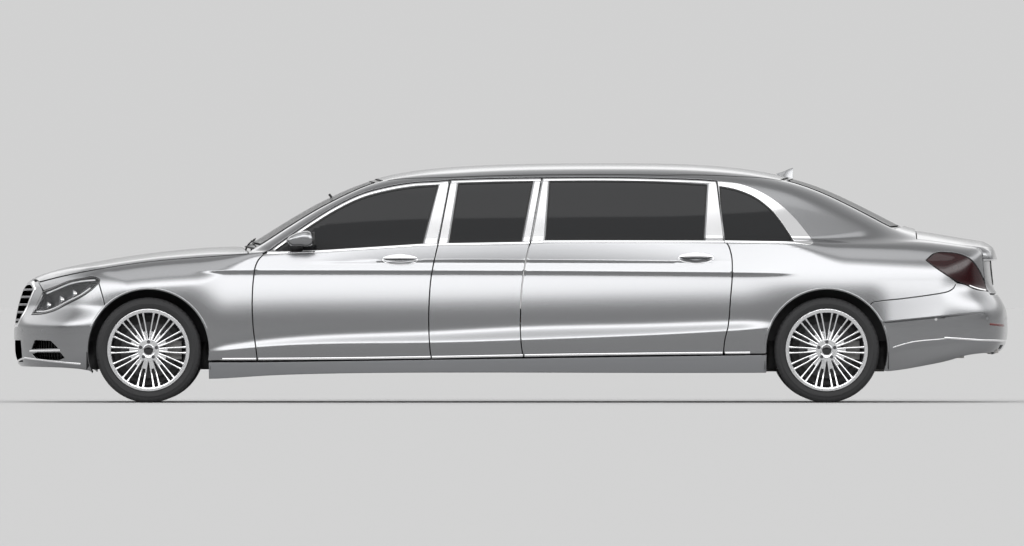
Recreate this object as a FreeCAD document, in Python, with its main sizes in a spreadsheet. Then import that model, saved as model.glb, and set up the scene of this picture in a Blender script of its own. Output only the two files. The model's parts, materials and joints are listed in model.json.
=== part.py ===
# Stretch limousine: long four-door saloon with a fixed middle section.
# Frame: origin on the ground under the centre of the bounding box, +X towards the tail,
# +Y towards the right-hand side, +Z up. Millimetres.
import FreeCAD, Part
import Sketcher, PartDesign
import math, os
from FreeCAD import Vector as V

os.makedirs("parts", exist_ok=True)
doc = FreeCAD.newDocument("limousine")

# ---------------------------------------------------------------- driving dimensions
sheet = doc.addObject("Spreadsheet::Sheet", "dims")
DIMS = [
    ("axle_front_x", -2359.0), ("axle_rear_x", 2059.0), ("hub_z", 343.0),
    ("track_half_front", 812.0), ("track_half_rear", 815.0),
    ("spindle_radius", 30.0), ("kingpin_y", 762.0),
    ("arch_radius", 394.0), ("shut_gap", 6.0), ("door_wall", 105.0), ("canopy_wall", 28.0), ("glass", 6.0),
    ("plate_hole_y", 178.0), ("plate_hole_z", 120.0), ("plate_hole_r", 3.3),
    ("engine_len", 880.0), ("engine_wid", 620.0), ("engine_hgt", 470.0),
    ("floor_z", 205.0), ("floor_thk", 35.0), ("spoke_count", 14.0),
]
D = {}
for i, (name, val) in enumerate(DIMS):
    sheet.set("A%d" % (i + 1), name)
    sheet.set("B%d" % (i + 1), "%g" % val)
    sheet.setAlias("B%d" % (i + 1), name)
doc.recompute()
for name, val in DIMS:
    D[name] = float(getattr(sheet, name))

AXF, AXR, HZ = D["axle_front_x"], D["axle_rear_x"], D["hub_z"]


# ---------------------------------------------------------------- curves of the body
class Spline:
    """Natural cubic through points, straight beyond its ends."""

    def __init__(self, pts):
        self.x = [p[0] for p in pts]
        self.y = [p[1] for p in pts]
        n = len(pts)
        a = [0.0] * n
        c = [0.0] * n
        d = [0.0] * n
        for i in range(1, n - 1):
            h0 = self.x[i] - self.x[i - 1]
            h1 = self.x[i + 1] - self.x[i]
            w = 2 * (h0 + h1) - h0 * c[i - 1]
            c[i] = h1 / w
            r = 6 * ((self.y[i + 1] - self.y[i]) / h1 - (self.y[i] - self.y[i - 1]) / h0)
            d[i] = (r - h0 * d[i - 1]) / w
        for i in range(n - 2, 0, -1):
            a[i] = d[i] - c[i] * a[i + 1]
        self.m = a

    def __call__(self, t):
        x, y, m = self.x, self.y, self.m
        n = len(x)
        if t <= x[0]:
            h = x[1] - x[0]
            s = (y[1] - y[0]) / h - h * m[1] / 6
            return y[0] + s * (t - x[0])
        if t >= x[-1]:
            h = x[-1] - x[-2]
            s = (y[-1] - y[-2]) / h + h * m[-2] / 6
            return y[-1] + s * (t - x[-1])
        lo, hi = 0, n - 1
        while hi - lo > 1:
            mid = (lo + hi) // 2
            if x[mid] <= t:
                lo = mid
            else:
                hi = mid
        h = x[hi] - x[lo]
        A = (x[hi] - t) / h
        B = (t - x[lo]) / h
        return A * y[lo] + B * y[hi] + ((A ** 3 - A) * m[lo] + (B ** 3 - B) * m[hi]) * h * h / 6


def lerp(pts):
    def f(t):
        if t <= pts[0][0]:
            return pts[0][1]
        for (x0, y0), (x1, y1) in zip(pts, pts[1:]):
            if t <= x1:
                return y0 + (y1 - y0) * (t - x0) / (x1 - x0)
        return pts[-1][1]
    return f


def sstep(t, a, b):
    u = max(0.0, min(1.0, (t - a) / (b - a)))
    return u * u * (3 - 2 * u)


def ramp(t, w):
    return 0.5 * (t + math.sqrt(t * t + w * w))


# plan half-width of the lower body, the level of each crease, and the height profiles
PLAN = Spline([(-3255, 884), (-2950, 908), (-2745, 922), (-2359, 936), (-1900, 944),
               (-1400, 948), (0, 950), (1300, 950), (1700, 948), (2059, 944), (2450, 930),
               (2700, 908), (2950, 868), (3100, 830), (3255, 780)])
Z_STRIP = Spline([(-1950, 284), (-1651, 285), (-525, 297), (322, 312), (1559, 326), (2100, 332)])
Z_RIDGE_LO = Spline([(-1950, 330), (-1650, 361), (-525, 392), (72, 409), (840, 438), (1461, 471), (1700, 486), (2100, 500)])
Z_RIDGE_HI = Spline([(-1950, 352), (-1650, 395), (-525, 455), (72, 484), (840, 503), (1461, 522), (1700, 528), (2100, 540)])
Z_LIGHT = Spline([(-1950, 665), (-1650, 676), (-525, 692), (322, 709), (1461, 730), (2100, 745)])
Z_CREASE = Spline([(-2100, 860), (-1650, 860), (0, 857), (800, 852), (1461, 846), (1900, 840)])
SHOULDER = Spline([(-3143, 772), (-2934, 838), (-2674, 888), (-2348, 934), (-2023, 960), (-1730, 980),
                   (-1576, 990), (-1257, 1005), (-900, 1027), (-564, 1048), (-404, 1052), (72, 1058),
                   (224, 1066), (1261, 1068), (1856, 1062), (1980, 1058), (2300, 1046), (2640, 1028),
                   (2900, 998), (3100, 962), (3200, 940)])
DECK = Spline([(-3143, 812), (-3091, 829), (-3038, 846), (-2934, 877), (-2778, 909), (-2674, 928),
               (-2517, 954), (-2361, 976), (-2205, 994), (-2049, 1008), (-1892, 1017), (-1788, 1018),
               (-1500, 1020), (-1000, 1040), (-400, 1072), (400, 1090), (1200, 1092), (1900, 1096),
               (2300, 1110), (2500, 1123), (2640, 1122), (2731, 1111), (2848, 1092), (3057, 1058),
               (3109, 1050), (3200, 1037)])
NOSE = Spline([(120, -2900), (171, -3045), (202, -3140), (219, -3185), (254, -3228), (295, -3246), (380, -3254),
               (460, -3254.5), (530, -3250), (585, -3241), (668, -3221), (750, -3194), (800, -3176),
               (860, -3150), (950, -3105)])
TAIL = Spline([(200, 2900), (290, 3120), (315, 3180), (350, 3222), (400, 3246), (467, 3255), (530, 3254), (585, 3248),
               (647, 3226), (695, 3196), (736, 3170), (812, 3151), (900, 3142), (1000, 3136), (1100, 3130)])
NOSE_PLAN = Spline([(0, 0), (150, 9), (300, 37), (400, 70), (500, 116), (600, 172), (700, 240), (780, 308), (850, 395), (900, 490), (960, 660)])
NOSE_PLAN_HIGH = Spline([(0, 0), (200, 28), (340, 84), (400, 118), (500, 172), (600, 232), (700, 302), (800, 395), (860, 478), (900, 560), (960, 730)])
TAIL_PLAN = Spline([(0, 0), (150, 2), (300, 9), (500, 27), (620, 51), (700, 86), (780, 150), (840, 228), (890, 330), (920, 420), (960, 560)])
BOTTOM = Spline([(-3255, 228), (-3180, 212), (-3100, 197), (-3000, 182), (-2850, 173), (-2700, 170), (-2300, 155), (-1932, 150),
                 (-1632, 168), (-1371, 179), (-720, 189), (1657, 189), (2100, 190), (2490, 200), (2800, 252), (3100, 303), (3255, 330)])
# greenhouse: silhouette of windscreen, roof and rear window on the centreline
ROOF = Spline([(-1900, 924), (-1742, 1020), (-1632, 1086.5), (-1528, 1152), (-1424, 1215.5), (-1319, 1276), (-1215, 1330),
               (-1111, 1379), (-1007, 1422), (-903, 1457), (-798, 1484.5), (-694, 1504.5), (-538, 1525.5),
               (-382, 1539), (-225, 1548.5), (-69, 1555), (192, 1561.5), (452, 1564), (700, 1564.5), (908, 1563),
               (1168, 1556.5), (1338, 1546.5), (1494, 1531), (1650, 1508), (1754, 1487), (1911, 1447),
               (2067, 1392), (2223, 1322), (2380, 1244), (2536, 1163), (2601, 1129), (2750, 1052)])
GLASS_PLAN = Spline([(-1900, -95), (-1650, -52), (-1300, -22), (-900, -6), (-400, 0), (900, 0), (1300, -8), (1600, -24),
                     (1900, -52), (2200, -100), (2500, -165), (2700, -215)])


def belt(x):
    return SHOULDER(x) - 12.0


def side_depth(x, z):
    """How far the lower body's side lies inside the widest plan line, at this height."""
    zs, z1, z2, z3, z4 = Z_STRIP(x), Z_RIDGE_LO(x), Z_RIDGE_HI(x), Z_LIGHT(x), Z_CREASE(x)

    def door(t):
        return (-0.22 * t + 0.12 * ramp(t - zs + 40, 30) + 0.44 * ramp(t - z1, 12) - 0.35 * ramp(t - z2, 24)
                + 0.215 * ramp(t - (z3 - 60), 150) - 0.70 * ramp(t - (z4 - 16), 8) + 0.74 * ramp(t - z4, 3))
    def plain(t):
        return -0.22 * t + 0.15 * ramp(t - 290, 60) + 0.09 * ramp(t - 450, 120) + 0.22 * ramp(t - 770, 130)
    s = sstep(x, -2120, -1830) * (1 - sstep(x, 1480, 1900))
    d = 0.0
    if s > 0:
        d += s * (door(z) - door(z1))
    if s < 1:
        d += (1 - s) * (plain(z) - plain(400) + 2)
    return d


def F_side(x, z):
    return PLAN(x) - side_depth(x, z)


def H_deck(x, y):
    a = abs(y) / 800.0
    zc, zs = DECK(x), SHOULDER(x)
    return zc - (zc - zs) * a ** 2.3


def G_side(x, z):
    t = z - 1045.0
    return 838.0 - 0.36 * t - 0.00022 * t * abs(t) + GLASS_PLAN(x) * (1 + 0.0006 * t)


def R_roof(x, y):
    a = abs(y) / 650.0
    wf = 1 - sstep(x, -1100, -300)
    wr = sstep(x, 1300, 2000)
    xs = x - 52.0 * a * a * wf + 66.0 * a * a * wr
    return ROOF(xs) - (68.0 - 46.0 * (1 - sstep(x, -1000, -300)) - 26.0 * wr) * a ** 2.3


def smax(a, b, k):
    h = max(k - abs(a - b), 0.0)
    return max(a, b) + h * h / (4 * k)


def smin(a, b, k):
    return -smax(-a, -b, k)


def k_shoulder(x):
    return 26.0 + 150.0 * (1 - sstep(x, -2050, -1620)) + 120.0 * sstep(x, 1750, 2200)


def f_lower(x, y, z):
    y = abs(y)
    a = y - F_side(x, z)
    b = z - H_deck(x, y)
    f = smax(a, b, k_shoulder(x))
    if x < -2500:
        yy = min(y, 960)
        w = sstep(z, 490, 640)
        n = (NOSE(z) + (1 - w) * NOSE_PLAN(yy) + w * NOSE_PLAN_HIGH(yy) - x) * 0.75
        f = smax(f, n, 70.0)
    if x > 2500:
        t = (x - TAIL(z) + TAIL_PLAN(min(y, 960))) * 0.8
        f = smax(f, t, 46.0)
    return smax(f, BOTTOM(x) - z, 14.0)


def f_upper(x, y, z):
    y = abs(y)
    a = y - G_side(x, z)
    b = z - R_roof(x, y)
    return smax(a, b, 84.0 + 40 * sstep(x, -1000, -500))


def solve(fun, hi, lo, n=34):
    """Root of fun between hi (outside, positive) and lo (inside, negative)."""
    for _ in range(n):
        m = 0.5 * (hi + lo)
        if fun(m) > 0:
            hi = m
        else:
            lo = m
    return 0.5 * (hi + lo)


def side_y(x, z):
    return solve(lambda y: f_lower(x, y, z), 1100.0, 300.0, 26)


def glass_y(x, z):
    return solve(lambda y: f_upper(x, y, z), 1000.0, 50.0, 26)


def deck_z(x, y):
    return solve(lambda z: f_lower(x, y, z), 1300.0, 450.0, 26)


def roof_z(x, y):
    return solve(lambda z: f_upper(x, y, z), 1700.0, 800.0, 26)


# ---------------------------------------------------------------- shapes from the surfaces
def mirror(shape):
    return shape.mirror(V(0, 0, 0), V(0, 1, 0))


def one(shape):
    """The solids of a boolean result without slivers, as one shape."""
    sol = [s for s in shape.Solids if s.Volume > 400.0]
    return sol[0] if len(sol) == 1 else Part.makeCompound(sol)


def bessel(t, P):
    """Tangents at each point of a run, from the parabola through it and its neighbours."""
    n = len(P)
    d = [(P[i + 1] - P[i]) * (1.0 / (t[i + 1] - t[i])) for i in range(n - 1)]
    m = []
    for i in range(1, n - 1):
        a, b = t[i] - t[i - 1], t[i + 1] - t[i]
        m.append((d[i - 1] * b + d[i] * a) * (1.0 / (a + b)))
    return [d[0] * 1.5 - m[0] * 0.5] + m + [d[-1] * 1.5 - m[-1] * 0.5]


def poles_c1(t, P):
    m = bessel(t, P)
    out = [P[0]]
    for i in range(len(P) - 1):
        h = (t[i + 1] - t[i]) / 3.0
        out += [P[i] + m[i] * h, P[i + 1] - m[i + 1] * h]
    return out + [P[-1]]


def surface(grid):
    """Smooth face through a grid of points: piecewise cubic, without overshoot."""
    nu, nv = len(grid), len(grid[0])
    tu, tv = [0.0], [0.0]
    for i in range(1, nu):
        tu.append(tu[-1] + sum((grid[i][j] - grid[i - 1][j]).Length for j in range(nv)) / nv)
    for j in range(1, nv):
        tv.append(tv[-1] + sum((grid[i][j] - grid[i][j - 1]).Length for i in range(nu)) / nu)
    rows = [poles_c1(tv, r) for r in grid]
    cols = [poles_c1(tu, [rows[i][j] for i in range(nu)]) for j in range(len(rows[0]))]
    poles = [[cols[j][i] for j in range(len(cols))] for i in range(len(cols[0]))]
    s = Part.BSplineSurface()
    s.buildFromPolesMultsKnots(poles, [4] + [2] * (nu - 2) + [4], [4] + [2] * (nv - 2) + [4], tu, tv, False, False, 3, 3)
    return s.toShape()


def shell6(outer, inner):
    fo, fi = surface(outer), surface(inner)
    faces = [fo, fi] + [Part.makeRuledSurface(fo.Edges[k], fi.Edges[k]) for k in range(4)]
    sh = Part.makeShell(faces)
    sh.sewShape()
    s = Part.Solid(sh)
    if s.Volume < 0:
        s.reverse()
    return s


def normal(f, p):
    e = 0.8
    g = V(f(p.x + e, p.y, p.z) - f(p.x - e, p.y, p.z), f(p.x, p.y + e, p.z) - f(p.x, p.y - e, p.z),
          f(p.x, p.y, p.z + e) - f(p.x, p.y, p.z - e))
    return g.normalize()


def spread(a, b, n):
    return [a + (b - a) * i / (n - 1) for i in range(n)]


def offset_segs(segs, d):
    """Shift a closed outline outwards by d; it is a list of point runs that share their ends."""
    pts = []
    for s in segs:
        pts += s[:-1]
    area = sum(pts[i][0] * pts[(i + 1) % len(pts)][1] - pts[(i + 1) % len(pts)][0] * pts[i][1] for i in range(len(pts)))
    sg = 1.0 if area > 0 else -1.0
    n = len(pts)
    new = []
    for i in range(n):
        p, a, b = pts[i], pts[i - 1], pts[(i + 1) % n]
        d1 = (p[0] - a[0], p[1] - a[1])
        d2 = (b[0] - p[0], b[1] - p[1])
        l1, l2 = math.hypot(*d1), math.hypot(*d2)
        n1 = (d1[1] / l1 * sg, -d1[0] / l1 * sg)
        n2 = (d2[1] / l2 * sg, -d2[0] / l2 * sg)
        c = 1 + n1[0] * n2[0] + n1[1] * n2[1]
        c = max(c, 0.35)
        new.append((p[0] + d * (n1[0] + n2[0]) / c, p[1] + d * (n1[1] + n2[1]) / c))
    out, k = [], 0
    for s in segs:
        m = len(s) - 1
        out.append([new[(k + j) % n] for j in range(m + 1)])
        k += m
    return out


def wire(segs, to3):
    edges = []
    for s in segs:
        p = [to3(*q) for q in s]
        if len(p) == 2:
            edges.append(Part.makeLine(p[0], p[1]))
        else:
            b = Part.BSplineCurve()
            b.interpolate(p)
            edges.append(b.toShape())
    return Part.Wire(edges)


def prism_xz(segs, y0, y1):
    return Part.Face(wire(segs, lambda x, z: V(x, y0, z))).extrude(V(0, y1 - y0, 0))


def prism_xy(segs, z0, z1):
    return Part.Face(wire(segs, lambda x, y: V(x, y, z0))).extrude(V(0, 0, z1 - z0))


def prism_yz(segs, x0, x1):
    return Part.Face(wire(segs, lambda y, z: V(x0, y, z))).extrude(V(x1 - x0, 0, 0))


def poly(pts):
    p = list(pts) + [pts[0]]
    return [[p[i], p[i + 1]] for i in range(len(pts))]


def bx(x0, x1, y0, y1, z0, z1):
    return Part.makeBox(x1 - x0, y1 - y0, z1 - z0, V(x0, y0, z0))


def side_slab(xs, zs, thick, shift=0.0):
    """Left-hand side surface between stations, thickened inwards."""
    g = [[V(x, -(side_y(x, z) - shift), z) for z in zs] for x in xs]
    return surface(g).extrude(V(0, thick, 0))


def deck_slab(xs, ys, thick):
    g = [[V(x, y, deck_z(x, y)) for y in ys] for x in xs]
    return surface(g).extrude(V(0, 0, -thick))


def canopy_grid(xs, depth=0.0):
    rows = []
    for x in xs:
        zt, zb = ROOF(x), 955.0
        w = max(G_side(x, min(zt, 1300.0)), 300.0)
        guide = [(w * t, zt) for t in (0.0, 0.22, 0.42, 0.6, 0.74, 0.86, 0.95)]
        guide += [(w, zt - (zt - zb) * t) for t in (0.03, 0.1, 0.2, 0.34, 0.5, 0.7, 1.0)]
        half = []
        for (gy, gz) in guide:
            o = V(0, 0, 905.0)
            d = V(0, gy, gz) - o
            L = d.Length
            d = d * (1 / L)
            r = solve(lambda q: f_upper(x, d.y * q, 905.0 + d.z * q), L * 1.6, 1.0, 30)
            p = V(x, d.y * r, 905.0 + d.z * r)
            if depth:
                p = p - normal(f_upper, p) * depth
            half.append(p)
        rows.append([V(p.x, -p.y, p.z) for p in reversed(half[1:])] + half)
    return rows


def nose_grid(phis, zs, depth, cx, sgn):
    rows = []
    for z in zs:
        row = []
        for ph in phis:
            c, s = math.cos(math.radians(ph)), math.sin(math.radians(ph))
            r = solve(lambda q: f_lower(cx + sgn * c * q, s * q, z), 1400.0, 50.0, 32)
            p = V(cx + sgn * c * r, s * r, z)
            if depth:
                n = normal(f_lower, p)
                n = V(n.x, n.y, 0).normalize()
                p = p - n * depth
            row.append(p)
        rows.append(row)
    return rows


# ---------------------------------------------------------------- outlines seen from the side (x, z)
FD_REAR = [(-517, 288.3), (-523.6, 337), (-532.7, 478), (-528.8, 689), (-519.7, 802), (-506, 886), (-472.8, 1033)]
FD_FRONT = [(-1596, 975), (-1640, 935), (-1662, 890), (-1672, 830), (-1682.7, 689), (-1675.5, 478), (-1658.6, 352), (-1649.5, 274.5)]
FD_TOP = [(-393.3, 1454), (-457, 1447), (-646, 1435), (-805, 1408), (-965, 1365), (-1164, 1269), (-1324, 1167), (-1470, 1066), (-1596, 975)]
FRONT_DOOR = [[(-1649.5, 274.5), (-517, 288.3)], FD_REAR, [(-472.8, 1033), (-393.3, 1454)], FD_TOP, FD_FRONT]
RD_FRONT = [(131.5, 1054), (118.5, 1013), (91.8, 886), (75.5, 774), (65.1, 605), (65.1, 436), (75.5, 337), (85.3, 295)]
RD_REAR = [(1386.4, 316), (1395, 408), (1414, 487), (1432, 672), (1444, 856), (1438, 962), (1412, 1036), (1392, 1060)]
RD_TOP = [(1344, 1447), (1283, 1452), (973, 1464), (712, 1469), (204.5, 1467.5)]
REAR_DOOR = [[(85.3, 295), (1386.4, 316)], RD_REAR, [(1392, 1060), (1344, 1447)], RD_TOP, [(204.5, 1467.5), (131.5, 1054)], RD_FRONT]
WIN_FRONT = [[(-1560, 984), (-1257, 993), (-916, 1014), (-572, 1036)], [(-572, 1036), (-470, 1421)],
             [(-470, 1421), (-646, 1408), (-805, 1381), (-965, 1338), (-1164, 1242), (-1313, 1148), (-1437, 1066), (-1560, 984)]]
WIN_MID = poly([(-341, 1433), (-403.7, 1040), (72, 1048), (148, 1449)])
WIN_REAR = [[(224, 1058), (1261, 1058)], [(1261, 1058), (1283, 1424)], [(1283, 1424), (973, 1442), (712, 1448), (253, 1449)], [(253, 1449), (224, 1058)]]
WIN_QUARTER = [[(1382.5, 1058), (1846, 1051)], [(1846, 1051), (1800, 1125), (1700, 1256), (1588, 1342), (1476, 1388), (1361, 1412)], [(1361, 1412), (1382.5, 1058)]]
HEADLIGHT = [[(-2682, 778), (-2674, 799), (-2708, 818), (-2796, 809), (-2889, 789), (-2976, 754), (-3057, 724)],
             [(-3057, 724), (-3131.6, 575)],
             [(-3131.6, 575), (-3060, 579), (-2982, 599), (-2889, 645), (-2796, 691), (-2727, 736), (-2682, 778)]]
TAILLIGHT = [[(2707, 929), (2764, 974), (2861, 979), (2943, 964), (3000, 933), (3049, 874), (3081.5, 812), (3112, 727)],
             [(3112, 727), (3024, 743), (2967.5, 769), (2902, 795), (2829, 840), (2764, 885), (2707, 929)]]
BONNET_SIDE = Spline([(-3085, 785), (-2934, 822.7), (-2674, 874.4), (-2348, 922.7), (-2023, 950.3), (-1730, 971), (-1600, 980)])
FBUMP_LINE = [(-2640, 600), (-2645, 640), (-2660, 700), (-2682, 778)]
RBUMP_LINE = [(2360, 655), (2392.5, 660.6), (2560, 679), (2731, 702), (2800, 713), (2861, 729.6), (2890, 752), (2904, 782)]
GAP = D["shut_gap"] / 2.0
AR = D["arch_radius"]


def arch(x0, r, y0=-1000.0, y1=-600.0):
    return Part.makeCylinder(r, y1 - y0, V(x0, y0, HZ), V(0, 1, 0))


NODES = {}


def put(name, shape, base=None):
    """A sub-part whose shape comes straight from the body's surfaces."""
    o = doc.addObject("Part::Feature", name)
    o.Shape = shape
    o.Label = name
    NODES[name] = o
    return o


import time
T0 = time.time()


def log(msg):
    print("%6.1f  %s" % (time.time() - T0, msg))


# ---------------------------------------------------------------- canopy shell
CX = [-1735, -1700, -1650, -1580, -1500, -1400, -1300, -1200, -1100, -1000, -900, -800, -700, -580, -420, -200, 50, 350, 650, 950,
      1200, 1380, 1520, 1640, 1740, 1840, 1950, 2060, 2180, 2300, 2420, 2520, 2600, 2650]
WALL = D["canopy_wall"]
canopy = shell6(canopy_grid(CX), canopy_grid(CX, WALL))
glass_shell = shell6(canopy_grid(CX, 9.0), canopy_grid(CX, 9.0 + D["glass"]))
log("canopy %s %s" % (canopy.isValid(), glass_shell.isValid()))

WS = [[(-1744, 0), (-1736, 230), (-1714, 450), (-1672, 690)], [(-1672, 690), (-1400, 664), (-1164, 634), (-1000, 606), (-832, 568)],
      [(-832, 568), (-866, 320), (-880, 0)]]
RW = [[(1812, 0), (1800, 250), (1762, 478)], [(1762, 478), (2067, 505), (2300, 522), (2508, 535)], [(2508, 535), (2562, 300), (2578, 0)]]


def both(segs):
    """Close an outline given for +Y by its mirror image."""
    m = [[(a, -b) for (a, b) in reversed(s)] for s in reversed(segs)]
    first = m[-1][:-1] + segs[0]
    last = segs[-1][:-1] + m[0]
    return [first] + segs[1:-1] + [last] + m[1:-1]


ws_prism = prism_xy(both(WS), 950, 1700)
rw_prism = prism_xy(both(RW), 950, 1700)
fd_cut = prism_xz(offset_segs(FRONT_DOOR, GAP), -1000, -500)
rd_cut = prism_xz(offset_segs(REAR_DOOR, GAP), -1000, -500)
log("prisms")

# roof: everything of the canopy above the doors, with the screen pillars
ROOF_LINE = [(-393.3, 1454), (-300, 1458), (-90, 1464), (204.5, 1467.5)]
side_window_zone = prism_xz([[(-1740, 940), (2700, 940)], [(2700, 940), (2700, 1100), (1800, 1400), (1344, 1447)][0:2],
                             [(2700, 1100), (1900, 1392)], [(1900, 1392), (1600, 1440), (1344, 1451)], [(1344, 1451)] + [(x, z + GAP) for x, z in RD_TOP[1:]],
                             [(204.5, 1467.5 + GAP)] + [(x, z + GAP) for x, z in reversed(ROOF_LINE[1:-1])] + [(-393.3, 1454 + GAP)],
                             [(-393.3, 1454 + GAP)] + [(x - 3, z + GAP) for x, z in FD_TOP[1:-1]] + [(-1602, 979)], [(-1602, 979), (-1740, 940)]], -1000, -400)
roof_shell = canopy.cut(bx(1900, 2800, -1100, 1100, 900, 1700))
roof_shell = roof_shell.cut(ws_prism).cut(rw_prism)
roof_shell = roof_shell.cut(side_window_zone).cut(mirror(side_window_zone))
roof_shell = roof_shell.cut(bx(-1800, -1560, -640, 640, 900, 1300)).cut(bx(-1800, 2000, -1000, 1000, 900, 980))
roof_shell = roof_shell.cut(fd_cut).cut(mirror(fd_cut))
put("roof", one(roof_shell))
log("roof %d solids" % len(NODES["roof"].Shape.Solids))
put("windshield", one(glass_shell.common(prism_xy(offset_segs(both(WS), -1.0), 950, 1700))))
put("rear_window", one(glass_shell.common(prism_xy(offset_segs(both(RW), -1.0), 950, 1700))))
log("screens")


def side_face(xs, zb, zt, n, thick, shift=0.0):
    """Left side between two level lines, thickened inwards."""
    g = []
    for x in xs:
        a, b = zb(x), zt(x)
        g.append([V(x, -(side_y(x, a + (b - a) * t) - shift), a + (b - a) * t) for t in spread(0.0, 1.0, n)])
    return surface(g).extrude(V(0, thick, 0))


# ---------------------------------------------------------------- doors, middle panel, sills
DOOR_WALL = D["door_wall"]
cabin_xs = [-1700, -1660, -1600, -1500, -1350, -1150, -900, -600, -300, 0, 300, 600, 900, 1150, 1350, 1480]
cabin_wall = side_face(cabin_xs, lambda x: 266.0, lambda x: SHOULDER(x) - 10.0, 52, DOOR_WALL)
cabin_skin = side_face(cabin_xs, lambda x: 266.0, lambda x: SHOULDER(x) - 10.0, 52, 14.0)
canopy_skin = shell6(canopy_grid(CX), canopy_grid(CX, 9.0))
log("cabin wall %s" % cabin_wall.isValid())


def door(outline, window):
    """Outer skin up to the shut line; behind it the door is stepped back so that it swings clear."""
    full = prism_xz(offset_segs(outline, -GAP), -1000, -400)
    back = prism_xz(offset_segs(outline, -GAP - 22), -1000, -400)
    rim = prism_xz(offset_segs(outline, -GAP - 7), -1000, -400)
    frame_box = bx(-1750, 1500, -900, -300, 985, 1500)
    lower = cabin_skin.common(full).fuse(cabin_wall.common(back))
    upper = canopy_skin.common(full).common(frame_box).fuse(canopy.common(rim).common(frame_box))
    return one(lower.fuse(upper).cut(prism_xz(window, -1000, -400)))


fd = door(FRONT_DOOR, WIN_FRONT)
rd = door(REAR_DOOR, WIN_REAR)
log("doors %s %s" % (fd.isValid(), rd.isValid()))
put("front_door_left", fd)
put("front_door_right", mirror(fd))
put("rear_door_left", rd)
put("rear_door_right", mirror(rd))


def pane(outline):
    return one(glass_shell.common(prism_xz(offset_segs(outline, -0.8), -1000, -400)))


gf, gr, gm, gq = pane(WIN_FRONT), pane(WIN_REAR), pane(WIN_MID), pane(WIN_QUARTER)
put("front_door_glass_left", gf)
put("front_door_glass_right", mirror(gf))
put("rear_door_glass_left", gr)
put("rear_door_glass_right", mirror(gr))
put("fixed_side_windows", Part.makeCompound([gm, mirror(gm), gq, mirror(gq)]))
log("side glass")

MID = [[(-517, 288.3), (85.3, 295)], list(reversed(RD_FRONT)), [(131.5, 1054), (204.5, 1467.5)],
       [(204.5, 1467.5), (-90, 1464), (-300, 1458), (-393.3, 1454)], [(-393.3, 1454), (-472.8, 1033)], list(reversed(FD_REAR))]
mid_zone = prism_xz(MID, -1000, -400).cut(fd_cut).cut(rd_cut)
mid_low = cabin_wall.common(mid_zone)
mid_up = canopy.common(mid_zone).common(bx(-700, 400, -900, -300, 985, 1500))
mid = one(mid_low.fuse(mid_up).cut(prism_xz(WIN_MID, -1000, -400)).cut(bx(40, 200, -934, -700, 250, 1100)))
put("middle_side_panels", Part.makeCompound([mid, mirror(mid)]))
log("middle %s" % mid.isValid())

sill_xs = [-1975, -1900, -1800, -1700, -1550, -1300, -1000, -600, -200, 200, 600, 1000, 1400, 1680]
sill = side_face(sill_xs, lambda x: BOTTOM(x) + 6, lambda x: 262.0 + 0.0145 * (x + 1649) if x > -1649 else 262.0, 8, DOOR_WALL)
sill = sill.common(bx(-1966, 1666, -1000, -836, 100, 400)).cut(arch(AXF, AR)).cut(arch(AXR, AR))
put("sills", Part.makeCompound([one(sill), mirror(one(sill))]))
log("sills %s" % sill.isValid())

# ---------------------------------------------------------------- front fenders and headlights
fen_xs = [-3125, -3100, -3070, -3040, -3000, -2950, -2890, -2820, -2740, -2650, -2550, -2450, -2350, -2250, -2150, -2050, -1950, -1850, -1750, -1680, -1600, -1540]
fen_wall = side_face(fen_xs, lambda x: 262.0 if x > -2900 else 262.0 + (x + 2900) * -0.9, lambda x: min(BONNET_SIDE(x) + 14, 985.0), 30, 12.0)
hl_wall = side_face(fen_xs[:12], lambda x: 540.0, lambda x: BONNET_SIDE(x) - 2, 16, 55.0)
log("fender surfaces %s %s" % (fen_wall.isValid(), hl_wall.isValid()))
bs = [(x, BONNET_SIDE(x) - GAP) for x in (-3085, -3000, -2934, -2800, -2674, -2500, -2348, -2180, -2023, -1880, -1730, -1640)]
FENDER = [bs, [(-1640, BONNET_SIDE(-1640) - GAP), (-1604, 974)], [(x - GAP, z) for x, z in FD_FRONT[1:]],
          ]
FENDER[1] = [bs[-1], (FD_FRONT[1][0] - GAP, FD_FRONT[1][1])]
FENDER += [[(FD_FRONT[-1][0] - GAP, FD_FRONT[-1][1]), (-1970, 274)], [(-1970, 274), (-2359, HZ + 100)], [(-2359, HZ + 100), (-2640 + 2, 600)],
           [(x + 2, z) for x, z in FBUMP_LINE], [(-2680, 778), (-2676, 802), (-2708, 821), (-2796, 812), (-2889, 792), (-2976, 757), (-3051, 731)],
           [(-3051, 731), (-3085, BONNET_SIDE(-3085) - GAP)]]
fender = fen_wall.common(prism_xz(FENDER, -1000, -250)).cut(arch(AXF, AR))
fender = one(fender)
put("front_fenders", Part.makeCompound([fender, mirror(fender)]))
log("fender %s %d" % (fender.isValid(), len(fender.Solids)))
hl = one(hl_wall.common(prism_xz(offset_segs(HEADLIGHT, -1.5), -1000, -250)))
put("headlights", Part.makeCompound([hl, mirror(hl)]))
log("headlight %s" % hl.isValid())

# ---------------------------------------------------------------- bonnet
bon_xs = [-3150, -3130, -3105, -3075, -3040, -3000, -2940, -2860, -2760, -2640, -2500, -2350, -2200, -2050, -1900, -1800, -1690]


def yb(x):
    """Half-width of the bonnet: where the side reaches the shut line."""
    return side_y(x, BONNET_SIDE(x)) if x > -3085 else side_y(-3085, 785)


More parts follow.
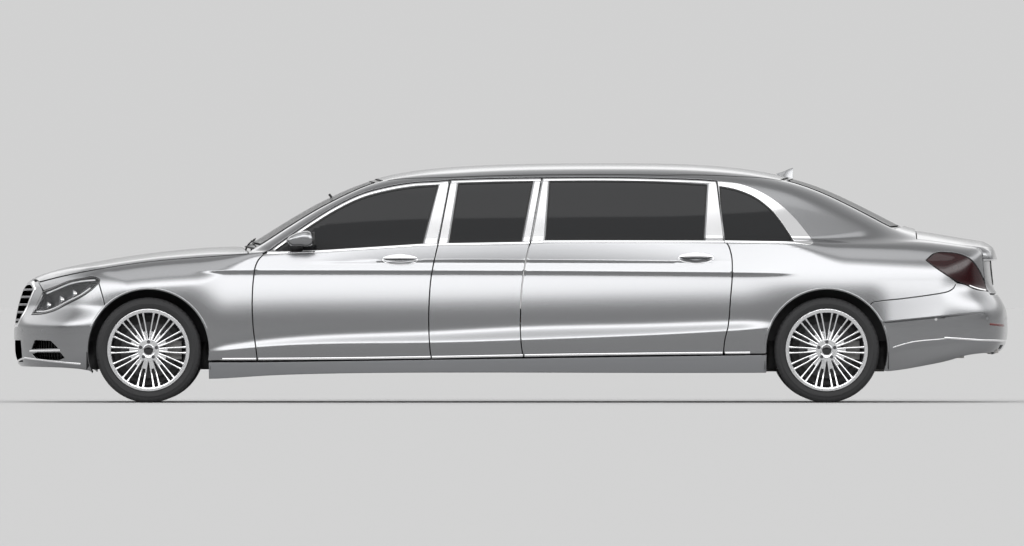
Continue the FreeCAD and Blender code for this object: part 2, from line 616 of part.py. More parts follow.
rows = []
for x in bon_xs:
    w = yb(x) + 4 if x > -3085 else yb(-3085) + 4
    rows.append([V(x, w * t, deck_z(x, w * t)) for t in (-1, -0.94, -0.86, -0.76, -0.62, -0.42, -0.2, 0, 0.2, 0.42, 0.62, 0.76, 0.86, 0.94, 1)])
bon_face = surface(rows)
BON_F = [(-3085, -yb(-3085) + 4), (-3104, -yb(-3085) * 0.75), (-3128, -yb(-3085) * 0.4), (-3138, 0), (-3128, yb(-3085) * 0.4), (-3104, yb(-3085) * 0.75), (-3085, yb(-3085) - 4)]
bsx = [-3085, -3040, -3000, -2940, -2860, -2760, -2640, -2500, -2350, -2200, -2050, -1900, -1800, -1712]
BON = [list(reversed(BON_F)), [(x, -(yb(x) - GAP)) for x in bsx], [(-1712, -(yb(-1712) - GAP)), (-1745, -500), (-1790, 0), (-1745, 500), (-1712, yb(-1712) - GAP)],
       [(x, yb(x) - GAP) for x in reversed(bsx)]]
BON[0][-1] = BON[1][0]
BON[0][0] = BON[3][-1]
bonnet = one(bon_face.extrude(V(0, 0, -22)).common(prism_xy(BON, 500, 1300)))
put("bonnet", bonnet)
up = bon_face.copy()
up.translate(V(0, 0, 40))
bonnet_clear = up.extrude(V(0, 0, -72)).common(prism_xy(offset_segs(BON, 2 * GAP), 400, 1400))
lip_l = one(fender.cut(prism_xy(offset_segs(BON, 2 * GAP + 1), 400, 1400)))
NODES["front_fenders"].Shape = Part.makeCompound([lip_l, mirror(lip_l)])
NODES["headlights"].Shape = one(NODES["headlights"].Shape.cut(bonnet_clear))
log("bonnet %s" % bonnet.isValid())

# ---------------------------------------------------------------- nose: bumper and grille
GRILLE = [[(-352, 748), (-343, 700), (-322, 600), (-298, 535), (-262, 497)], [(-262, 497), (0, 488), (262, 497)],
          [(262, 497), (298, 535), (322, 600), (343, 700), (352, 748)], [(352, 748), (300, 775), (0, 790), (-300, 775), (-352, 748)]]
phis = [-112, -104, -96, -88, -80, -72, -64, -57, -50, -43, -36, -29, -22, -14, -7, 0, 7, 14, 22, 29, 36, 43, 50, 57, 64, 72, 80, 88, 96, 104, 112]
nose_zs = [190, 205, 225, 250, 285, 330, 380, 430, 480, 525, 560, 595, 630, 665, 700, 735, 765, 790, 806]
nose = shell6(nose_grid(phis, nose_zs, 0, -2620, -1), nose_grid(phis, nose_zs, 26, -2620, -1))
nose_deep = shell6(nose_grid(phis[7:-7], nose_zs[6:-1], 2, -2620, -1), nose_grid(phis[7:-7], nose_zs[6:-1], 42, -2620, -1))
log("nose %s %s" % (nose.isValid(), nose_deep.isValid()))
BUMP_F = [[(-3300, 150), (-2600, 150)], [(-2600, 150), (-2600, 600)], [(-2600, 600), (-2642, 600)], [(x - 2, z) for x, z in FBUMP_LINE],
          [(-2684, 778), (-2732, 733), (-2798, 688), (-2889, 642), (-2982, 596), (-3060, 576), (-3138, 571)],
          [(-3138, 571), (-3061, 730)], [(-3061, 730), (-3091, BONNET_SIDE(-3085) + 3)], [(-3091, BONNET_SIDE(-3085) + 3), (-3300, BONNET_SIDE(-3085) + 3)],
          [(-3300, BONNET_SIDE(-3085) + 3), (-3300, 150)]]
BUMP_F[2] = [(-2600, 600), (-2642, 600)]
bump = nose.common(prism_xz(BUMP_F, -1000, 1000)).cut(arch(AXF, AR)).cut(arch(AXF, AR, 600, 1000))
bump = bump.cut(prism_yz(offset_segs(GRILLE, 1.5), -3400, -3000))
low_air = prism_yz([[(-330, 262), (330, 262)], [(330, 262), (360, 330), (345, 405)], [(345, 405), (-345, 405)], [(-345, 405), (-360, 330), (-330, 262)]], -3400, -3050)
side_air = prism_yz([[(-560, 262), (-440, 258)], [(-440, 258), (-430, 330), (-440, 404)], [(-440, 404), (-700, 404)], [(-700, 404), (-690, 330), (-560, 262)]], -3400, -2900)
bump = bump.cut(low_air).cut(side_air).cut(mirror(side_air))
bump = bump.cut(bonnet_clear)
# two holes for the front number plate
for py in (-D["plate_hole_y"] / 2, D["plate_hole_y"] / 2):
    bump = bump.cut(Part.makeCylinder(D["plate_hole_r"], 200, V(-3100, py, 446), V(-1, 0, 0)))
put("front_bumper", one(bump))
log("bumper %s %d" % (NODES["front_bumper"].Shape.isValid(), len(NODES["front_bumper"].Shape.Solids)))
bars = [prism_yz(offset_segs(GRILLE, -20), -3400, -3000)]
ring = prism_yz(offset_segs(GRILLE, -0.5), -3400, -3000).cut(bars[0])
for z in (540, 590, 640, 690, 740):
    ring = ring.fuse(bx(-3400, -3000, -345, 345, z - 7, z + 7).common(prism_yz(offset_segs(GRILLE, -10), -3400, -3000)))
ring = ring.fuse(bx(-3400, -3000, -10, 10, 480, 800).common(prism_yz(offset_segs(GRILLE, -10), -3400, -3000)))
grille = nose_deep.common(ring).cut(bonnet_clear)
put("grille", one(grille))
log("grille %s %d" % (grille.isValid(), len(NODES["grille"].Shape.Solids)))

# ---------------------------------------------------------------- rear quarters, tail-lights, lid, rear bumper
rq_xs = [1340, 1380, 1420, 1480, 1560, 1650, 1760, 1880, 2000, 2120, 2240, 2360, 2480, 2600, 2700, 2800, 2880, 2950, 3010, 3060, 3095, 3115, 3128]
rq_wall = side_face(rq_xs, lambda x: 270.0 if x < 2300 else 270.0 + (x - 2300) * 0.5, lambda x: SHOULDER(x) - 10 - 12 * sstep(x, 1900, 2400), 34, 14.0)
log("quarter wall %s" % rq_wall.isValid())
QTR = [[(1300, 1500), (1300, 318)], [(1300, 318), (1680, 322)], [(1680, 322), (2059, HZ + 60)], [(2059, HZ + 60), (2336, 560)], [(2336, 560), (2336, 656)],
       [(x, z + 2) for x, z in [(2336, 654)] + RBUMP_LINE[1:]], [(2904, 784), (2829, 837), (2762, 883), (2704, 929)],
       [(2704, 929), (2762, 977), (2861, 982), (2944, 967), (3002, 936)], [(3002, 936), (3052, 876), (3066, 850), (3083.5, 810)], [(3083.5, 810), (3140, 810)], [(3140, 810), (3140, 1500)], [(3140, 1500), (1300, 1500)]]
QTR[5][-1] = (2904, 784)
qzone = prism_xz(QTR, -1000, -300)
q = rq_wall.common(qzone).cut(arch(AXR, AR)).cut(rd_cut)
# deck strips beside the lid and the panel in front of it
LIDW = 640.0
dk_xs = [1850, 1950, 2060, 2180, 2300, 2420, 2520, 2600, 2660, 2740, 2830, 2920, 3000, 3060, 3100, 3120]
deck_rows = []
for x in dk_xs:
    w = side_y(x, SHOULDER(x) - 16 - 12 * sstep(x, 1900, 2400)) - 2
    deck_rows.append([V(x, -w + (w - 560) * t, deck_z(x, w - (w - 560) * t)) for t in (0, 0.06, 0.14, 0.24, 0.38, 0.55, 0.78, 1)])
deck = surface(deck_rows).extrude(V(0, 0, -14))
log("deck %s" % deck.isValid())
deck = deck.cut(bx(2650 - GAP, 3300, -(LIDW + GAP), 700, 500, 1300))
lid_side = prism_xz([[(2600, 800), (3200, 800)], [(3200, 800), (3200, 1200)], [(3200, 1200), (2600, 1200)], [(2600, 1200), (2600, 800)]], -1000, -300)
side_cut = prism_xz([[(3002, 936), (3052, 876), (3200, 600)], [(3200, 600), (3300, 600)], [(3300, 600), (3300, 936)], [(3300, 936), (3002, 936)]], -1000, -300)
q = q.cut(bx(2650, 3300, -(LIDW + GAP), 700, 500, 1300))
cq = canopy.common(bx(1340, 2650, -1000, 0, 985, 1600)).cut(rw_prism).cut(rd_cut)
cq = cq.common(side_window_zone.fuse(bx(1900, 2700, -1000, 5, 985, 1600)))
cq = cq.cut(prism_xz(WIN_QUARTER, -1000, -400))
mid_deck = surface([[V(x, -600 + 600 * t, deck_z(x, 600 - 600 * t) - 1) for t in (0, 0.25, 0.5, 0.75, 1)] for x in (2500, 2560, 2600, 2660)]).extrude(V(0, 0, -12))
mid_deck = mid_deck.common(bx(2596, 2650 - GAP, -600, 0, 500, 1300))
quarter = q.fuse([deck, cq, mid_deck])
log("quarter %s %d" % (quarter.isValid(), len(quarter.Solids)))
quarter = one(quarter)
both_q = quarter.fuse(mirror(quarter))
put("rear_quarters", one(both_q))
log("quarters %s %d" % (both_q.isValid(), len(NODES["rear_quarters"].Shape.Solids)))
tl_wall = side_face(rq_xs[12:], lambda x: 700.0, lambda x: SHOULDER(x) - 22, 16, 45.0)
tl = one(tl_wall.common(prism_xz(offset_segs(TAILLIGHT, -1.5), -1000, -300)).cut(bx(2650, 3300, -(LIDW + GAP), 700, 500, 1300)).cut(deck))
put("taillights", Part.makeCompound([tl, mirror(tl)]))
log("tail-light %s" % tl.isValid())


def lid_grid(depth):
    rows = []
    for y in spread(-(LIDW - GAP) , LIDW - GAP, 15):
        row = []
        for a in (-8, 0, 8, 16, 24, 32, 39, 45, 50, 55, 60, 66, 73, 81, 90, 98):
            c, s = math.cos(math.radians(a)), math.sin(math.radians(a))
            r = solve(lambda q: f_lower(2690 + s * q, y, 760 + c * q), 900.0, 20.0, 32)
            p = V(2690 + s * r, y, 760 + c * r)
            if depth:
                n = normal(f_lower, p)
                n = V(n.x, 0, n.z).normalize()
                p = p - n * depth
            row.append(p)
        rows.append(row)
    return rows


lid = shell6(lid_grid(0), lid_grid(22))
lid = lid.cut(bx(2500, 2650 + GAP, -900, 900, 500, 1400)).cut(bx(2500, 3400, -900, 900, 400, 706 + GAP))
# four holes for a number plate
for py in (-D["plate_hole_y"] / 2, D["plate_hole_y"] / 2):
    for pz in (850 - D["plate_hole_z"] / 2, 850 + D["plate_hole_z"] / 2):
        lid = lid.cut(Part.makeCylinder(D["plate_hole_r"], 200, V(3050, py, pz), V(1, 0, 0)))
put("boot_lid", one(lid))
log("lid %s %s" % (lid.isValid(), lid.BoundBox))
tail_zs = [320, 345, 375, 410, 450, 495, 540, 585, 625, 660, 690, 715, 740, 765, 785]
tail = shell6(nose_grid(phis, tail_zs, 0, 2500, 1), nose_grid(phis, tail_zs, 26, 2500, 1))
BUMP_R = [[(2340, 200), (3300, 200)], [(3300, 200), (3300, 700)], [(3300, 700), (3138, 700)], [(3138, 700), (3113, 724)],
          [(3113, 724), (3024, 740), (2967.5, 766), (2906, 790)], [(2906, 790), (2906, 780)], list(reversed([(x, z - 2) for x, z in [(2340, 652)] + RBUMP_LINE[1:]])), [(2340, 650), (2340, 200)]]
BUMP_R[5] = [(2906, 790), (2904, 780)]
rbump = tail.common(prism_xz(BUMP_R, -1000, 1000)).cut(arch(AXR, AR)).cut(arch(AXR, AR, 600, 1000))
rbump = rbump.cut(bx(2500, 3400, -(LIDW + GAP), LIDW + GAP, 706 - GAP, 900))
tip_hole = bx(3000, 3400, -578, -422, 314, 376)
rbump = rbump.cut(tip_hole).cut(mirror(tip_hole))
put("rear_bumper", one(rbump))
log("rear bumper %s %d" % (rbump.isValid(), len(NODES["rear_bumper"].Shape.Solids)))


# ---------------------------------------------------------------- pieces from plain primitives
def pbox(name, x0, x1, y0, y1, z0, z1, **ex):
    o = doc.addObject("Part::Box", name)
    o.Length, o.Width, o.Height = x1 - x0, y1 - y0, z1 - z0
    o.Placement.Base = V(x0, y0, z0)
    for k, e in ex.items():
        o.setExpression(k.replace("__", "."), e)
    return o


def pcyl(name, r, h, p, d=(0, 0, 1), **ex):
    o = doc.addObject("Part::Cylinder", name)
    o.Radius, o.Height = r, h
    o.Placement = FreeCAD.Placement(V(*p), FreeCAD.Rotation(V(0, 0, 1), V(*d)))
    for k, e in ex.items():
        o.setExpression(k.replace("__", "."), e)
    return o


def pfuse(name, objs):
    o = doc.addObject("Part::MultiFuse", name)
    o.Shapes = objs
    return o


def pcut(name, base, tool):
    o = doc.addObject("Part::Cut", name)
    o.Base, o.Tool = base, tool
    return o


def node(name, obj):
    obj.Label = name
    NODES[name] = obj
    return obj


def pair(name, objs):
    """Like pieces on both sides: each is kept with its mirror image, as solids that don't touch."""
    o = doc.addObject("Part::Compound", name)
    o.Links = objs
    return o


def pmirror(name, src):
    o = doc.addObject("Part::Mirroring", name)
    o.Source = src
    o.Base, o.Normal = V(0, 0, 0), V(0, 1, 0)
    return o


FZ, FT = D["floor_z"], D["floor_thk"]
# floor: cabin plate with a tunnel, heel board, raised boot floor, wheel houses
fl = [pbox("fl_plate", -1600, 1560, -835, 835, FZ, FZ + FT, Height="dims.floor_thk", Placement__Base__z="dims.floor_z"),
      pbox("fl_tunnel", -1600, 1580, -130, 130, FZ + FT, 330),
      pbox("fl_heel", 1560, 1580, -835, 835, FZ, 500),
      pbox("fl_boot", 1580, 3100, -625, 625, 470, 500),
      pbox("fl_tail", 3085, 3105, -600, 600, 400, 690)]
fl_a = pfuse("fl_sum", fl)
house = pcyl("fl_house_out", 410, 265, (AXR, -890, HZ), (0, 1, 0))
house_in = pcyl("fl_house_in", 402, 268, (AXR, -900, HZ), (0, 1, 0))
house_cut = pcut("fl_house_l", house, house_in)
house_low = pbox("fl_house_low", 1600, 2500, -930, -600, -100, 400)
house_l = pcut("fl_house_left", house_cut, house_low)
house_r = pmirror("fl_house_right", house_l)
fl_b = pfuse("fl_with_houses", [fl_a, house_l, house_r])
fl_void = pbox("fl_void", -1700, 1700, -110, 110, 150, 310)
node("floor_pan", pcut("floor_pan", fl_b, fl_void))

# front structure: bulkhead, longitudinals, aprons, wheel liners, radiator, scuttle
fs = [pbox("fs_bulkhead", -1640, -1615, -775, 775, 345, 945), pbox("fs_foot_l", -1640, -1615, -775, -135, 240, 345), pbox("fs_foot_r", -1640, -1615, 135, 775, 240, 345),
      pbox("fs_rail_l", -3000, -1640, -470, -400, 400, 520), pbox("fs_rail_r", -3000, -1640, 400, 470, 400, 520),
      pbox("fs_apron_l", -2950, -1640, -480, -470, 400, 800), pbox("fs_apron_r", -2950, -1640, 470, 480, 400, 800),
      pbox("fs_radiator", -3035, -3000, -305, 305, 290, 640), pbox("fs_radiator_beam", -3035, -3000, -470, 470, 400, 520)]
ln_o = pcyl("fs_liner_out", 410, 365, (AXF, -845, HZ), (0, 1, 0))
ln_i = pcyl("fs_liner_in", 402, 400, (AXF, -870, HZ), (0, 1, 0))
ln = pcut("fs_liner_ring", ln_o, ln_i)
ln_low = pbox("fs_liner_low", -2900, -1900, -930, -470, -100, HZ - 40, Height="dims.hub_z+60")
ln_l = pcut("fs_liner_left", ln, ln_low)
ln_r = pmirror("fs_liner_right", ln_l)
scuttle = doc.addObject("Part::Feature", "fs_scuttle")
scuttle.Shape = surface([[V(x, y, deck_z(x, y) - 44) for y in spread(-700, 700, 11)] for x in (-1840, -1790, -1740, -1690, -1640, -1600)]).extrude(V(0, 0, -10))
node("front_structure", pfuse("front_structure", fs + [ln_l, ln_r, scuttle]))

# engine: one plain block, and the shaft to the rear axle
node("engine", pbox("engine", -2570, -1690, -310, 310, 345, 815, Length="dims.engine_len", Width="dims.engine_wid", Height="dims.engine_hgt",
                    Placement__Base__y="-dims.engine_wid/2"))
node("drive_shaft", pcyl("drive_shaft", 30, 3638, (-1690, 0, 275), (1, 0, 0)))

# ---------------------------------------------------------------- front suspension and steering knuckles (left, then mirrored)
KY = -D["kingpin_y"]
arm_lo = pfuse("arm_low_sum", [pbox("arm_low", AXF - 30, AXF + 30, KY + 22, -380, 203, 231), pcyl("arm_low_eye", 24, 28, (AXF, KY, 203))])
arm_lo = pcut("arm_low_bored", arm_lo, pcyl("arm_low_bore", 12.6, 60, (AXF, KY, 190)))
arm_up = pfuse("arm_up_sum", [pbox("arm_up", AXF - 26, AXF + 26, KY + 22, -480, 490, 512), pcyl("arm_up_eye", 24, 22, (AXF, KY, 490))])
arm_up = pcut("arm_up_bored", arm_up, pcyl("arm_up_bore", 12.6, 60, (AXF, KY, 470)))
cross = pbox("sub_cross", AXF - 90, AXF + 90, -380, 380, 200, 285)
rack = pcyl("sub_rack", 28, 840, (AXF + 150, -420, 305), (0, 1, 0))
rack_foot = pbox("sub_rack_foot", AXF + 80, AXF + 178, -200, 200, 270, 300)
node("front_subframe", pfuse("front_subframe", [cross, rack, rack_foot, arm_lo, arm_up, pmirror("arm_low_right", arm_lo), pmirror("arm_up_right", arm_up)]))


def carrier(tag, x, y):
    """Spindle, brake caliper and its bracket beside a wheel on the left."""
    c = y
    sp = pcyl(tag + "_spindle", 30, 150, (x, c, HZ), (0, -1, 0), Radius="dims.spindle_radius")
    ca = [pbox(tag + "_cal_in", x + 110, x + 215, c - 32, c - 10, HZ - 60, HZ + 60), pbox(tag + "_cal_out", x + 110, x + 215, c - 96, c - 74, HZ - 60, HZ + 60),
          pbox(tag + "_cal_bridge", x + 194, x + 215, c - 96, c - 10, HZ - 60, HZ + 60), pbox(tag + "_cal_arm", x + 5, x + 120, c - 30, c - 12, HZ - 15, HZ + 15)]
    return [sp] + ca


kn = [pbox("kn_post", AXF - 34, AXF + 34, KY - 22, KY + 22, 236, 485), pcyl("kn_pin_low", 12, 33, (AXF, KY, 204)), pcyl("kn_pin_up", 12, 33, (AXF, KY, 484)),
      pbox("kn_arm", AXF + 15, AXF + 135, KY - 12, KY + 12, 296, 320)]
knl = pfuse("knuckle_left", kn + carrier("kn", AXF, KY))
node("knuckle_left", knl)
node("knuckle_right", pmirror("knuckle_right", knl))

ra = [pbox("ra_diff", AXR - 110, AXR + 110, -140, 140, 256, 445), pcyl("ra_shaft", 24, 1524, (AXR, -762, HZ), (0, 1, 0)),
      pbox("ra_beam_f", AXR - 190, AXR - 110, -560, 560, 312, 368), pbox("ra_beam_r", AXR + 110, AXR + 180, -560, 560, 312, 368)]
ral = [pbox("ra_post", AXR - 36, AXR + 36, -785, -736, HZ - 90, HZ + 90), pbox("ra_arm_f", AXR - 190, AXR - 14, -600, -540, 296, 330), pbox("ra_link", AXR - 40, AXR + 40, -745, -540, 290, 320)] + carrier("ra", AXR, -762)
ral = pfuse("ra_left", ral)
node("rear_axle", pfuse("rear_axle", ra + [ral, pmirror("ra_right", ral)]))

# exhaust: two pipes in the tunnel, a silencer and a tailpipe on each side
ex = [pcyl("ex_pipe", 26, 3560, (-1700, -74, 226), (1, 0, 0)), pcyl("ex_pipe_b", 26, 586, (1860, -74, 226), (1, 0, 0)), pcyl("ex_riser", 26, 84, (2446, -74, 226)),
      pbox("ex_silencer", 2420, 2960, -560, -60, 290, 420), pbox("ex_tip", 2960, 3184, -570, -430, 322, 368)]
exl = pfuse("ex_left", ex)
node("exhaust_system", pair("exhaust_system", [exl, pmirror("ex_right", exl)]))

# ---------------------------------------------------------------- wheels
def sketch(body, name, plane, pts):
    sk = body.newObject("Sketcher::SketchObject", name)
    role = [f for f in body.Origin.OriginFeatures if f.Role == plane][0]
    sk.AttachmentSupport = [(role, "")]
    sk.MapMode = "FlatFace"
    n = len(pts)
    for i in range(n):
        a, b = pts[i], pts[(i + 1) % n]
        sk.addGeometry(Part.LineSegment(V(a[0], a[1], 0), V(b[0], b[1], 0)), False)
    for i in range(n):
        sk.addConstraint(Sketcher.Constraint("Coincident", i, 2, (i + 1) % n, 1))
    return sk


rim = doc.addObject("PartDesign::Body", "rim_body")
barrel = sketch(rim, "rim_section", "XY_Plane",
                [(250, 118), (268, 118), (268, 109), (256.5, 107), (251, 76), (236, 40), (236, -40), (251, -76), (256.5, -107),
                 (268, -109), (268, -118), (250, -118), (243, -104), (243, -80), (228, -44), (228, 44), (243, 80), (243, 104)])
rev = rim.newObject("PartDesign::Revolution", "rim_barrel")
rev.Profile = barrel
rev.ReferenceAxis = (barrel, ["V_Axis"])
rev.Angle = 360
hub = sketch(rim, "hub_section", "XY_Plane",
             [(30.5, -20), (62, -20), (62, -10), (185, -10), (185, 16), (96, 16), (96, 62), (88, 98), (40, 104), (30.5, 96)])
rev2 = rim.newObject("PartDesign::Revolution", "rim_hub_and_disc")
rev2.Profile = hub
rev2.ReferenceAxis = (hub, ["V_Axis"])
rev2.Angle = 360
doc.recompute()


def revolved(pts):
    return Part.Face(Part.makePolygon([V(a, b, 0) for a, b in pts + pts[:1]])).revolve(V(0, 0, 0), V(0, 1, 0), 360)


# each spoke is a pair of arms that part from one root, trimmed to the dish of the wheel
arms = Part.Face(Part.makePolygon([V(a, 60, b) for a, b in [(66, -15), (104, -15), (250, -35), (250, -21), (132, -3.5), (132, 3.5), (250, 21), (250, 35), (104, 15), (66, 15), (66, -15)]])).extrude(V(0, 60, 0))
dish = revolved([(68, 66), (150, 66), (215, 84), (251, 96), (251, 112), (215, 104), (150, 92), (68, 98)])
pair_of_arms = arms.common(dish)
SPOKES = [pair_of_arms.rotated(V(0, 0, 0), V(0, 1, 0), 360.0 / D["spoke_count"] * k) for k in range(int(D["spoke_count"]))]
tyre = doc.addObject("PartDesign::Body", "tyre_body")
ts = sketch(tyre, "tyre_section", "XY_Plane",
            [(258, -106), (271, -106), (271, -111), (288, -120.5), (308, -122.5), (326, -118), (338, -107), (342, -92), (343, -60), (343, 60),
             (342, 92), (338, 107), (326, 118), (308, 122.5), (288, 120.5), (271, 111), (271, 106), (258, 106), (258, 90), (272, 96),
             (300, 108), (322, 96), (328, 0), (322, -96), (300, -108), (272, -96), (258, -90)])
tr = tyre.newObject("PartDesign::Revolution", "tyre_ring")
tr.Profile = ts
tr.ReferenceAxis = (ts, ["V_Axis"])
tr.Angle = 360
doc.recompute()
RIM, TYRE = one(rim.Shape.fuse(SPOKES)), tyre.Shape.copy()
print("rim", RIM.isValid(), len(RIM.Solids), RIM.Volume / 1e6, "tyre", TYRE.isValid(), TYRE.Volume / 1e6)


def wheel(tag, x, y):
    for base, shape in (("rim_", RIM), ("tyre_", TYRE)):
        t = shape.copy()
        if y < 0:
            t = t.mirror(V(0, 0, 0), V(0, 1, 0))
        o = doc.addObject("Part::Feature", base + tag)
        o.Shape = t
        o.Placement = FreeCAD.Placement(V(x, y, HZ), FreeCAD.Rotation())
        node(base + tag, o)


TF, TR = D["track_half_front"], D["track_half_rear"]
wheel("front_left", AXF, -TF)
wheel("front_right", AXF, TF)
wheel("rear_left", AXR, -TR)
wheel("rear_right", AXR, TR)

# ---------------------------------------------------------------- cabin
node("dashboard", pfuse("dashboard", [pbox("da_top", -1540, -1290, -735, 735, 780, 945), pbox("da_knee", -1540, -1360, -735, 735, 640, 780),
                                      pbox("da_console", -1540, -640, -110, 110, 330, 640),
                                      pcyl("da_column", 26, 95, (-1300, -370, 830), (0.906, 0, 0.4226))]))
SWC = V(-1300, -370, 830) + V(0.906, 0, 0.4226) * 150
sw = doc.addObject("Part::Torus", "sw_ring")
sw.Radius1, sw.Radius2 = 178, 15
sw.Placement = FreeCAD.Placement(SWC, FreeCAD.Rotation(V(0, 0, 1), V(0.906, 0, 0.4226)))
swh = pcyl("sw_hub", 52, 40, tuple(SWC - V(0.906, 0, 0.4226) * 30), (0.906, 0, 0.4226))
sws = []
for k, a in enumerate((90, 200, 340)):
    b = doc.addObject("Part::Box", "sw_spoke%d" % k)
    b.Length, b.Width, b.Height = 150, 30, 10
    r = FreeCAD.Rotation(V(0, 0, 1), V(0.906, 0, 0.4226)) * FreeCAD.Rotation(V(0, 0, 1), a)
    b.Placement = FreeCAD.Placement(SWC + r.multVec(V(30, -15, -8)), r)
    sws.append(b)
node("steering_wheel", pfuse("steering_wheel", [sw, swh] + sws))


def seat(tag, x, y, w, rear_facing=False):
    """Cushion, back and head-rest; x is the front edge of the cushion."""
    q = [pbox(tag + "_cushion", x, x + 500, y - w / 2, y + w / 2, 330, 520)]
    r = FreeCAD.Rotation(V(0, 1, 0), 14)
    b = doc.addObject("Part::Box", tag + "_back")
    b.Length, b.Width, b.Height = 120, w - 20, 560
    b.Placement = FreeCAD.Placement(V(x + 445, y - w / 2 + 10, 470), r)
    h = doc.addObject("Part::Box", tag + "_head")
    h.Length, h.Width, h.Height = 80, w * 0.5 if w < 700 else w * 0.8, 180
    h.Placement = FreeCAD.Placement(V(x + 468, y - h.Width.Value / 2, 470) + r.multVec(V(0, 0, 545)), r)
    return pfuse(tag, q + [b, h])


node("front_seats", pair("front_seats", [seat("seat_driver", -1165, -370, 500), seat("seat_passenger", -1165, 370, 500)]))
node("rear_seats", seat("rear_seats", 880, 0, 1280))
st = seat("facing_seats_raw", -640, 0, 1280)
fc = doc.addObject("Part::Mirroring", "facing_seats")
fc.Source, fc.Base, fc.Normal = st, V(-120, 0, 0), V(1, 0, 0)
node("facing_seats", fc)
node("partition", pfuse("partition", [pbox("pa_low", -436, -408, -735, 735, 331, 1040), pbox("pa_foot_l", -436, -408, -735, -131, 240, 331),
                                      pbox("pa_foot_r", -436, -408, 131, 735, 240, 331), pbox("pa_high", -436, -408, -575, 575, 1040, 1400)]))
node("rear_bulkhead", pfuse("rear_bulkhead", [pbox("rb_wall", 1585, 1600, -620, 620, 500, 985), pbox("rb_shelf", 1585, 2480, -620, 620, 985, 1000)]))

# ---------------------------------------------------------------- outside pieces
ml = doc.addObject("Part::Ellipsoid", "mi_shell")
ml.Radius1, ml.Radius2, ml.Radius3 = 52, 100, 96
ml.Placement = FreeCAD.Placement(V(-1357, -968, 1071), FreeCAD.Rotation(V(0, 0, 1), 0))
ml_cut = pbox("mi_face", -1282, -1200, -1100, -800, 950, 1200)
ml_a = pcut("mi_body", ml, ml_cut)
ml_foot = pbox("mi_foot", -1440, -1370, -925, -846, 1004, 1046)
mil = pfuse("mirror_left", [ml_a, ml_foot])
node("mirror_left", mil)
node("mirror_right", pmirror("mirror_right", mil))
fin = doc.addObject("Part::Feature", "roof_antenna")
fin_x = (1739, 1768, 1796, 1824, 1849)
FIN = [[(x, ROOF(x) + 1.0) for x in fin_x], [(1849, ROOF(1849) + 1.0), (1858, 1536)], [(1858, 1536), (1833, 1530), (1800, 1511), (1770, 1499), (1739, 1493)], [(1739, 1493), (1739, ROOF(1739) + 1.0)]]
fin.Shape = prism_xz(FIN, -17, 17)
node("roof_antenna", fin)

doc.recompute()
bad = [o.Name for o in doc.Objects if "Invalid" in o.State or "Error" in o.State]
if bad:
    raise RuntimeError("failed objects: %s" % bad)
bad = [n for n, o in NODES.items() if o.Shape.isNull() or not o.Shape.isValid() or not o.Shape.Solids]
if bad:
    raise RuntimeError("bad shapes: %s" % bad)
for n, o in NODES.items():
    s = o.Shape
    b = s.BoundBox
    print("%-24s %-5s %2d  x %.0f %.0f  y %.0f %.0f  z %.0f %.0f  vol %.1f l" % (n, s.isValid(), len(s.Solids), b.XMin, b.XMax, b.YMin, b.YMax, b.ZMin, b.ZMax, s.Volume / 1e6))
    s.exportStep("parts/%s.step" % n)
log("done, %d nodes" % len(NODES))
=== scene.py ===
# Stretched saloon: surfaces, finishes, light and camera.
# Frame: +X towards the tail, the side seen faces -Y, +Z up. Lengths below are in millimetres unless said.
import math
import bpy
import numpy as np
from mathutils import Vector, Matrix
from mathutils.geometry import delaunay_2d_cdt
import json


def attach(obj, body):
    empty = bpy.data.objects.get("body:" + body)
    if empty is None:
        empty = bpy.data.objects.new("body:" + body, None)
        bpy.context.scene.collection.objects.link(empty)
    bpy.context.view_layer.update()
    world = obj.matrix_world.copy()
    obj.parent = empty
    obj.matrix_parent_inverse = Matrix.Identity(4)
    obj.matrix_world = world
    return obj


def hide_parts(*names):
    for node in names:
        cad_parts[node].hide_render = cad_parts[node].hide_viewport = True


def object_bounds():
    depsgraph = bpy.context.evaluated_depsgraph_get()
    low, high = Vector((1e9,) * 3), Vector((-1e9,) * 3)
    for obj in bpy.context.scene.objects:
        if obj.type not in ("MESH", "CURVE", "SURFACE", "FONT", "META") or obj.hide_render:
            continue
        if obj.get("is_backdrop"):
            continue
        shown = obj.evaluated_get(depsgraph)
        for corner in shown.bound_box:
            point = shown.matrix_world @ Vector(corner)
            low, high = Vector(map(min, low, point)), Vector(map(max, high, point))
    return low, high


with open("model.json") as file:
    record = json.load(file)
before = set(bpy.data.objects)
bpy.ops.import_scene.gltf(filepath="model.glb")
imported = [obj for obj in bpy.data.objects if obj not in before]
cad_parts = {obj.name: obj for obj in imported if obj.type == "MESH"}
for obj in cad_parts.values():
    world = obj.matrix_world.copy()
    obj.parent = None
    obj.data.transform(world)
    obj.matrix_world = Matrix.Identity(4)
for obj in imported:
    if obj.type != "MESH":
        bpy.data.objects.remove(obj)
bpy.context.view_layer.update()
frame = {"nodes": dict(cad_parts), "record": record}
MM = 0.001


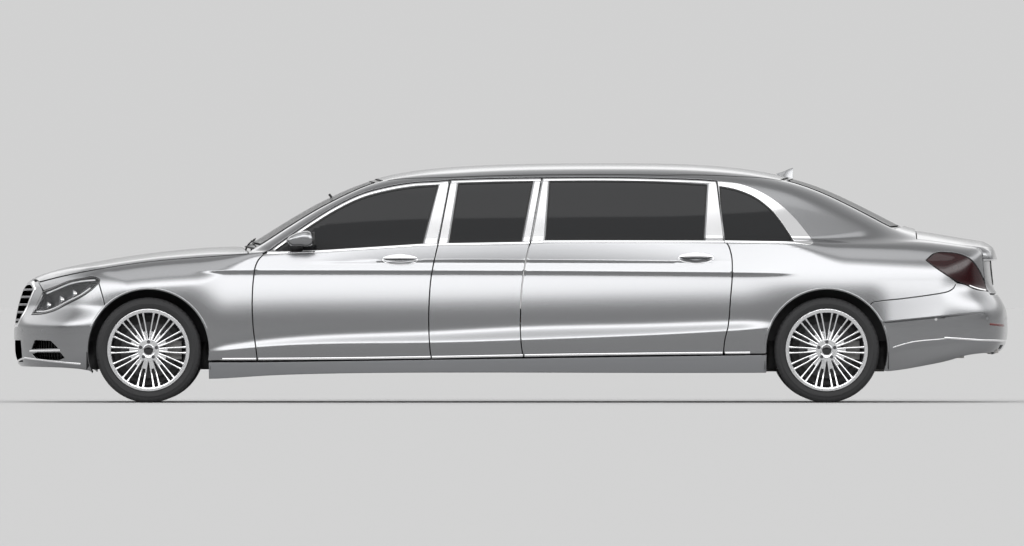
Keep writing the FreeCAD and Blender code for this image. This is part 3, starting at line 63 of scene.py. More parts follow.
# ------------------------------------------------------------------ body surfaces (same curves as the construction)
class Spline:
    def __init__(self, pts):
        self.x = np.array([p[0] for p in pts], float)
        self.y = np.array([p[1] for p in pts], float)
        n = len(pts)
        a, c, d = np.zeros(n), np.zeros(n), np.zeros(n)
        for i in range(1, n - 1):
            h0, h1 = self.x[i] - self.x[i - 1], self.x[i + 1] - self.x[i]
            w = 2 * (h0 + h1) - h0 * c[i - 1]
            c[i] = h1 / w
            r = 6 * ((self.y[i + 1] - self.y[i]) / h1 - (self.y[i] - self.y[i - 1]) / h0)
            d[i] = (r - h0 * d[i - 1]) / w
        for i in range(n - 2, 0, -1):
            a[i] = d[i] - c[i] * a[i + 1]
        self.m = a

    def __call__(self, t):
        x, y, m = self.x, self.y, self.m
        t = np.asarray(t, float)
        tc = np.clip(t, x[0], x[-1])
        i = np.clip(np.searchsorted(x, tc, side="right") - 1, 0, len(x) - 2)
        h = x[i + 1] - x[i]
        A, B = (x[i + 1] - tc) / h, (tc - x[i]) / h
        v = A * y[i] + B * y[i + 1] + ((A ** 3 - A) * m[i] + (B ** 3 - B) * m[i + 1]) * h * h / 6
        s0 = (y[1] - y[0]) / (x[1] - x[0]) - (x[1] - x[0]) * m[1] / 6
        s1 = (y[-1] - y[-2]) / (x[-1] - x[-2]) + (x[-1] - x[-2]) * m[-2] / 6
        return v + np.where(t < x[0], s0 * (t - x[0]), 0) + np.where(t > x[-1], s1 * (t - x[-1]), 0)


def sstep(t, a, b):
    u = np.clip((np.asarray(t, float) - a) / (b - a), 0, 1)
    return u * u * (3 - 2 * u)


def ramp(t, w):
    return 0.5 * (t + np.sqrt(t * t + w * w))


PLAN = Spline([(-3255, 884), (-2950, 908), (-2745, 922), (-2359, 936), (-1900, 944),
               (-1400, 948), (0, 950), (1300, 950), (1700, 948), (2059, 944), (2450, 930),
               (2700, 908), (2950, 868), (3100, 830), (3255, 780)])
Z_STRIP = Spline([(-1950, 284), (-1651, 285), (-525, 297), (322, 312), (1559, 326), (2100, 332)])
Z_RIDGE_LO = Spline([(-1950, 330), (-1650, 361), (-525, 392), (72, 409), (840, 438), (1461, 471), (1700, 486), (2100, 500)])
Z_RIDGE_HI = Spline([(-1950, 352), (-1650, 395), (-525, 455), (72, 484), (840, 503), (1461, 522), (1700, 528), (2100, 540)])
Z_LIGHT = Spline([(-1950, 665), (-1650, 676), (-525, 692), (322, 709), (1461, 730), (2100, 745)])
Z_CREASE = Spline([(-2100, 860), (-1650, 860), (0, 857), (800, 852), (1461, 846), (1900, 840)])
SHOULDER = Spline([(-3143, 772), (-2934, 838), (-2674, 888), (-2348, 934), (-2023, 960), (-1730, 980),
                   (-1576, 990), (-1257, 1005), (-900, 1027), (-564, 1048), (-404, 1052), (72, 1058),
                   (224, 1066), (1261, 1068), (1856, 1062), (1980, 1058), (2300, 1046), (2640, 1028),
                   (2900, 998), (3100, 962), (3200, 940)])
DECK = Spline([(-3143, 812), (-3091, 829), (-3038, 846), (-2934, 877), (-2778, 909), (-2674, 928),
               (-2517, 954), (-2361, 976), (-2205, 994), (-2049, 1008), (-1892, 1017), (-1788, 1018),
               (-1500, 1020), (-1000, 1040), (-400, 1072), (400, 1090), (1200, 1092), (1900, 1096),
               (2300, 1110), (2500, 1123), (2640, 1122), (2731, 1111), (2848, 1092), (3057, 1058),
               (3109, 1050), (3200, 1037)])
NOSE = Spline([(120, -2900), (171, -3045), (202, -3140), (219, -3185), (254, -3228), (295, -3246), (380, -3254),
               (460, -3254.5), (530, -3250), (585, -3241), (668, -3221), (750, -3194), (800, -3176),
               (860, -3150), (950, -3105)])
TAIL = Spline([(200, 2900), (290, 3120), (315, 3180), (350, 3222), (400, 3246), (467, 3255), (530, 3254), (585, 3248),
               (647, 3226), (695, 3196), (736, 3170), (812, 3151), (900, 3142), (1000, 3136), (1100, 3130)])
NOSE_PLAN = Spline([(0, 0), (150, 9), (300, 37), (400, 70), (500, 116), (600, 172), (700, 240), (780, 308), (850, 395), (900, 490), (960, 660)])
NOSE_PLAN_HIGH = Spline([(0, 0), (200, 28), (340, 84), (400, 118), (500, 172), (600, 232), (700, 302), (800, 395), (860, 478), (900, 560), (960, 730)])
TAIL_PLAN = Spline([(0, 0), (150, 2), (300, 9), (500, 27), (620, 51), (700, 86), (780, 150), (840, 228), (890, 330), (920, 420), (960, 560)])
BOTTOM = Spline([(-3255, 228), (-3180, 212), (-3100, 197), (-3000, 182), (-2850, 173), (-2700, 170), (-2300, 155), (-1932, 150),
                 (-1632, 168), (-1371, 179), (-720, 189), (1657, 189), (2100, 190), (2490, 200), (2800, 252), (3100, 303), (3255, 330)])
ROOF = Spline([(-1900, 924), (-1742, 1020), (-1632, 1086.5), (-1528, 1152), (-1424, 1215.5), (-1319, 1276), (-1215, 1330),
               (-1111, 1379), (-1007, 1422), (-903, 1457), (-798, 1484.5), (-694, 1504.5), (-538, 1525.5),
               (-382, 1539), (-225, 1548.5), (-69, 1555), (192, 1561.5), (452, 1564), (700, 1564.5), (908, 1563),
               (1168, 1556.5), (1338, 1546.5), (1494, 1531), (1650, 1508), (1754, 1487), (1911, 1447),
               (2067, 1392), (2223, 1322), (2380, 1244), (2536, 1163), (2601, 1129), (2750, 1052)])
GLASS_PLAN = Spline([(-1900, -95), (-1650, -52), (-1300, -22), (-900, -6), (-400, 0), (900, 0), (1300, -8), (1600, -24),
                     (1900, -52), (2200, -100), (2500, -165), (2700, -215)])


def door_prof(t, zs, z1, z2, z3, z4):
    return (-0.22 * t + 0.12 * ramp(t - zs + 40, 30) + 0.44 * ramp(t - z1, 12) - 0.35 * ramp(t - z2, 24)
            + 0.215 * ramp(t - (z3 - 60), 150) - 0.70 * ramp(t - (z4 - 16), 8) + 0.74 * ramp(t - z4, 3))


def plain_prof(t):
    return -0.22 * t + 0.15 * ramp(t - 290, 60) + 0.09 * ramp(t - 450, 120) + 0.22 * ramp(t - 770, 130)


def belt(x):
    return SHOULDER(x) - 12.0


def side_depth(x, z):
    zs, z1, z2, z3, z4 = Z_STRIP(x), Z_RIDGE_LO(x), Z_RIDGE_HI(x), Z_LIGHT(x), Z_CREASE(x)
    s = sstep(x, -2120, -1830) * (1 - sstep(x, 1480, 1900))
    return s * (door_prof(z, zs, z1, z2, z3, z4) - door_prof(z1, zs, z1, z2, z3, z4)) + (1 - s) * (plain_prof(z) - plain_prof(400.0) + 2)


def F_side(x, z):
    return PLAN(x) - side_depth(x, z)


def H_deck(x, y):
    a = np.abs(y) / 800.0
    zc, zs = DECK(x), SHOULDER(x)
    return zc - (zc - zs) * a ** 2.3


def G_side(x, z):
    t = z - 1045.0
    return 838.0 - 0.36 * t - 0.00022 * t * np.abs(t) + GLASS_PLAN(x) * (1 + 0.0006 * t)


def R_roof(x, y):
    a = np.abs(y) / 650.0
    wf = 1 - sstep(x, -1100, -300)
    wr = sstep(x, 1300, 2000)
    xs = x - 52.0 * a * a * wf + 66.0 * a * a * wr
    return ROOF(xs) - (68.0 - 46.0 * (1 - sstep(x, -1000, -300)) - 26.0 * wr) * a ** 2.3


def smax(a, b, k):
    h = np.maximum(k - np.abs(a - b), 0.0)
    return np.maximum(a, b) + h * h / (4 * k)


def smin(a, b, k):
    return -smax(-a, -b, k)


def k_shoulder(x):
    return 26.0 + 150.0 * (1 - sstep(x, -2050, -1620)) + 120.0 * sstep(x, 1750, 2200)


def crease_z(x):
    return np.interp(x, [2438, 3122], [529.6, 598.6])


def tail_step(x, z):
    """Rear bumper's side: it leans out down to a crease, steps in below it, and has a ridge lower down."""
    ze = crease_z(x)
    zr = np.interp(x, [2484, 2601, 3024], [357, 392, 436.5])
    d = np.where(z > zr, 5.0 * np.clip((z - zr) / (ze - 16.0 - zr), 0, 1) * (1 - sstep(z, ze - 16.0, ze)), 5.0 * sstep(zr - z, 0.0, 45.0))
    out = 19.0 * np.clip((800.0 - z) / (800.0 - ze), 0, 1) ** 1.6 * sstep(z, ze - 16.0, ze)
    return (d - out) * sstep(x, 2330, 2500)


def f_lower(x, y, z):
    y = np.abs(y)
    f = smax(y - F_side(x, z) + tail_step(x, z), z - H_deck(x, y), k_shoulder(x))
    yy = np.minimum(y, 960.0)
    w = sstep(z, 490, 640)
    n = (NOSE(z) + (1 - w) * NOSE_PLAN(yy) + w * NOSE_PLAN_HIGH(yy) - x) * 0.75
    f = np.where(x < -2500, smax(f, n, 70.0), f)
    t = (x - TAIL(z) + TAIL_PLAN(yy)) * 0.8
    f = np.where(x > 2500, smax(f, t, 46.0), f)
    return smax(f, BOTTOM(x) - z, 14.0)


def f_upper(x, y, z):
    y = np.abs(y)
    return smax(y - G_side(x, z), z - R_roof(x, y), 84.0 + 40 * sstep(x, -1000, -500))


def f_body(x, y, z):
    """Lower body and greenhouse, flowing into each other."""
    k = 22.0 + 60.0 * sstep(x, 1900, 2500)
    return smin(f_lower(x, y, z), smax(f_upper(x, y, z), 930.0 - z, 8.0), k)


def bisect(fun, hi, lo, n=30):
    hi, lo = np.array(hi, float), np.array(lo, float)
    for _ in range(n):
        m = 0.5 * (hi + lo)
        out = fun(m) > 0
        hi = np.where(out, m, hi)
        lo = np.where(out, lo, m)
    return 0.5 * (hi + lo)


def to_side(P):
    return np.stack([P[:, 0], P[:, 2]], 1)


def grad(f, P, e=0.6):
    x, y, z = P[:, 0], P[:, 1], P[:, 2]
    g = np.stack([f(x + e, y, z) - f(x - e, y, z), f(x, y + e, z) - f(x, y - e, z), f(x, y, z + e) - f(x, y, z - e)], 1)
    return g / np.maximum(np.linalg.norm(g, axis=1, keepdims=True), 1e-12)


# A chart lays a flat outline on the body: it gives points and outward normals for (u, v).
def chart_side(f, hi=1100.0, lo=300.0):
    def c(uv):
        x, z = uv[:, 0], uv[:, 1]
        y = -bisect(lambda y: f(x, y, z), np.full(len(x), hi), np.full(len(x), lo))
        P = np.stack([x, y, z], 1)
        return P, grad(f, P)
    c.axes = "side"
    return c


def chart_top(f, hi=1700.0, lo=450.0):
    def c(uv):
        x, y = uv[:, 0], uv[:, 1]
        z = bisect(lambda z: f(x, y, z), np.full(len(x), hi), np.full(len(x), lo))
        P = np.stack([x, y, z], 1)
        return P, grad(f, P)
    c.axes = "top"
    return c


def chart_ray_plan(f, cx, sgn):
    """u: angle from straight ahead in degrees, v: level."""
    def c(uv):
        a, z = np.radians(uv[:, 0]), uv[:, 1]
        ca, sa = np.cos(a), np.sin(a)
        r = bisect(lambda r: f(cx + sgn * ca * r, sa * r, z), np.full(len(a), 1400.0), np.full(len(a), 50.0))
        P = np.stack([cx + sgn * ca * r, sa * r, z], 1)
        return P, grad(f, P)
    return c


def chart_lid(f):
    """u: sideways, v: angle from straight up towards the tail in degrees."""
    def c(uv):
        y, a = uv[:, 0], np.radians(uv[:, 1])
        ca, sa = np.cos(a), np.sin(a)
        r = bisect(lambda r: f(2690 + sa * r, y, 760 + ca * r), np.full(len(a), 900.0), np.full(len(a), 20.0))
        P = np.stack([2690 + sa * r, y, 760 + ca * r], 1)
        return P, grad(f, P)
    return c


# ------------------------------------------------------------------ meshes
COL = bpy.context.scene.collection


def make_mesh(name, V, F, N=None, mat=None, smooth=True, mats=None, mat_idx=None):
    """V in millimetres; N, if given, one normal per point."""
    me = bpy.data.meshes.new(name)
    V = np.asarray(V, float) * MM
    me.from_pydata(V.tolist(), [], [list(map(int, f)) for f in F])
    if smooth:
        me.polygons.foreach_set("use_smooth", [True] * len(me.polygons))
    for m in (mats or ([mat] if mat else [])):
        me.materials.append(m)
    if mat_idx is not None:
        me.polygons.foreach_set("material_index", list(map(int, mat_idx)))
    if N is not None:
        N = np.asarray(N, float)
        N = N / np.maximum(np.linalg.norm(N, axis=1, keepdims=True), 1e-9)
        me.normals_split_custom_set_from_vertices(N.tolist())
    me.update()
    ob = bpy.data.objects.new(name, me)
    COL.objects.link(ob)
    return ob


def mirror_obj(ob, name):
    """The same piece on the other side."""
    me = ob.data
    n = len(me.vertices)
    co = np.empty(n * 3)
    me.vertices.foreach_get("co", co)
    co = co.reshape(-1, 3)
    co[:, 1] *= -1
    faces = [list(reversed(p.vertices)) for p in me.polygons]
    nrm = None
    if me.has_custom_normals:
        nl = np.zeros((n, 3))
        cn = np.empty(len(me.loops) * 3)
        me.corner_normals.foreach_get("vector", cn)
        vi = np.empty(len(me.loops), dtype=np.int64)
        me.loops.foreach_get("vertex_index", vi)
        nl[vi] = cn.reshape(-1, 3)
        nl[:, 1] *= -1
        nrm = nl
    smooth = [p.use_smooth for p in me.polygons]
    m2 = bpy.data.meshes.new(name)
    m2.from_pydata(co.tolist(), [], faces)
    m2.polygons.foreach_set("use_smooth", smooth)
    for m in me.materials:
        m2.materials.append(m)
    m2.polygons.foreach_set("material_index", [p.material_index for p in me.polygons])
    if nrm is not None:
        m2.normals_split_custom_set_from_vertices(nrm.tolist())
    m2.update()
    o2 = bpy.data.objects.new(name, m2)
    COL.objects.link(o2)
    for md in ob.modifiers:
        k = o2.modifiers.new(md.name, md.type)
        if md.type == "BEVEL":
            k.width, k.segments, k.limit_method, k.angle_limit = md.width, md.segments, md.limit_method, md.angle_limit
            k.harden_normals = md.harden_normals
        if md.type == "SUBSURF":
            k.levels, k.render_levels = md.levels, md.render_levels
    return o2


def resample(pts, step, closed=True):
    """Evenly spaced points on each straight run of a polygon, keeping its corners."""
    pts = np.asarray(pts, float)
    q = np.vstack([pts, pts[:1]]) if closed else pts
    out = []
    for a, b in zip(q[:-1], q[1:]):
        n = max(1, int(math.ceil(np.linalg.norm(b - a) / step)))
        for k in range(n):
            out.append(a + (b - a) * k / n)
    if not closed:
        out.append(q[-1])
    return np.array(out)


def curve_pts(pts, n):
    """Smooth run of n points through the given ones."""
    p = np.asarray(pts, float)
    if len(p) == 2:
        t = np.linspace(0, 1, n)[:, None]
        return p[0] * (1 - t) + p[1] * t
    d = np.r_[0, np.cumsum(np.linalg.norm(np.diff(p, axis=0), axis=1))]
    # centred tangents, cubic between
    m = np.zeros_like(p)
    h = np.diff(d)[:, None]
    s = np.diff(p, axis=0) / h
    m[1:-1] = (s[:-1] * h[1:] + s[1:] * h[:-1]) / (h[1:] + h[:-1])
    m[0], m[-1] = 1.5 * s[0] - 0.5 * m[1], 1.5 * s[-1] - 0.5 * m[-2]
    t = np.linspace(0, d[-1], n)
    i = np.clip(np.searchsorted(d, t, side="right") - 1, 0, len(p) - 2)
    hh = (d[i + 1] - d[i])[:, None]
    u = ((t - d[i]) / hh[:, 0])[:, None]
    return ((2 * u ** 3 - 3 * u ** 2 + 1) * p[i] + (u ** 3 - 2 * u ** 2 + u) * hh * m[i] + (-2 * u ** 3 + 3 * u ** 2) * p[i + 1] + (u ** 3 - u ** 2) * hh * m[i + 1])


def outline(segs, step=18.0):
    """Closed polygon from runs of points; a run of more than two is a smooth curve."""
    out = []
    for s in segs:
        p = np.asarray(s, float)
        L = np.linalg.norm(np.diff(p, axis=0), axis=1).sum()
        n = max(2, int(round(L / step)) + 1)
        out.append(curve_pts(p, n)[:-1])
    return np.vstack(out)


def area2(p):
    x, y = p[:, 0], p[:, 1]
    return float(np.sum(x * np.roll(y, -1) - np.roll(x, -1) * y))


def ccw(p):
    return p if area2(p) > 0 else p[::-1].copy()


def normals2(p):
    """Outward normal at each corner of an anticlockwise polygon, scaled for a mitred offset."""
    e = np.roll(p, -1, 0) - p
    L = np.maximum(np.linalg.norm(e, axis=1, keepdims=True), 1e-9)
    n = np.stack([e[:, 1], -e[:, 0]], 1) / L
    a, b = np.roll(n, 1, 0), n
    c = np.maximum(1 + np.sum(a * b, 1, keepdims=True), 0.4)
    return (a + b) / c


def dedupe(p, d=1.2):
    q = [p[0]]
    for a in p[1:]:
        if np.linalg.norm(a - q[-1]) > d:
            q.append(a)
    while len(q) > 3 and np.linalg.norm(q[0] - q[-1]) < d:
        q.pop()
    return np.array(q)


def offset(p, d):
    """Grow (d > 0) or shrink an outline; loops that fold over at a corner are taken out."""
    p = ccw(np.asarray(p, float))
    for _ in range(3):
        q = p + normals2(p) * d
        e0, e1 = np.roll(p, -1, 0) - p, np.roll(q, -1, 0) - q
        bad = (e0 * e1).sum(1) <= 0
        if not bad.any():
            return q
        # leave out the corner points whose edges turned round
        keep = ~(bad | np.roll(bad, 1))
        if abs(d) < 12:
            return q
        q = q[keep]
        return dedupe(q)
    return q


def round_corners(p, r, limit=25.0, n=5):
    """Fillet the corners sharper than the limit with radius r."""
    p = ccw(np.asarray(p, float))
    out = []
    m = len(p)
    for i in range(m):
        a, b, c = p[i - 1], p[i], p[(i + 1) % m]
        u, v = a - b, c - b
        lu, lv = np.linalg.norm(u), np.linalg.norm(v)
        u, v = u / lu, v / lv
        turn = math.degrees(math.acos(max(-1, min(1, -float(u @ v)))))
        if turn < limit or turn > 170:
            out.append(b)
            continue
        half = math.radians(180 - turn) / 2
        t = min(r / math.tan(half), lu * 0.48, lv * 0.48)
        p0, p1 = b + u * t, b + v * t
        for k in range(n + 1):
            s = k / n
            out.append((1 - s) ** 2 * p0 + 2 * s * (1 - s) * b + s ** 2 * p1)
    return np.array(out)


def inside(poly, q):
    x, y = q[:, 0], q[:, 1]
    res = np.zeros(len(q), bool)
    a = poly
    b = np.roll(poly, -1, 0)
    for (x0, y0), (x1, y1) in zip(a, b):
        c = (y0 > y) != (y1 > y)
        if c.any():
            xi = x0 + (y - y0) * (x1 - x0) / ((y1 - y0) if y1 != y0 else 1e-12)
            res ^= c & (x < xi)
    return res


def seg_dist(poly, q, chunk=4000):
    a, b = poly, np.roll(poly, -1, 0)
    ab = b - a
    L2 = np.maximum((ab ** 2).sum(1), 1e-12)
    out = np.empty(len(q))
    for i in range(0, len(q), chunk):
        p = q[i:i + chunk]
        t = np.clip(((p[:, None, :] - a[None]) * ab[None]).sum(2) / L2[None], 0, 1)
        d = p[:, None, :] - (a[None] + t[..., None] * ab[None])
        out[i:i + chunk] = np.sqrt((d ** 2).sum(2).min(1))
    return out


def fill2d(poly, holes, pts, scale=(1.0, 1.0), keep=4.0):
    """Triangles of the area inside poly and outside the holes, using the given inner points."""
    S = np.array(scale)
    loops = [ccw(poly)] + [ccw(h) for h in holes]
    ok = inside(loops[0], pts)
    for h in loops[1:]:
        ok &= ~inside(h, pts)
    pts = pts[ok]
    for l in loops:
        if len(pts):
            pts = pts[seg_dist(l * S, pts * S) > keep * min(S)]
    verts = np.vstack(loops + [pts]) if len(pts) else np.vstack(loops)
    edges, k = [], 0
    for l in loops:
        n = len(l)
        edges += [(k + i, k + (i + 1) % n) for i in range(n)]
        k += n
    vs = verts * S
    res = delaunay_2d_cdt([Vector((float(a), float(b))) for a, b in vs], edges, [], 0, 1e-5)
    V2 = np.array([(v.x, v.y) for v in res[0]]) / S
    T = np.array([list(f) for f in res[2]], dtype=int)
    cen = V2[T].mean(1)
    ok = inside(loops[0], cen)
    for h in loops[1:]:
        ok &= ~inside(h, cen)
    T = T[ok]
    # same turning sense for all
    a, b, c = V2[T[:, 0]], V2[T[:, 1]], V2[T[:, 2]]
    s = (b[:, 0] - a[:, 0]) * (c[:, 1] - a[:, 1]) - (b[:, 1] - a[:, 1]) * (c[:, 0] - a[:, 0])
    T[s < 0] = T[s < 0][:, ::-1]
    return V2, T


class Soup:
    """Collects points, normals and faces of one piece."""

    def __init__(self):
        self.V, self.N, self.F, self.M = [], [], [], []
        self.n = 0

    def add(self, V, N, F, m=0):
        V = np.asarray(V, float)
        self.V.append(V)
        self.N.append(np.asarray(N, float))
        for f in F:
            self.F.append([int(i) + self.n for i in f])
            self.M.append(m)
        self.n += len(V)

    def strip(self, rings, norms, m=0, closed=True, flip=False, ok=None):
        """Quads between successive rings of points."""
        k = len(rings[0])
        V = np.vstack(rings)
        N = np.vstack(norms)
        F = []
        for r in range(len(rings) - 1):
            for i in range(k if closed else k - 1):
                j = (i + 1) % k
                if ok is not None and not ok[i]:
                    continue
                q = [r * k + i, r * k + j, (r + 1) * k + j, (r + 1) * k + i]
                F.append(q[::-1] if flip else q)
        self.add(V, N, F, m)

    def mirrored(self):
        """Adds the mirror image of all that is here."""
        V, N = np.vstack(self.V), np.vstack(self.N)
        F, MI = list(self.F), list(self.M)
        W, O = V.copy(), N.copy()
        W[:, 1] *= -1
        O[:, 1] *= -1
        n = self.n
        self.V.append(W)
        self.N.append(O)
        self.F += [[i + n for i in reversed(f)] for f in F]
        self.M += MI
        self.n += n
        return self

    def build(self, name, mats):
        return make_mesh(name, np.vstack(self.V), self.F, np.vstack(self.N), mats=mats, mat_idx=self.M)


def chart_flip(chart, V2, T):
    """True if the triangles face inwards on this chart."""
    t = T[np.linspace(0, len(T) - 1, min(60, len(T))).astype(int)]
    P, N = chart(V2[t.ravel()])
    P, N = P.reshape(-1, 3, 3), N.reshape(-1, 3, 3)
    g = np.cross(P[:, 1] - P[:, 0], P[:, 2] - P[:, 0])
    return float((g * N.mean(1)).sum()) < 0


def panel(soup, chart, poly, holes, pts, scale=(1, 1), lift=0.0, hem=14.0, r=2.6, m=0, hem_m=None, keep=4.0, warp=None, hole_hem=None, seam=None):
    """Skin over an outline with rounded, turned-in edges.
    lift moves it off the surface, warp(P, N) moves points (recesses), hem is how deep the edge goes.
    seam(uv) is true for border points where another panel goes on: no edge is turned in there."""
    poly = ccw(poly)
    holes = [ccw(h) for h in holes]
    open_ = np.ones(len(poly), bool) if seam is None else ~seam(poly)
    shrunk = offset(poly, -r) if r else poly
    shrunk = np.where(open_[:, None], shrunk, poly)
    hs = [offset(h, r) if r else h for h in holes]
    V2, T = fill2d(shrunk, hs, pts, scale, keep)
    P, N = chart(V2)
    P = P + N * lift
    if warp is not None:
        P, N = warp(V2, P, N)
    flip = chart_flip(chart, V2, T)
    soup.add(P, N, T[:, ::-1] if flip else T, m)
    for k, loop in enumerate([poly] + holes):
        sg = 1.0 if k == 0 else -1.0
        depth = hem if k == 0 or hole_hem is None else hole_hem
        if depth <= 0:
            continue
        base = offset(loop, -r * sg) if r else loop
        if k == 0:
            base = np.where(open_[:, None], base, loop)
        rings, norms = [], []
        Pb, Nb = chart(base)
        Pe, Ne = chart(base + normals2(loop) * sg * 1.0)
        B = Pe - Pb
        B = B - (B * Nb).sum(1, keepdims=True) * Nb
        B /= np.maximum(np.linalg.norm(B, axis=1, keepdims=True), 1e-9)
        for a in ((0, 30, 60, 90) if r else (0,)):
            ar = math.radians(a)
            p = Pb + Nb * lift + B * r * math.sin(ar) - Nb * r * (1 - math.cos(ar))
            rings.append(p)
            norms.append(Nb * math.cos(ar) + B * math.sin(ar))
        if not r:
            rings, norms = [Pb + Nb * lift], [B]
        fl = (not flip) if k == 0 else flip
        ok = None
        if k == 0 and seam is not None:
            ok = open_ & np.roll(open_, -1)
        soup.strip(rings, norms, m, flip=fl, ok=ok)
        soup.strip([rings[-1], rings[-1] - Nb * depth], [B, B], m if hem_m is None else hem_m, flip=fl, ok=ok)
    return V2, T


def grid_pts(us, vs):
    u, v = np.meshgrid(np.asarray(us, float), np.asarray(vs, float), indexing="ij")
    return np.stack([u.ravel(), v.ravel()], 1)


# ------------------------------------------------------------------ finishes
def mat(name, base, metallic=0.0, rough=0.5, coat=0.0, coat_rough=0.03, **kw):
    m = bpy.data.materials.new(name)
    m.use_nodes = True
    b = m.node_tree.nodes["Principled BSDF"]
    b.inputs["Base Color"].default_value = (*base[:3], 1.0)
    b.inputs["Metallic"].default_value = metallic
    b.inputs["Roughness"].default_value = rough
    b.inputs["Coat Weight"].default_value = coat
    b.inputs["Coat Roughness"].default_value = coat_rough
    for k, v in kw.items():
        b.inputs[k.replace("_", " ")].default_value = v
    m.diffuse_color = (*base[:3], 1.0)
    return m


def add_noise_rough(m, scale, lo, hi, bump=0.0, dist=0.0005, detail=4.0):
    """Uneven roughness, and a little relief, from noise in object space."""
    nt = m.node_tree
    b = nt.nodes["Principled BSDF"]
    tc = nt.nodes.new("ShaderNodeTexCoord")
    n = nt.nodes.new("ShaderNodeTexNoise")
    n.inputs["Scale"].default_value = scale
    n.inputs["Detail"].default_value = detail
    r = nt.nodes.new("ShaderNodeMapRange")
    r.inputs["To Min"].default_value = lo
    r.inputs["To Max"].default_value = hi
    nt.links.new(tc.outputs["Object"], n.inputs["Vector"])
    nt.links.new(n.outputs["Fac"], r.inputs["Value"])
    nt.links.new(r.outputs["Result"], b.inputs["Roughness"])
    if bump:
        bm = nt.nodes.new("ShaderNodeBump")
        bm.inputs["Strength"].default_value = bump
        bm.inputs["Distance"].default_value = dist
        nt.links.new(n.outputs["Fac"], bm.inputs["Height"])
        nt.links.new(bm.outputs["Normal"], b.inputs["Normal"])


M = {}
M["paint"] = mat("paint_silver", (0.26, 0.263, 0.27), 0.92, 0.23, 0.5, 0.04)
# darker, duller copy of the body paint: painted shade on the low sills; the parking sensors use it too
M["paint_low_shaded"] = mat("paint_sill_painted_shade", (0.24, 0.245, 0.255), 0.75, 0.36, 0.4)
# darker, duller copy of the body paint for faces behind the shut lines and under the lids: painted shade in the gaps
# between panels
M["inner_paint_shaded"] = mat("panel_inside_painted_shade", (0.16, 0.163, 0.17), 0.4, 0.5)
M["chrome"] = mat("chrome", (0.86, 0.86, 0.87), 1.0, 0.07)
M["satin_chrome"] = mat("satin_chrome", (0.80, 0.80, 0.81), 1.0, 0.22)
M["pillar"] = mat("pillar_bright", (0.78, 0.78, 0.79), 1.0, 0.20)
M["glass_side"] = mat("side_glass", (0.013, 0.0135, 0.0145), 0.0, 0.04, 0.0, IOR=1.42, Alpha=0.95)
M["glass_screen"] = mat("screen_glass", (0.05, 0.055, 0.055), 0.0, 0.03, 0.0, IOR=1.5, Alpha=0.42)
M["glass_rear"] = mat("rear_screen_glass", (0.02, 0.022, 0.023), 0.0, 0.03, 0.0, IOR=1.5, Alpha=0.80)
M["frit"] = mat("black_glass_edge", (0.006, 0.006, 0.006), 0.0, 0.08, 0.3)
M["lens"] = mat("clear_lens", (0.12, 0.125, 0.13), 0.0, 0.02, 0.0, IOR=1.45, Alpha=0.20)
M["red_lens"] = mat("red_lens", (0.020, 0.003, 0.004), 0.0, 0.08, 0.0, Alpha=0.94)
M["red_inner"] = mat("red_optics", (0.26, 0.015, 0.015), 0.0, 0.22, 0.2)
M["reflector"] = mat("red_reflector", (0.10, 0.008, 0.008), 0.0, 0.25, 0.2)
M["amber"] = mat("amber_optics", (0.75, 0.26, 0.02), 0.0, 0.2, 0.4)
M["lamp_white"] = mat("lamp_optics", (0.88, 0.88, 0.90), 0.0, 0.25, 0.3)
M["lamp_dark"] = mat("lamp_housing", (0.035, 0.035, 0.037), 0.6, 0.30)
M["black"] = mat("black_plastic", (0.018, 0.018, 0.019), 0.0, 0.55)
add_noise_rough(M["black"], 900, 0.48, 0.66, 0.12, 0.0003)
M["piano"] = mat("gloss_black", (0.008, 0.008, 0.009), 0.0, 0.08, 0.5)
M["rubber"] = mat("rubber_seal", (0.015, 0.015, 0.015), 0.0, 0.75)
M["tyre"] = mat("tyre", (0.013, 0.013, 0.014), 0.0, 0.72)
add_noise_rough(M["tyre"], 260, 0.62, 0.82, 0.15, 0.0004)
M["alloy"] = mat("wheel_alloy", (0.74, 0.745, 0.755), 1.0, 0.22, 0.35)
# dark copy of the wheel alloy: painted shade on the inner barrel inside the wheel; the wheel bolts take it too
M["alloy_dark"] = mat("wheel_barrel_painted_shade", (0.075, 0.075, 0.08), 0.8, 0.45)
# near-black copy of the brake disc colour: painted shade on the disc inside the wheel; the lighter brake_disc is not
# used
M["disc_dark"] = mat("brake_disc_dark", (0.055, 0.055, 0.057), 0.8, 0.42)
M["disc"] = mat("brake_disc", (0.46, 0.46, 0.47), 1.0, 0.30)
M["steel_dark"] = mat("chassis_black", (0.03, 0.03, 0.032), 0.25, 0.55)
add_noise_rough(M["steel_dark"], 60, 0.45, 0.7)
M["cast"] = mat("cast_iron", (0.17, 0.168, 0.165), 0.85, 0.55)
add_noise_rough(M["cast"], 320, 0.45, 0.7, 0.3, 0.0006)
M["alu_cast"] = mat("cast_aluminium", (0.46, 0.46, 0.47), 0.9, 0.45)
add_noise_rough(M["alu_cast"], 240, 0.35, 0.6, 0.2, 0.0005)
M["pipe"] = mat("exhaust_steel", (0.40, 0.39, 0.375), 1.0, 0.34)
add_noise_rough(M["pipe"], 30, 0.26, 0.46)
M["leather"] = mat("seat_leather", (0.050, 0.046, 0.043), 0.0, 0.42)
add_noise_rough(M["leather"], 420, 0.34, 0.52, 0.25, 0.0006)
M["leather_light"] = mat("seat_leather_insert", (0.17, 0.155, 0.14), 0.0, 0.45)
add_noise_rough(M["leather_light"], 420, 0.36, 0.55, 0.25, 0.0006)
M["carpet"] = mat("carpet", (0.022, 0.022, 0.025), 0.0, 0.95)
add_noise_rough(M["carpet"], 1400, 0.85, 1.0, 0.6, 0.002)
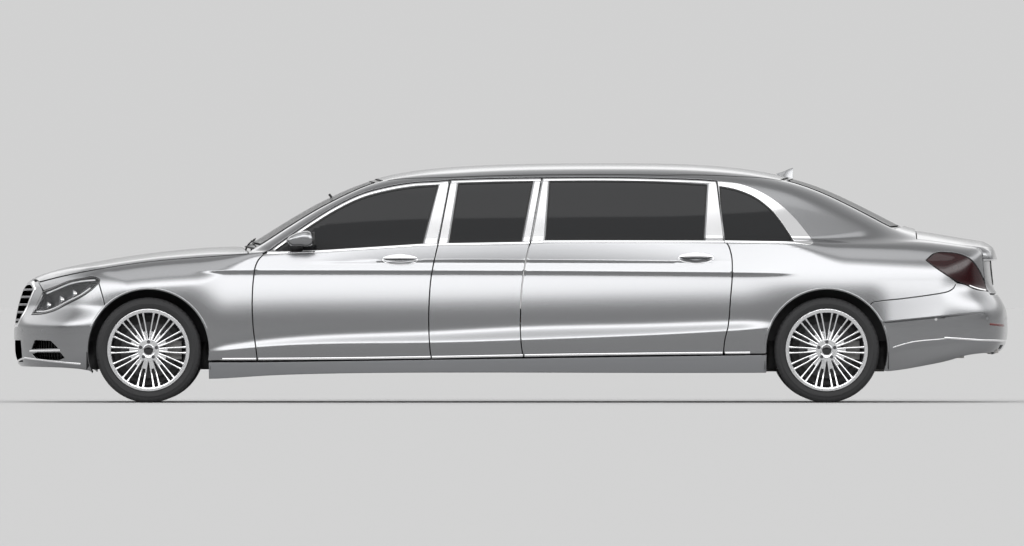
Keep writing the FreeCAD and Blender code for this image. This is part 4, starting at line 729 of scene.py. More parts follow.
M["wood"] = mat("dark_veneer", (0.075, 0.034, 0.018), 0.0, 0.22, 0.5)
M["mirror"] = mat("mirror_glass", (0.85, 0.86, 0.88), 1.0, 0.03)
M["headliner"] = mat("headliner", (0.36, 0.355, 0.34), 0.0, 0.9)
M["plate"] = mat("blank_plate", (0.72, 0.72, 0.70), 0.0, 0.42)
M["mesh_black"] = mat("grille_mesh", (0.012, 0.012, 0.013), 0.2, 0.45)


# ------------------------------------------------------------------ outlines, x and level, as on the left side
def poly(pts):
    p = list(pts) + [pts[0]]
    return [[p[i], p[i + 1]] for i in range(len(pts))]


FD_REAR = [(-517, 288.3), (-523.6, 337), (-532.7, 478), (-528.8, 689), (-519.7, 802), (-506, 886), (-472.8, 1033)]
FD_FRONT = [(-1596, 975), (-1640, 935), (-1662, 890), (-1672, 830), (-1682.7, 689), (-1675.5, 478), (-1658.6, 352), (-1649.5, 274.5)]
FD_TOP = [(-393.3, 1454), (-457, 1447), (-646, 1435), (-805, 1408), (-965, 1365), (-1164, 1269), (-1324, 1167), (-1470, 1066), (-1596, 975)]
FRONT_DOOR = [[(-1649.5, 274.5), (-517, 288.3)], FD_REAR, [(-472.8, 1033), (-393.3, 1454)], FD_TOP, FD_FRONT]
RD_FRONT = [(131.5, 1054), (118.5, 1013), (91.8, 886), (75.5, 774), (65.1, 605), (65.1, 436), (75.5, 337), (85.3, 295)]
RD_REAR = [(1386.4, 316), (1395, 408), (1414, 487), (1432, 672), (1444, 856), (1438, 962), (1412, 1036), (1392, 1060)]
RD_TOP = [(1344, 1447), (1283, 1452), (973, 1464), (712, 1469), (204.5, 1467.5)]
REAR_DOOR = [[(85.3, 295), (1386.4, 316)], RD_REAR, [(1392, 1060), (1344, 1447)], RD_TOP, [(204.5, 1467.5), (131.5, 1054)], RD_FRONT]
WIN_FRONT = [[(-1560, 984), (-1257, 993), (-916, 1014), (-572, 1036)], [(-572, 1036), (-470, 1421)],
             [(-470, 1421), (-646, 1408), (-805, 1381), (-965, 1338), (-1164, 1242), (-1313, 1148), (-1437, 1066), (-1560, 984)]]
WIN_MID = poly([(-341, 1433), (-403.7, 1040), (72, 1048), (148, 1449)])
WIN_REAR = [[(224, 1058), (1261, 1058)], [(1261, 1058), (1283, 1424)], [(1283, 1424), (973, 1442), (712, 1448), (253, 1449)], [(253, 1449), (224, 1058)]]
WIN_QUARTER = [[(1382.5, 1058), (1846, 1051)], [(1846, 1051), (1800, 1125), (1700, 1256), (1588, 1342), (1476, 1388), (1361, 1412)], [(1361, 1412), (1382.5, 1058)]]
HEADLIGHT = [[(-2682, 778), (-2674, 799), (-2708, 818), (-2796, 809), (-2889, 789), (-2976, 754), (-3057, 724)],
             [(-3057, 724), (-3131.6, 575)],
             [(-3131.6, 575), (-3060, 579), (-2982, 599), (-2889, 645), (-2796, 691), (-2727, 736), (-2682, 778)]]
TAILLIGHT = [[(2707, 929), (2764, 974), (2861, 979), (2943, 964), (3000, 933), (3049, 874), (3081.5, 812), (3112, 727)],
             [(3112, 727), (3024, 743), (2967.5, 769), (2902, 795), (2829, 840), (2764, 885), (2707, 929)]]
BONNET_SIDE = Spline([(-3085, 785), (-2934, 822.7), (-2674, 874.4), (-2348, 922.7), (-2023, 950.3), (-1730, 971), (-1600, 980)])
FBUMP_LINE = [(-2640, 600), (-2645, 640), (-2660, 700), (-2682, 778)]
RBUMP_LINE = [(2360, 655), (2392.5, 660.6), (2560, 679), (2731, 702), (2800, 713), (2861, 729.6), (2890, 752), (2904, 782)]
WS = [[(-1744, 0), (-1736, 230), (-1714, 450), (-1672, 690)], [(-1672, 690), (-1400, 664), (-1164, 634), (-1000, 606), (-832, 568)],
      [(-832, 568), (-866, 320), (-880, 0)]]
RW = [[(1812, 0), (1800, 250), (1762, 478)], [(1762, 478), (2067, 505), (2300, 522), (2508, 535)], [(2508, 535), (2562, 300), (2578, 0)]]
MID = [[(-517, 288.3), (85.3, 295)], list(reversed(RD_FRONT)), [(131.5, 1054), (204.5, 1467.5)],
       [(204.5, 1467.5), (-90, 1464), (-300, 1458), (-393.3, 1454)], [(-393.3, 1454), (-472.8, 1033)], list(reversed(FD_REAR))]
AXF, AXR, HZ, AR, LIDW, GAP = -2359.0, 2059.0, 343.0, 394.0, 640.0, 3.0

# ------------------------------------------------------------------ body panels
SIDE = chart_side(f_body)
LOW = chart_side(f_lower)
TOPL = chart_top(f_lower, 1300.0, 450.0)
TOPB = chart_top(f_body, 1700.0, 450.0)
UP_SIDE = chart_side(f_upper, 1000.0, 50.0)
PARTS = []


def reg(ob, body, nodes=()):
    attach(ob, body)
    if nodes:
        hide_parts(*nodes)
    PARTS.append(ob)
    return ob


def both_sides(ob, base, body, node, two_bodies=False):
    """Keep a left piece and its mirror image; names end in _left and _right."""
    o2 = mirror_obj(ob, base + "_right")
    for o, s in ((ob, "_left"), (o2, "_right")):
        reg(o, body + s if two_bodies else body, ([node + s] if two_bodies else [node]) if node else ())
    return ob, o2


def polar_chart(f, zc=700.0, R=900.0):
    """u: station, v: arc about the axis y = 0, z = zc; v < 0 is the left side."""
    def c(uv):
        x, th = uv[:, 0], uv[:, 1] / R
        s, k = np.sin(th), np.cos(th)
        r = bisect(lambda r: f(x, r * s, zc + r * k), np.full(len(x), 1500.0), np.full(len(x), 20.0))
        P = np.stack([x, r * s, zc + r * k], 1)
        return P, grad(f, P)
    c.zc, c.R = zc, R
    return c


POL = polar_chart(f_body)


def to_polar(P):
    return np.stack([P[:, 0], 900.0 * np.arctan2(P[:, 1], P[:, 2] - 700.0)], 1)


def side_levels(x):
    zs, z1, z2, z3, z4, sh = (float(q(x)) for q in (Z_STRIP, Z_RIDGE_LO, Z_RIDGE_HI, Z_LIGHT, Z_CREASE, SHOULDER))
    L = [zs - 40 + d for d in (-70, -50, -34, -20, -8, 4, 16, 30, 46)]
    L += list(np.arange(zs + 20, z1 - 44, 14.0))
    L += [z1 + d for d in (-44, -30, -20, -13, -8, -4, 0, 4, 8, 13, 20)]
    L += list(np.arange(z1 + 28, z2 - 40, 9.0))
    L += [z2 + d for d in (-40, -28, -20, -13, -8, -4, 0, 4, 8, 13, 20, 28, 40)]
    L += list(np.arange(z2 + 54, z4 - 42, 14.0))
    L += [z4 + d for d in (-40, -32, -27, -23, -20, -17.5, -15, -12, -9, -6, -4, -2.4, -1, 0, 1, 2.4, 4, 7, 12, 18, 26, 38, 52)]
    L += list(np.arange(z4 + 66, sh - 40, 14.0))
    L += [sh + d for d in (-40, -30, -23, -18, -13, -9, -5, -1, 3, 7, 12, 18, 26)]
    L += list(np.arange(sh + 36, 1520, 14.0))
    L.sort()
    out = [L[0]]
    for v in L[1:]:
        if v - out[-1] > 1.0:
            out.append(v)
    return out


def side_points(x0, x1, dx, z0=100, z1=1530):
    q = []
    n = max(2, int(round((x1 - x0) / dx)))
    for i in range(n + 1):
        x = x0 + (x1 - x0) * i / n
        q += [(x, z) for z in side_levels(x) if z0 < z < z1]
    return np.array(q)


def bowl(cx, cz, a, b, depth):
    """Hand recess: a shallow lens-shaped hollow."""
    def hollow(u, v):
        k = np.clip(1 - ((u - cx) / a) ** 2 - ((v - cz) / b) ** 2, 0, 1)
        return depth * k * k * (3 - 2 * k)

    def w(V2, P, N):
        d = hollow(V2[:, 0], V2[:, 1])
        h = 1.0
        gx = (hollow(V2[:, 0] + h, V2[:, 1]) - hollow(V2[:, 0] - h, V2[:, 1])) / (2 * h)
        gz = (hollow(V2[:, 0], V2[:, 1] + h) - hollow(V2[:, 0], V2[:, 1] - h)) / (2 * h)
        T = np.stack([gx, np.zeros_like(gx), gz], 1)
        T = T - (T * N).sum(1, keepdims=True) * N
        N2 = N + T
        N2 /= np.linalg.norm(N2, axis=1, keepdims=True)
        return P - N * d[:, None], N2
    return w


def merge_pts(base, cx, cz, a, b, n=34, m=24):
    fine = grid_pts(cx + np.linspace(-1.12, 1.12, n) * a, cz + np.linspace(-1.2, 1.2, m) * b)
    r = ((base[:, 0] - cx) / (a * 1.22)) ** 2 + ((base[:, 1] - cz) / (b * 1.35)) ** 2
    return np.vstack([base[r > 1], fine])


DX = 26.0


def back_wall(s, chart, poly2, holes, depth, m=1, step=70.0, scale=(0.5, 1.0), flat=None):
    """Inner face of a panel, a given depth behind its skin."""
    lo, hi = poly2.min(0), poly2.max(0)
    V2, T = fill2d(poly2, holes, grid_pts(np.arange(lo[0], hi[0], step), np.arange(lo[1], hi[1], step)), scale)
    P, N = chart(V2)
    fl = chart_flip(chart, V2, T)
    s.add(P - N * depth, -N, T if fl else T[:, ::-1], m)


def door_mesh(name, ol, win, handle, x0, x1):
    full = round_corners(offset(outline(ol, 16), -GAP), 9, 30)
    back = round_corners(offset(outline(ol, 30), -GAP - 22), 12, 30)
    hole = round_corners(outline(win, 16), 8, 30)
    hx, hz, ha, hb = handle
    pts = merge_pts(side_points(x0, x1, DX), hx, hz, ha, hb)
    s = Soup()
    panel(s, SIDE, full, [hole], pts, (0.35, 1.0), hem=12.0, r=2.4, hem_m=0, keep=3.0, warp=bowl(hx, hz, ha, hb, 11.0), hole_hem=18.0)
    # the step behind the shut line, then the inner wall of the door
    hole2 = offset(hole, 3)
    V2, T = fill2d(full, [back], np.zeros((0, 2)), (0.35, 1.0))
    P, N = SIDE(V2)
    s.add(P - N * 14.0, -N, T if chart_flip(SIDE, V2, T) else T[:, ::-1], 1)
    V2, T = fill2d(back, [hole2], grid_pts(np.arange(x0, x1, 90.0), np.arange(280, 1500, 60.0)), (0.5, 1.0))

    def depth(z):
        return 95.0 * (1 - sstep(z, 1000, 1046)) + 26.0 * sstep(z, 1000, 1046)
    P, N = SIDE(V2)
    Pin = P.copy()
    Pin[:, 1] += depth(V2[:, 1])
    s.add(Pin, np.tile([0.0, 1.0, 0.0], (len(P), 1)), T if chart_flip(SIDE, V2, T) else T[:, ::-1], 2)
    for k, loop in enumerate((ccw(back), ccw(hole2))):
        Pb, Nb = SIDE(loop)
        A = Pb - Nb * (13.0 if k == 0 else 16.0)
        B = Pb.copy()
        B[:, 1] += depth(loop[:, 1])
        o2 = normals2(loop) * (1 if k == 0 else -1)
        O = np.stack([o2[:, 0], np.zeros(len(loop)), o2[:, 1]], 1)
        s.strip([A, B], [O, O], 1, flip=(k == 1))
    return s.build(name, [M["paint"], M["inner_paint_shaded"], M["black"]])


HAND_F = (-720.0, 931.0, 116.0, 36.0)
HAND_R = (1208.0, 942.0, 116.0, 36.0)
for tag, ol, win, hnd, x0, x1 in (("front_door", FRONT_DOOR, WIN_FRONT, HAND_F, -1690, -380), ("rear_door", REAR_DOOR, WIN_REAR, HAND_R, 55, 1455)):
    both_sides(door_mesh(tag + "_skin_left", ol, win, hnd, x0, x1), tag + "_skin", tag, tag, True)

# middle panel between the doors
s = Soup()
mid_o = round_corners(offset(outline(MID, 16), -GAP), 7, 30)
win_mid = round_corners(outline(WIN_MID, 16), 8, 30)
panel(s, SIDE, mid_o, [win_mid], side_points(-535, 205, DX), (0.35, 1.0), hem=40.0, r=2.4, keep=3.0, hole_hem=18.0)
back_wall(s, SIDE, mid_o, [win_mid], 24.0)
both_sides(s.build("middle_panel_left", [M["paint"], M["black"]]), "middle_panel", "body", "middle_side_panels")

# sills
s = Soup()
arc_f = [(AXF + AR * math.cos(a), HZ + AR * math.sin(a)) for a in np.radians(np.linspace(-25, 9, 8))]
sx = np.linspace(-1966, 1666, 60)
top = np.where(sx > -1649, 262 + 0.0145 * (sx + 1649), 262)
lo_ = BOTTOM(sx) + 5
ring = [(x, z) for x, z in zip(sx, lo_)] + [(x, z) for x, z in zip(sx[::-1], top[::-1])]
ring = np.array([p for p in ring if math.hypot(p[0] - AXF, p[1] - HZ) > AR - 1 and math.hypot(p[0] - AXR, p[1] - HZ) > AR - 1])
gp = []
for x in np.arange(-1960, 1660, 60.0):
    b0, b1 = float(BOTTOM(x)) + 6, 262.0
    gp += [(x, b0 + (b1 - b0) * t) for t in (0.06, 0.14, 0.26, 0.42, 0.6, 0.8)]
panel(s, LOW, ring, [], np.array(gp), (0.3, 1.0), hem=70.0, r=2.0, keep=2.5)
back_wall(s, LOW, ccw(ring), [], 60.0, 1, 120)
# the sills take the darker copy of the body paint: painted shade low on the flank
both_sides(s.build("sill_left", [M["paint_low_shaded"], M["black"]]), "sill", "body", "sills")

# ------------------------------------------------------------------ front fender
bsx = np.linspace(-3085, -1706, 60)
bs_line = np.stack([bsx, BONNET_SIDE(bsx) - GAP], 1)
cap_x = np.linspace(-1706, -1618, 6)


def z_cap(x):
    return np.minimum(BONNET_SIDE(x) - GAP, 973.0)


cap = np.stack([cap_x, z_cap(cap_x)], 1)
fdf = curve_pts(FD_FRONT, 50)
fdf = fdf[fdf[:, 1] < float(z_cap(np.array([-1625.0]))[0]) - 2] + np.array([-GAP, 0])
fdf = fdf[fdf[:, 1] > 276]
a0 = math.degrees(math.asin((274 - HZ) / AR))
arc = np.array([(AXF + AR * math.cos(t), HZ + AR * math.sin(t)) for t in np.radians(np.linspace(a0, 136.2, 70))])
fb = curve_pts(FBUMP_LINE, 14) + np.array([2.0, 0])
fb = fb[np.hypot(fb[:, 0] - AXF, fb[:, 1] - HZ) > AR + 3]
hl_low = np.array([(-2680, 778), (-2676, 802), (-2708, 821), (-2796, 812), (-2889, 792), (-2976, 757), (-3051, 731)])
hl_low = curve_pts(hl_low, 26)
fender = np.vstack([bs_line, cap[1:], fdf, arc, fb[:-1], hl_low])


fender = ccw(dedupe(fender))


def fender_levels(x):
    return np.r_[np.arange(262, 1000, 15.0), float(BONNET_SIDE(x)) - np.array([6, 12, 20, 30, 42, 56, 72]), [857 - 24, 857 - 16, 857 - 10, 857 - 5, 857, 857 + 5]]


q = []
for x in np.arange(-3120, -1600, DX):
    if x > -2130:
        q += [(x, z) for z in side_levels(x)]
    else:
        q += [(x, z) for z in np.arange(262, 1000, 14.0)]
s = Soup()
seam_f = lambda uv: (uv[:, 0] > -1707.5) & (uv[:, 1] > 955) & (np.abs(uv[:, 1] - z_cap(uv[:, 0])) < 1.5)
panel(s, SIDE, fender, [], np.array(q), (0.5, 1.0), hem=14.0, r=2.4, keep=3.0, seam=seam_f)
back_wall(s, SIDE, fender, [], 12.0, 1, 60)
both_sides(s.build("fender_left", [M["paint"], M["black"]]), "fender", "body", "front_fenders")

# ------------------------------------------------------------------ roof, pillars, rear quarters: one skin
def b1z(x):
    """Line along the shoulder where the side part meets the upper part."""
    return np.minimum(SHOULDER(x) - 34.0 + 22.0 * sstep(x, 2250, 2600), 1026.0)


def side3(xz, ch=None):
    return (ch or SIDE)(np.asarray(xz, float))[0]


rdr = curve_pts(RD_REAR, 60) + np.array([GAP, 0])          # behind the rear door
X_END = float(TAIL(935.0)) - float(TAIL_PLAN(LIDW + GAP))


def lid_edge_side(zs):
    """Points on the tail at the lid's side edge, for levels zs."""
    y = np.full(len(zs), LIDW + GAP)
    lo, hi = np.full(len(zs), 2600.0), np.full(len(zs), 3300.0)
    x = bisect(lambda x: f_lower(x, y, zs), hi, lo)
    return np.stack([x, -y, zs], 1)


z_join = 935.0
for _ in range(4):
    z_join = float(b1z(lid_edge_side(np.array([z_join]))[0, 0]))
x_join = float(lid_edge_side(np.array([z_join]))[0, 0])

# side part: shoulder line, lid edge, lamp, bumper line, arch, sill, rear door edge
b1x = np.linspace(float(np.interp(1022.0, rdr[:, 1], rdr[:, 0])), x_join, 90)
b1 = np.stack([b1x, b1z(b1x)], 1)
b1[0, 1] = 1022.0
le = to_side(lid_edge_side(np.linspace(z_join, 806.0, 14)[1:]))
lamp_rear = curve_pts([(3115, 727), (3085, 813), (3052, 876), (3002, 936), (2944, 967), (2861, 982), (2762, 977), (2704, 929)], 60)
lamp_rear = lamp_rear[(lamp_rear[:, 1] > 812) | (lamp_rear[:, 0] < 3000)]
lamp_low = curve_pts([(2704, 929), (2762, 883), (2829, 837), (2904, 784)], 18)
bump_l = curve_pts(RBUMP_LINE, 36)[::-1] + np.array([0, 2.0])
bump_l = bump_l[bump_l[:, 0] < 2900]
bump_l = bump_l[(bump_l[:, 0] - AXR) ** 2 + (bump_l[:, 1] - HZ) ** 2 > (AR + 2) ** 2]
pa = bump_l[-1] - np.array([AXR, HZ])
t1 = math.degrees(math.atan2(pa[1], pa[0])) + 0.3
t0 = 180 + math.degrees(math.asin((HZ - 322) / AR))
arc_r = np.array([(AXR + AR * math.cos(t), HZ + AR * math.sin(t)) for t in np.radians(np.linspace(t1, t0, 80))])
sill_l = np.array([(x, 320.0) for x in np.linspace(1640, 1400, 12)])
door_l = rdr[(rdr[:, 1] < 1020) & (rdr[:, 1] > 322)]
quarter_o = dedupe(np.vstack([b1, le, lamp_rear, lamp_low[1:], bump_l, arc_r, sill_l, door_l]), 1.0)


qpts = []
for x in np.arange(1380, 3130, DX):
    dxs = [x] if x < 2950 else [x, x + DX / 3, x + 2 * DX / 3]
    for xx in dxs:
        if xx < 1930:
            qpts += [(xx, z) for z in side_levels(xx) if z < 1030]
        else:
            qpts += [(xx, z) for z in np.r_[np.arange(300, 905, 14.0), np.arange(905, 1030, 8.0)]]
body_s = Soup()
seam_q = lambda uv: (np.abs(uv[:, 1] - b1z(uv[:, 0])) < 1.0) & (uv[:, 1] > 925)
panel(body_s, SIDE, quarter_o, [], np.array(qpts), (0.5, 1.0), hem=14.0, r=2.4, keep=3.0, seam=seam_q)
back_wall(body_s, SIDE, ccw(quarter_o), [], 12.0, 1, 60)

# upper part, left half, in stations and arc
LIDC = chart_lid(f_lower)
b1p = to_polar(side3(b1))
ang = lambda P: math.degrees(math.atan2(P[0] - 2690, P[2] - 760))
aj = ang(lid_edge_side(np.array([z_join]))[0])
lid_top = LIDC(np.stack([np.full(60, -(LIDW + GAP)), np.linspace(aj, -12, 60)], 1))[0]
lid_top = lid_top[lid_top[:, 0] > 2649][1:]
lid_fr = TOPB(np.stack([np.full(30, 2647.0), -np.linspace(LIDW + GAP, 0, 30)], 1))[0]


def top3(xy):
    return TOPB(np.asarray(xy, float))[0]


rw_l = [np.array([(x, -y) for x, y in curve_pts(seg, n)]) for seg, n in ((RW[2][::-1], 16), (RW[1][::-1], 26), (RW[0][::-1], 16))]
rw_l = dedupe(np.vstack(rw_l), 2.0)
ws_l = [np.array([(x, -y) for x, y in curve_pts(seg, n)]) for seg, n in ((WS[2][::-1], 18), (WS[1][::-1], 34))]
ws_l = dedupe(np.vstack(ws_l), 2.0)
c1 = np.stack([np.linspace(2640, 2590, 4), np.zeros(4)], 1)
c2 = np.stack([np.linspace(1800, -860, 80), np.zeros(80)], 1)
corner = np.array([(-1684.0, -712.0), (-1700.0, -760.0), (-1706.0, -820.0)])
capl = np.stack([np.linspace(-1706, -1618, 8), z_cap(np.linspace(-1706, -1618, 8))], 1)
fdt = curve_pts(FD_TOP, 60)[::-1] + np.array([-2.0, GAP])
fdt = fdt[fdt[:, 1] > 979]
rl = curve_pts([(-393.3, 1454), (-300, 1458), (-90, 1464), (204.5, 1467.5)], 22)[1:-1] + np.array([0, GAP])
rdt = curve_pts(RD_TOP, 50)[::-1] + np.array([0, GAP])
cp = np.array([(1347 + (1395 - 1347) * t, 1447 + (1060 - 1447) * t) for t in np.linspace(0, 1, 22)])[1:]
cp2 = rdr[(rdr[:, 1] > 1024)]
cp2 = cp2[np.argsort(-cp2[:, 1])]
upper = np.vstack([b1p, to_polar(lid_top), to_polar(lid_fr), to_polar(top3(c1)), to_polar(top3(rw_l)), to_polar(top3(c2)), to_polar(top3(ws_l)),
                   to_polar(top3(corner)), to_polar(side3(capl)), to_polar(side3(fdt)), to_polar(side3(rl)), to_polar(side3(rdt)), to_polar(side3(cp)), to_polar(side3(cp2))])
upper = dedupe(upper, 1.0)
wq = ccw(round_corners(outline(WIN_QUARTER, 16), 8, 30))
wq_p = to_polar(side3(wq))
upts = []
for x in np.arange(-1720, 3100, DX):
    fine = x > 1850
    vs = np.r_[np.arange(-1190, -900, 8.0), np.arange(-900, -20, 15.0)] if fine else np.arange(-1190, -20, 13.0)
    upts += [(x, v) for v in vs]
cl = lambda uv: (np.abs(uv[:, 1]) < 1e-6)
b1_poly = b1p


def on_b1(uv):
    v = np.interp(uv[:, 0], b1_poly[:, 0], b1_poly[:, 1])
    return (uv[:, 0] >= b1_poly[0, 0] - 0.5) & (uv[:, 0] <= b1_poly[-1, 0] + 0.5) & (np.abs(uv[:, 1] - v) < 0.6)


cap_p = to_polar(side3(capl))


def on_cap(uv):
    v = np.interp(uv[:, 0], cap_p[:, 0], cap_p[:, 1])
    return (uv[:, 0] >= cap_p[0, 0] - 0.5) & (uv[:, 0] <= cap_p[-1, 0] + 0.5) & (np.abs(uv[:, 1] - v) < 0.6)


seam_u = lambda uv: cl(uv) | on_b1(uv) | on_cap(uv)
panel(body_s, POL, upper, [wq_p], np.array(upts), (0.5, 1.0), hem=14.0, r=2.4, keep=3.0, seam=seam_u, hole_hem=18.0)
back_wall(body_s, POL, ccw(upper), [wq_p], 26.0, 2, 60)
body_s.mirrored()
shell = body_s.build("roof_and_quarters", [M["paint"], M["black"], M["headliner"]])
reg(shell, "body", ["roof", "rear_quarters"])


# ------------------------------------------------------------------ bonnet
def yb(x):
    """Half-width of the bonnet at its shut line."""
    xx = np.maximum(np.asarray(x, float), -3085.0)
    return -LOW(np.stack([xx, np.where(xx > -3084.9, BONNET_SIDE(xx), 785.0)], 1))[0][:, 1]


y85 = float(yb(np.array([-3085.0]))[0])
BON_F = [(-3085, y85 - 4), (-3104, y85 * 0.75), (-3128, y85 * 0.4), (-3138, 0)]
bx_ = np.linspace(-3085, -1712, 80)
b_side = np.stack([bx_, yb(bx_) - GAP], 1)
b_front = curve_pts(BON_F, 24)[::-1]
b_back = curve_pts([(-1712, float(yb(np.array([-1712.0]))[0]) - GAP), (-1745, 500), (-1790, 0)], 40)
half = dedupe(np.vstack([b_front, b_side, b_back[1:]]), 2.0)
bon = np.vstack([half, np.array([(x, -y) for x, y in half[::-1]])])
bon = ccw(dedupe(bon, 1.5))
bon = round_corners(bon, 14, 22)
gp = []
for x in np.arange(-3130, -1715, 28.0):
    w = float(yb(np.array([x]))[0])
    gp += [(x, t * w) for t in np.r_[np.linspace(-0.995, -0.8, 9), np.linspace(-0.78, 0.78, 40), np.linspace(0.8, 0.995, 9)]]
s = Soup()
panel(s, TOPL, bon, [], np.array(gp), (1, 1), hem=16.0, r=2.6, keep=4.0)
back_wall(s, TOPL, bon, [], 12.0, 1, 80, (1, 1))
reg(s.build("bonnet_skin", [M["paint"], M["inner_paint_shaded"]]), "bonnet", ["bonnet"])

# ------------------------------------------------------------------ boot lid
def lid_ang(P):
    return np.degrees(np.arctan2(P[:, 0] - 2690, P[:, 2] - 760))


ys = np.linspace(-(LIDW - GAP), LIDW - GAP, 60)
p_fr = TOPL(np.stack([np.full(60, 2653.0), ys], 1))[0]
a_fr = lid_ang(p_fr)
zl = 709.0 + GAP
xl = bisect(lambda x: f_lower(x, ys, np.full(60, zl)), np.full(60, 3300.0), np.full(60, 2600.0))
a_lo = np.degrees(np.arctan2(xl - 2690, zl - 760))
side_a = np.linspace(a_fr[-1], a_lo[-1], 80)
lid_o = np.vstack([np.stack([ys, a_fr], 1), np.stack([np.full(78, ys[-1]), side_a[1:-1]], 1), np.stack([ys[::-1], a_lo[::-1]], 1), np.stack([np.full(78, ys[0]), side_a[::-1][1:-1]], 1)])
# angle scaled to millimetres so that the outline is even
AS = 7.0
LIDM = lambda uv: LIDC(np.stack([uv[:, 0], uv[:, 1] / AS], 1))
lid_o[:, 1] *= AS
lid_o = round_corners(dedupe(lid_o, 1.0), 12, 30)
lgp = grid_pts(np.r_[np.linspace(-634, -560, 8), np.linspace(-545, 545, 34), np.linspace(560, 634, 8)], np.arange(-14 * AS, 100 * AS, 7.0))
s = Soup()
panel(s, LIDM, lid_o, [], lgp, (1, 1), hem=18.0, r=2.6, keep=3.0)
back_wall(s, LIDM, ccw(lid_o), [], 14.0, 1, 60, (1, 1))
reg(s.build("boot_lid_skin", [M["paint"], M["inner_paint_shaded"]]), "boot_lid", ["boot_lid"])

# ------------------------------------------------------------------ bumpers, in angle from straight ahead and level
def ray_chart(f, cx, sgn, k=10.0):
    """u: angle in degrees times k, v: level; u < 0 is the left side."""
    base = chart_ray_plan(f, cx, sgn)
    return lambda uv: base(np.stack([uv[:, 0] / k, uv[:, 1]], 1))


def to_ray(P, cx, sgn, k=10.0):
    return np.stack([k * np.degrees(np.arctan2(P[:, 1], sgn * (P[:, 0] - cx))), P[:, 2]], 1)


RF = ray_chart(f_lower, -2620.0, -1)
RR = ray_chart(f_lower, 2500.0, 1)


def xz_on_nose(pts, cx, sgn):
    """Side view points on the left of the nose or tail, in ray terms."""
    return to_ray(LOW(np.asarray(pts, float))[0], cx, sgn)


def yz_on_nose(pts, cx, sgn, f=f_lower):
    """Points seen from the front (y, level)."""
    p = np.asarray(pts, float)
    hi, lo = (np.full(len(p), 3400.0), np.full(len(p), 2500.0)) if sgn > 0 else (np.full(len(p), -3400.0), np.full(len(p), -2500.0))
    x = bisect(lambda x: f(x, p[:, 0], p[:, 1]), hi, lo)
    return to_ray(np.stack([x, p[:, 0], p[:, 1]], 1), cx, sgn)


arc_b = np.array([(AXF + AR * math.cos(t), HZ + AR * math.sin(t)) for t in np.radians(np.linspace(203, 136.6, 50))])
b_bot_x = np.linspace(arc_b[0, 0], -3175, 30)
fbu = curve_pts(FBUMP_LINE, 14) + np.array([-2.0, 0])
fbu = fbu[np.hypot(fbu[:, 0] - AXF, fbu[:, 1] - HZ) > AR + 2]
hl_b = curve_pts([(-2684, 778), (-2732, 733), (-2798, 688), (-2889, 642), (-2982, 596), (-3060, 576), (-3134, 572)], 34)
hl_f = curve_pts([(-3134, 572), (-3061, 730), (-3088, 786)], 14)
GRILLE = [[(-352, 748), (-343, 700), (-322, 600), (-298, 535), (-262, 497)], [(-262, 497), (0, 488), (262, 497)],
          [(262, 497), (298, 535), (322, 600), (343, 700), (352, 748)], [(352, 748), (300, 775), (0, 790), (-300, 775), (-352, 748)]]
left_run = dedupe(np.vstack([xz_on_nose(np.vstack([arc_b, fbu, hl_b[1:]]), -2620, -1)]), 1.0)
hlf = xz_on_nose(hl_f[1:], -2620, -1)
left_run = np.vstack([left_run, hlf])
topz = 788.0
top_run = np.array([(u, topz) for u in np.linspace(left_run[-1, 0], 0, 18)])[1:]


def low_edge(ch, u0, lo, hi):
    """Lower edge of a bumper: where its face turns under, for angles from u0 to 0."""
    u = np.linspace(u0, 0, 60)
    lo, hi = np.full(60, lo), np.full(60, hi)
    for _ in range(14):
        mz = 0.5 * (lo + hi)
        P, N = ch(np.stack([u, mz], 1))
        ok = (P[:, 2] > BOTTOM(P[:, 0]) + 7) & (np.abs(P[:, 0]) < 3260) & (N[:, 2] > -0.8)
        hi, lo = np.where(ok, mz, hi), np.where(ok, lo, mz)
    return np.stack([u, hi], 1)


bot = low_edge(RF, left_run[0, 0], 130.0, 330.0)
half = dedupe(np.vstack([bot[1:-1][::-1], left_run, top_run]), 1.0)
full_b = np.vstack([half, np.array([(-u, v) for u, v in half[::-1]])])
full_b = round_corners(ccw(dedupe(full_b, 1.0)), 5, 40)
gr = offset(outline(GRILLE, 14), 1.5)
gr_r = yz_on_nose(gr, -2620, -1)
slot_m = round_corners(outline([[(-330, 262), (330, 262)], [(330, 262), (360, 330), (345, 405)], [(345, 405), (-345, 405)], [(-345, 405), (-360, 330), (-330, 262)]], 14), 10, 30)
up_slot = round_corners(outline(poly([(-3106.9, 406.9), (-3000.7, 402), (-2951.2, 353.8), (-3131.6, 347.6)]), 10), 6, 20)
lo_slot = round_corners(outline(poly([(-3125.8, 315.8), (-3090.6, 326.9), (-2938.9, 327.6), (-2908.3, 291.7), (-2951.2, 274.5), (-3094.5, 281.4)]), 10), 6, 20)
holes = [gr_r, yz_on_nose(slot_m, -2620, -1)]
for o in (up_slot, lo_slot):
    r_ = xz_on_nose(o, -2620, -1)
    holes += [r_, ccw(np.array([(-u, v) for u, v in r_[::-1]]))]
bgp = grid_pts(np.arange(-1130, 1131, 16), np.r_[np.arange(130, 800, 13.0)])
s = Soup()
panel(s, RF, full_b, holes, bgp, (1, 1), hem=14.0, r=3.0, keep=4.0, hole_hem=24.0)
back_wall(s, RF, full_b, holes, 14.0, 1, 40, (1, 1))
reg(s.build("front_bumper_skin", [M["paint"], M["black"]]), "body", ["front_bumper"])

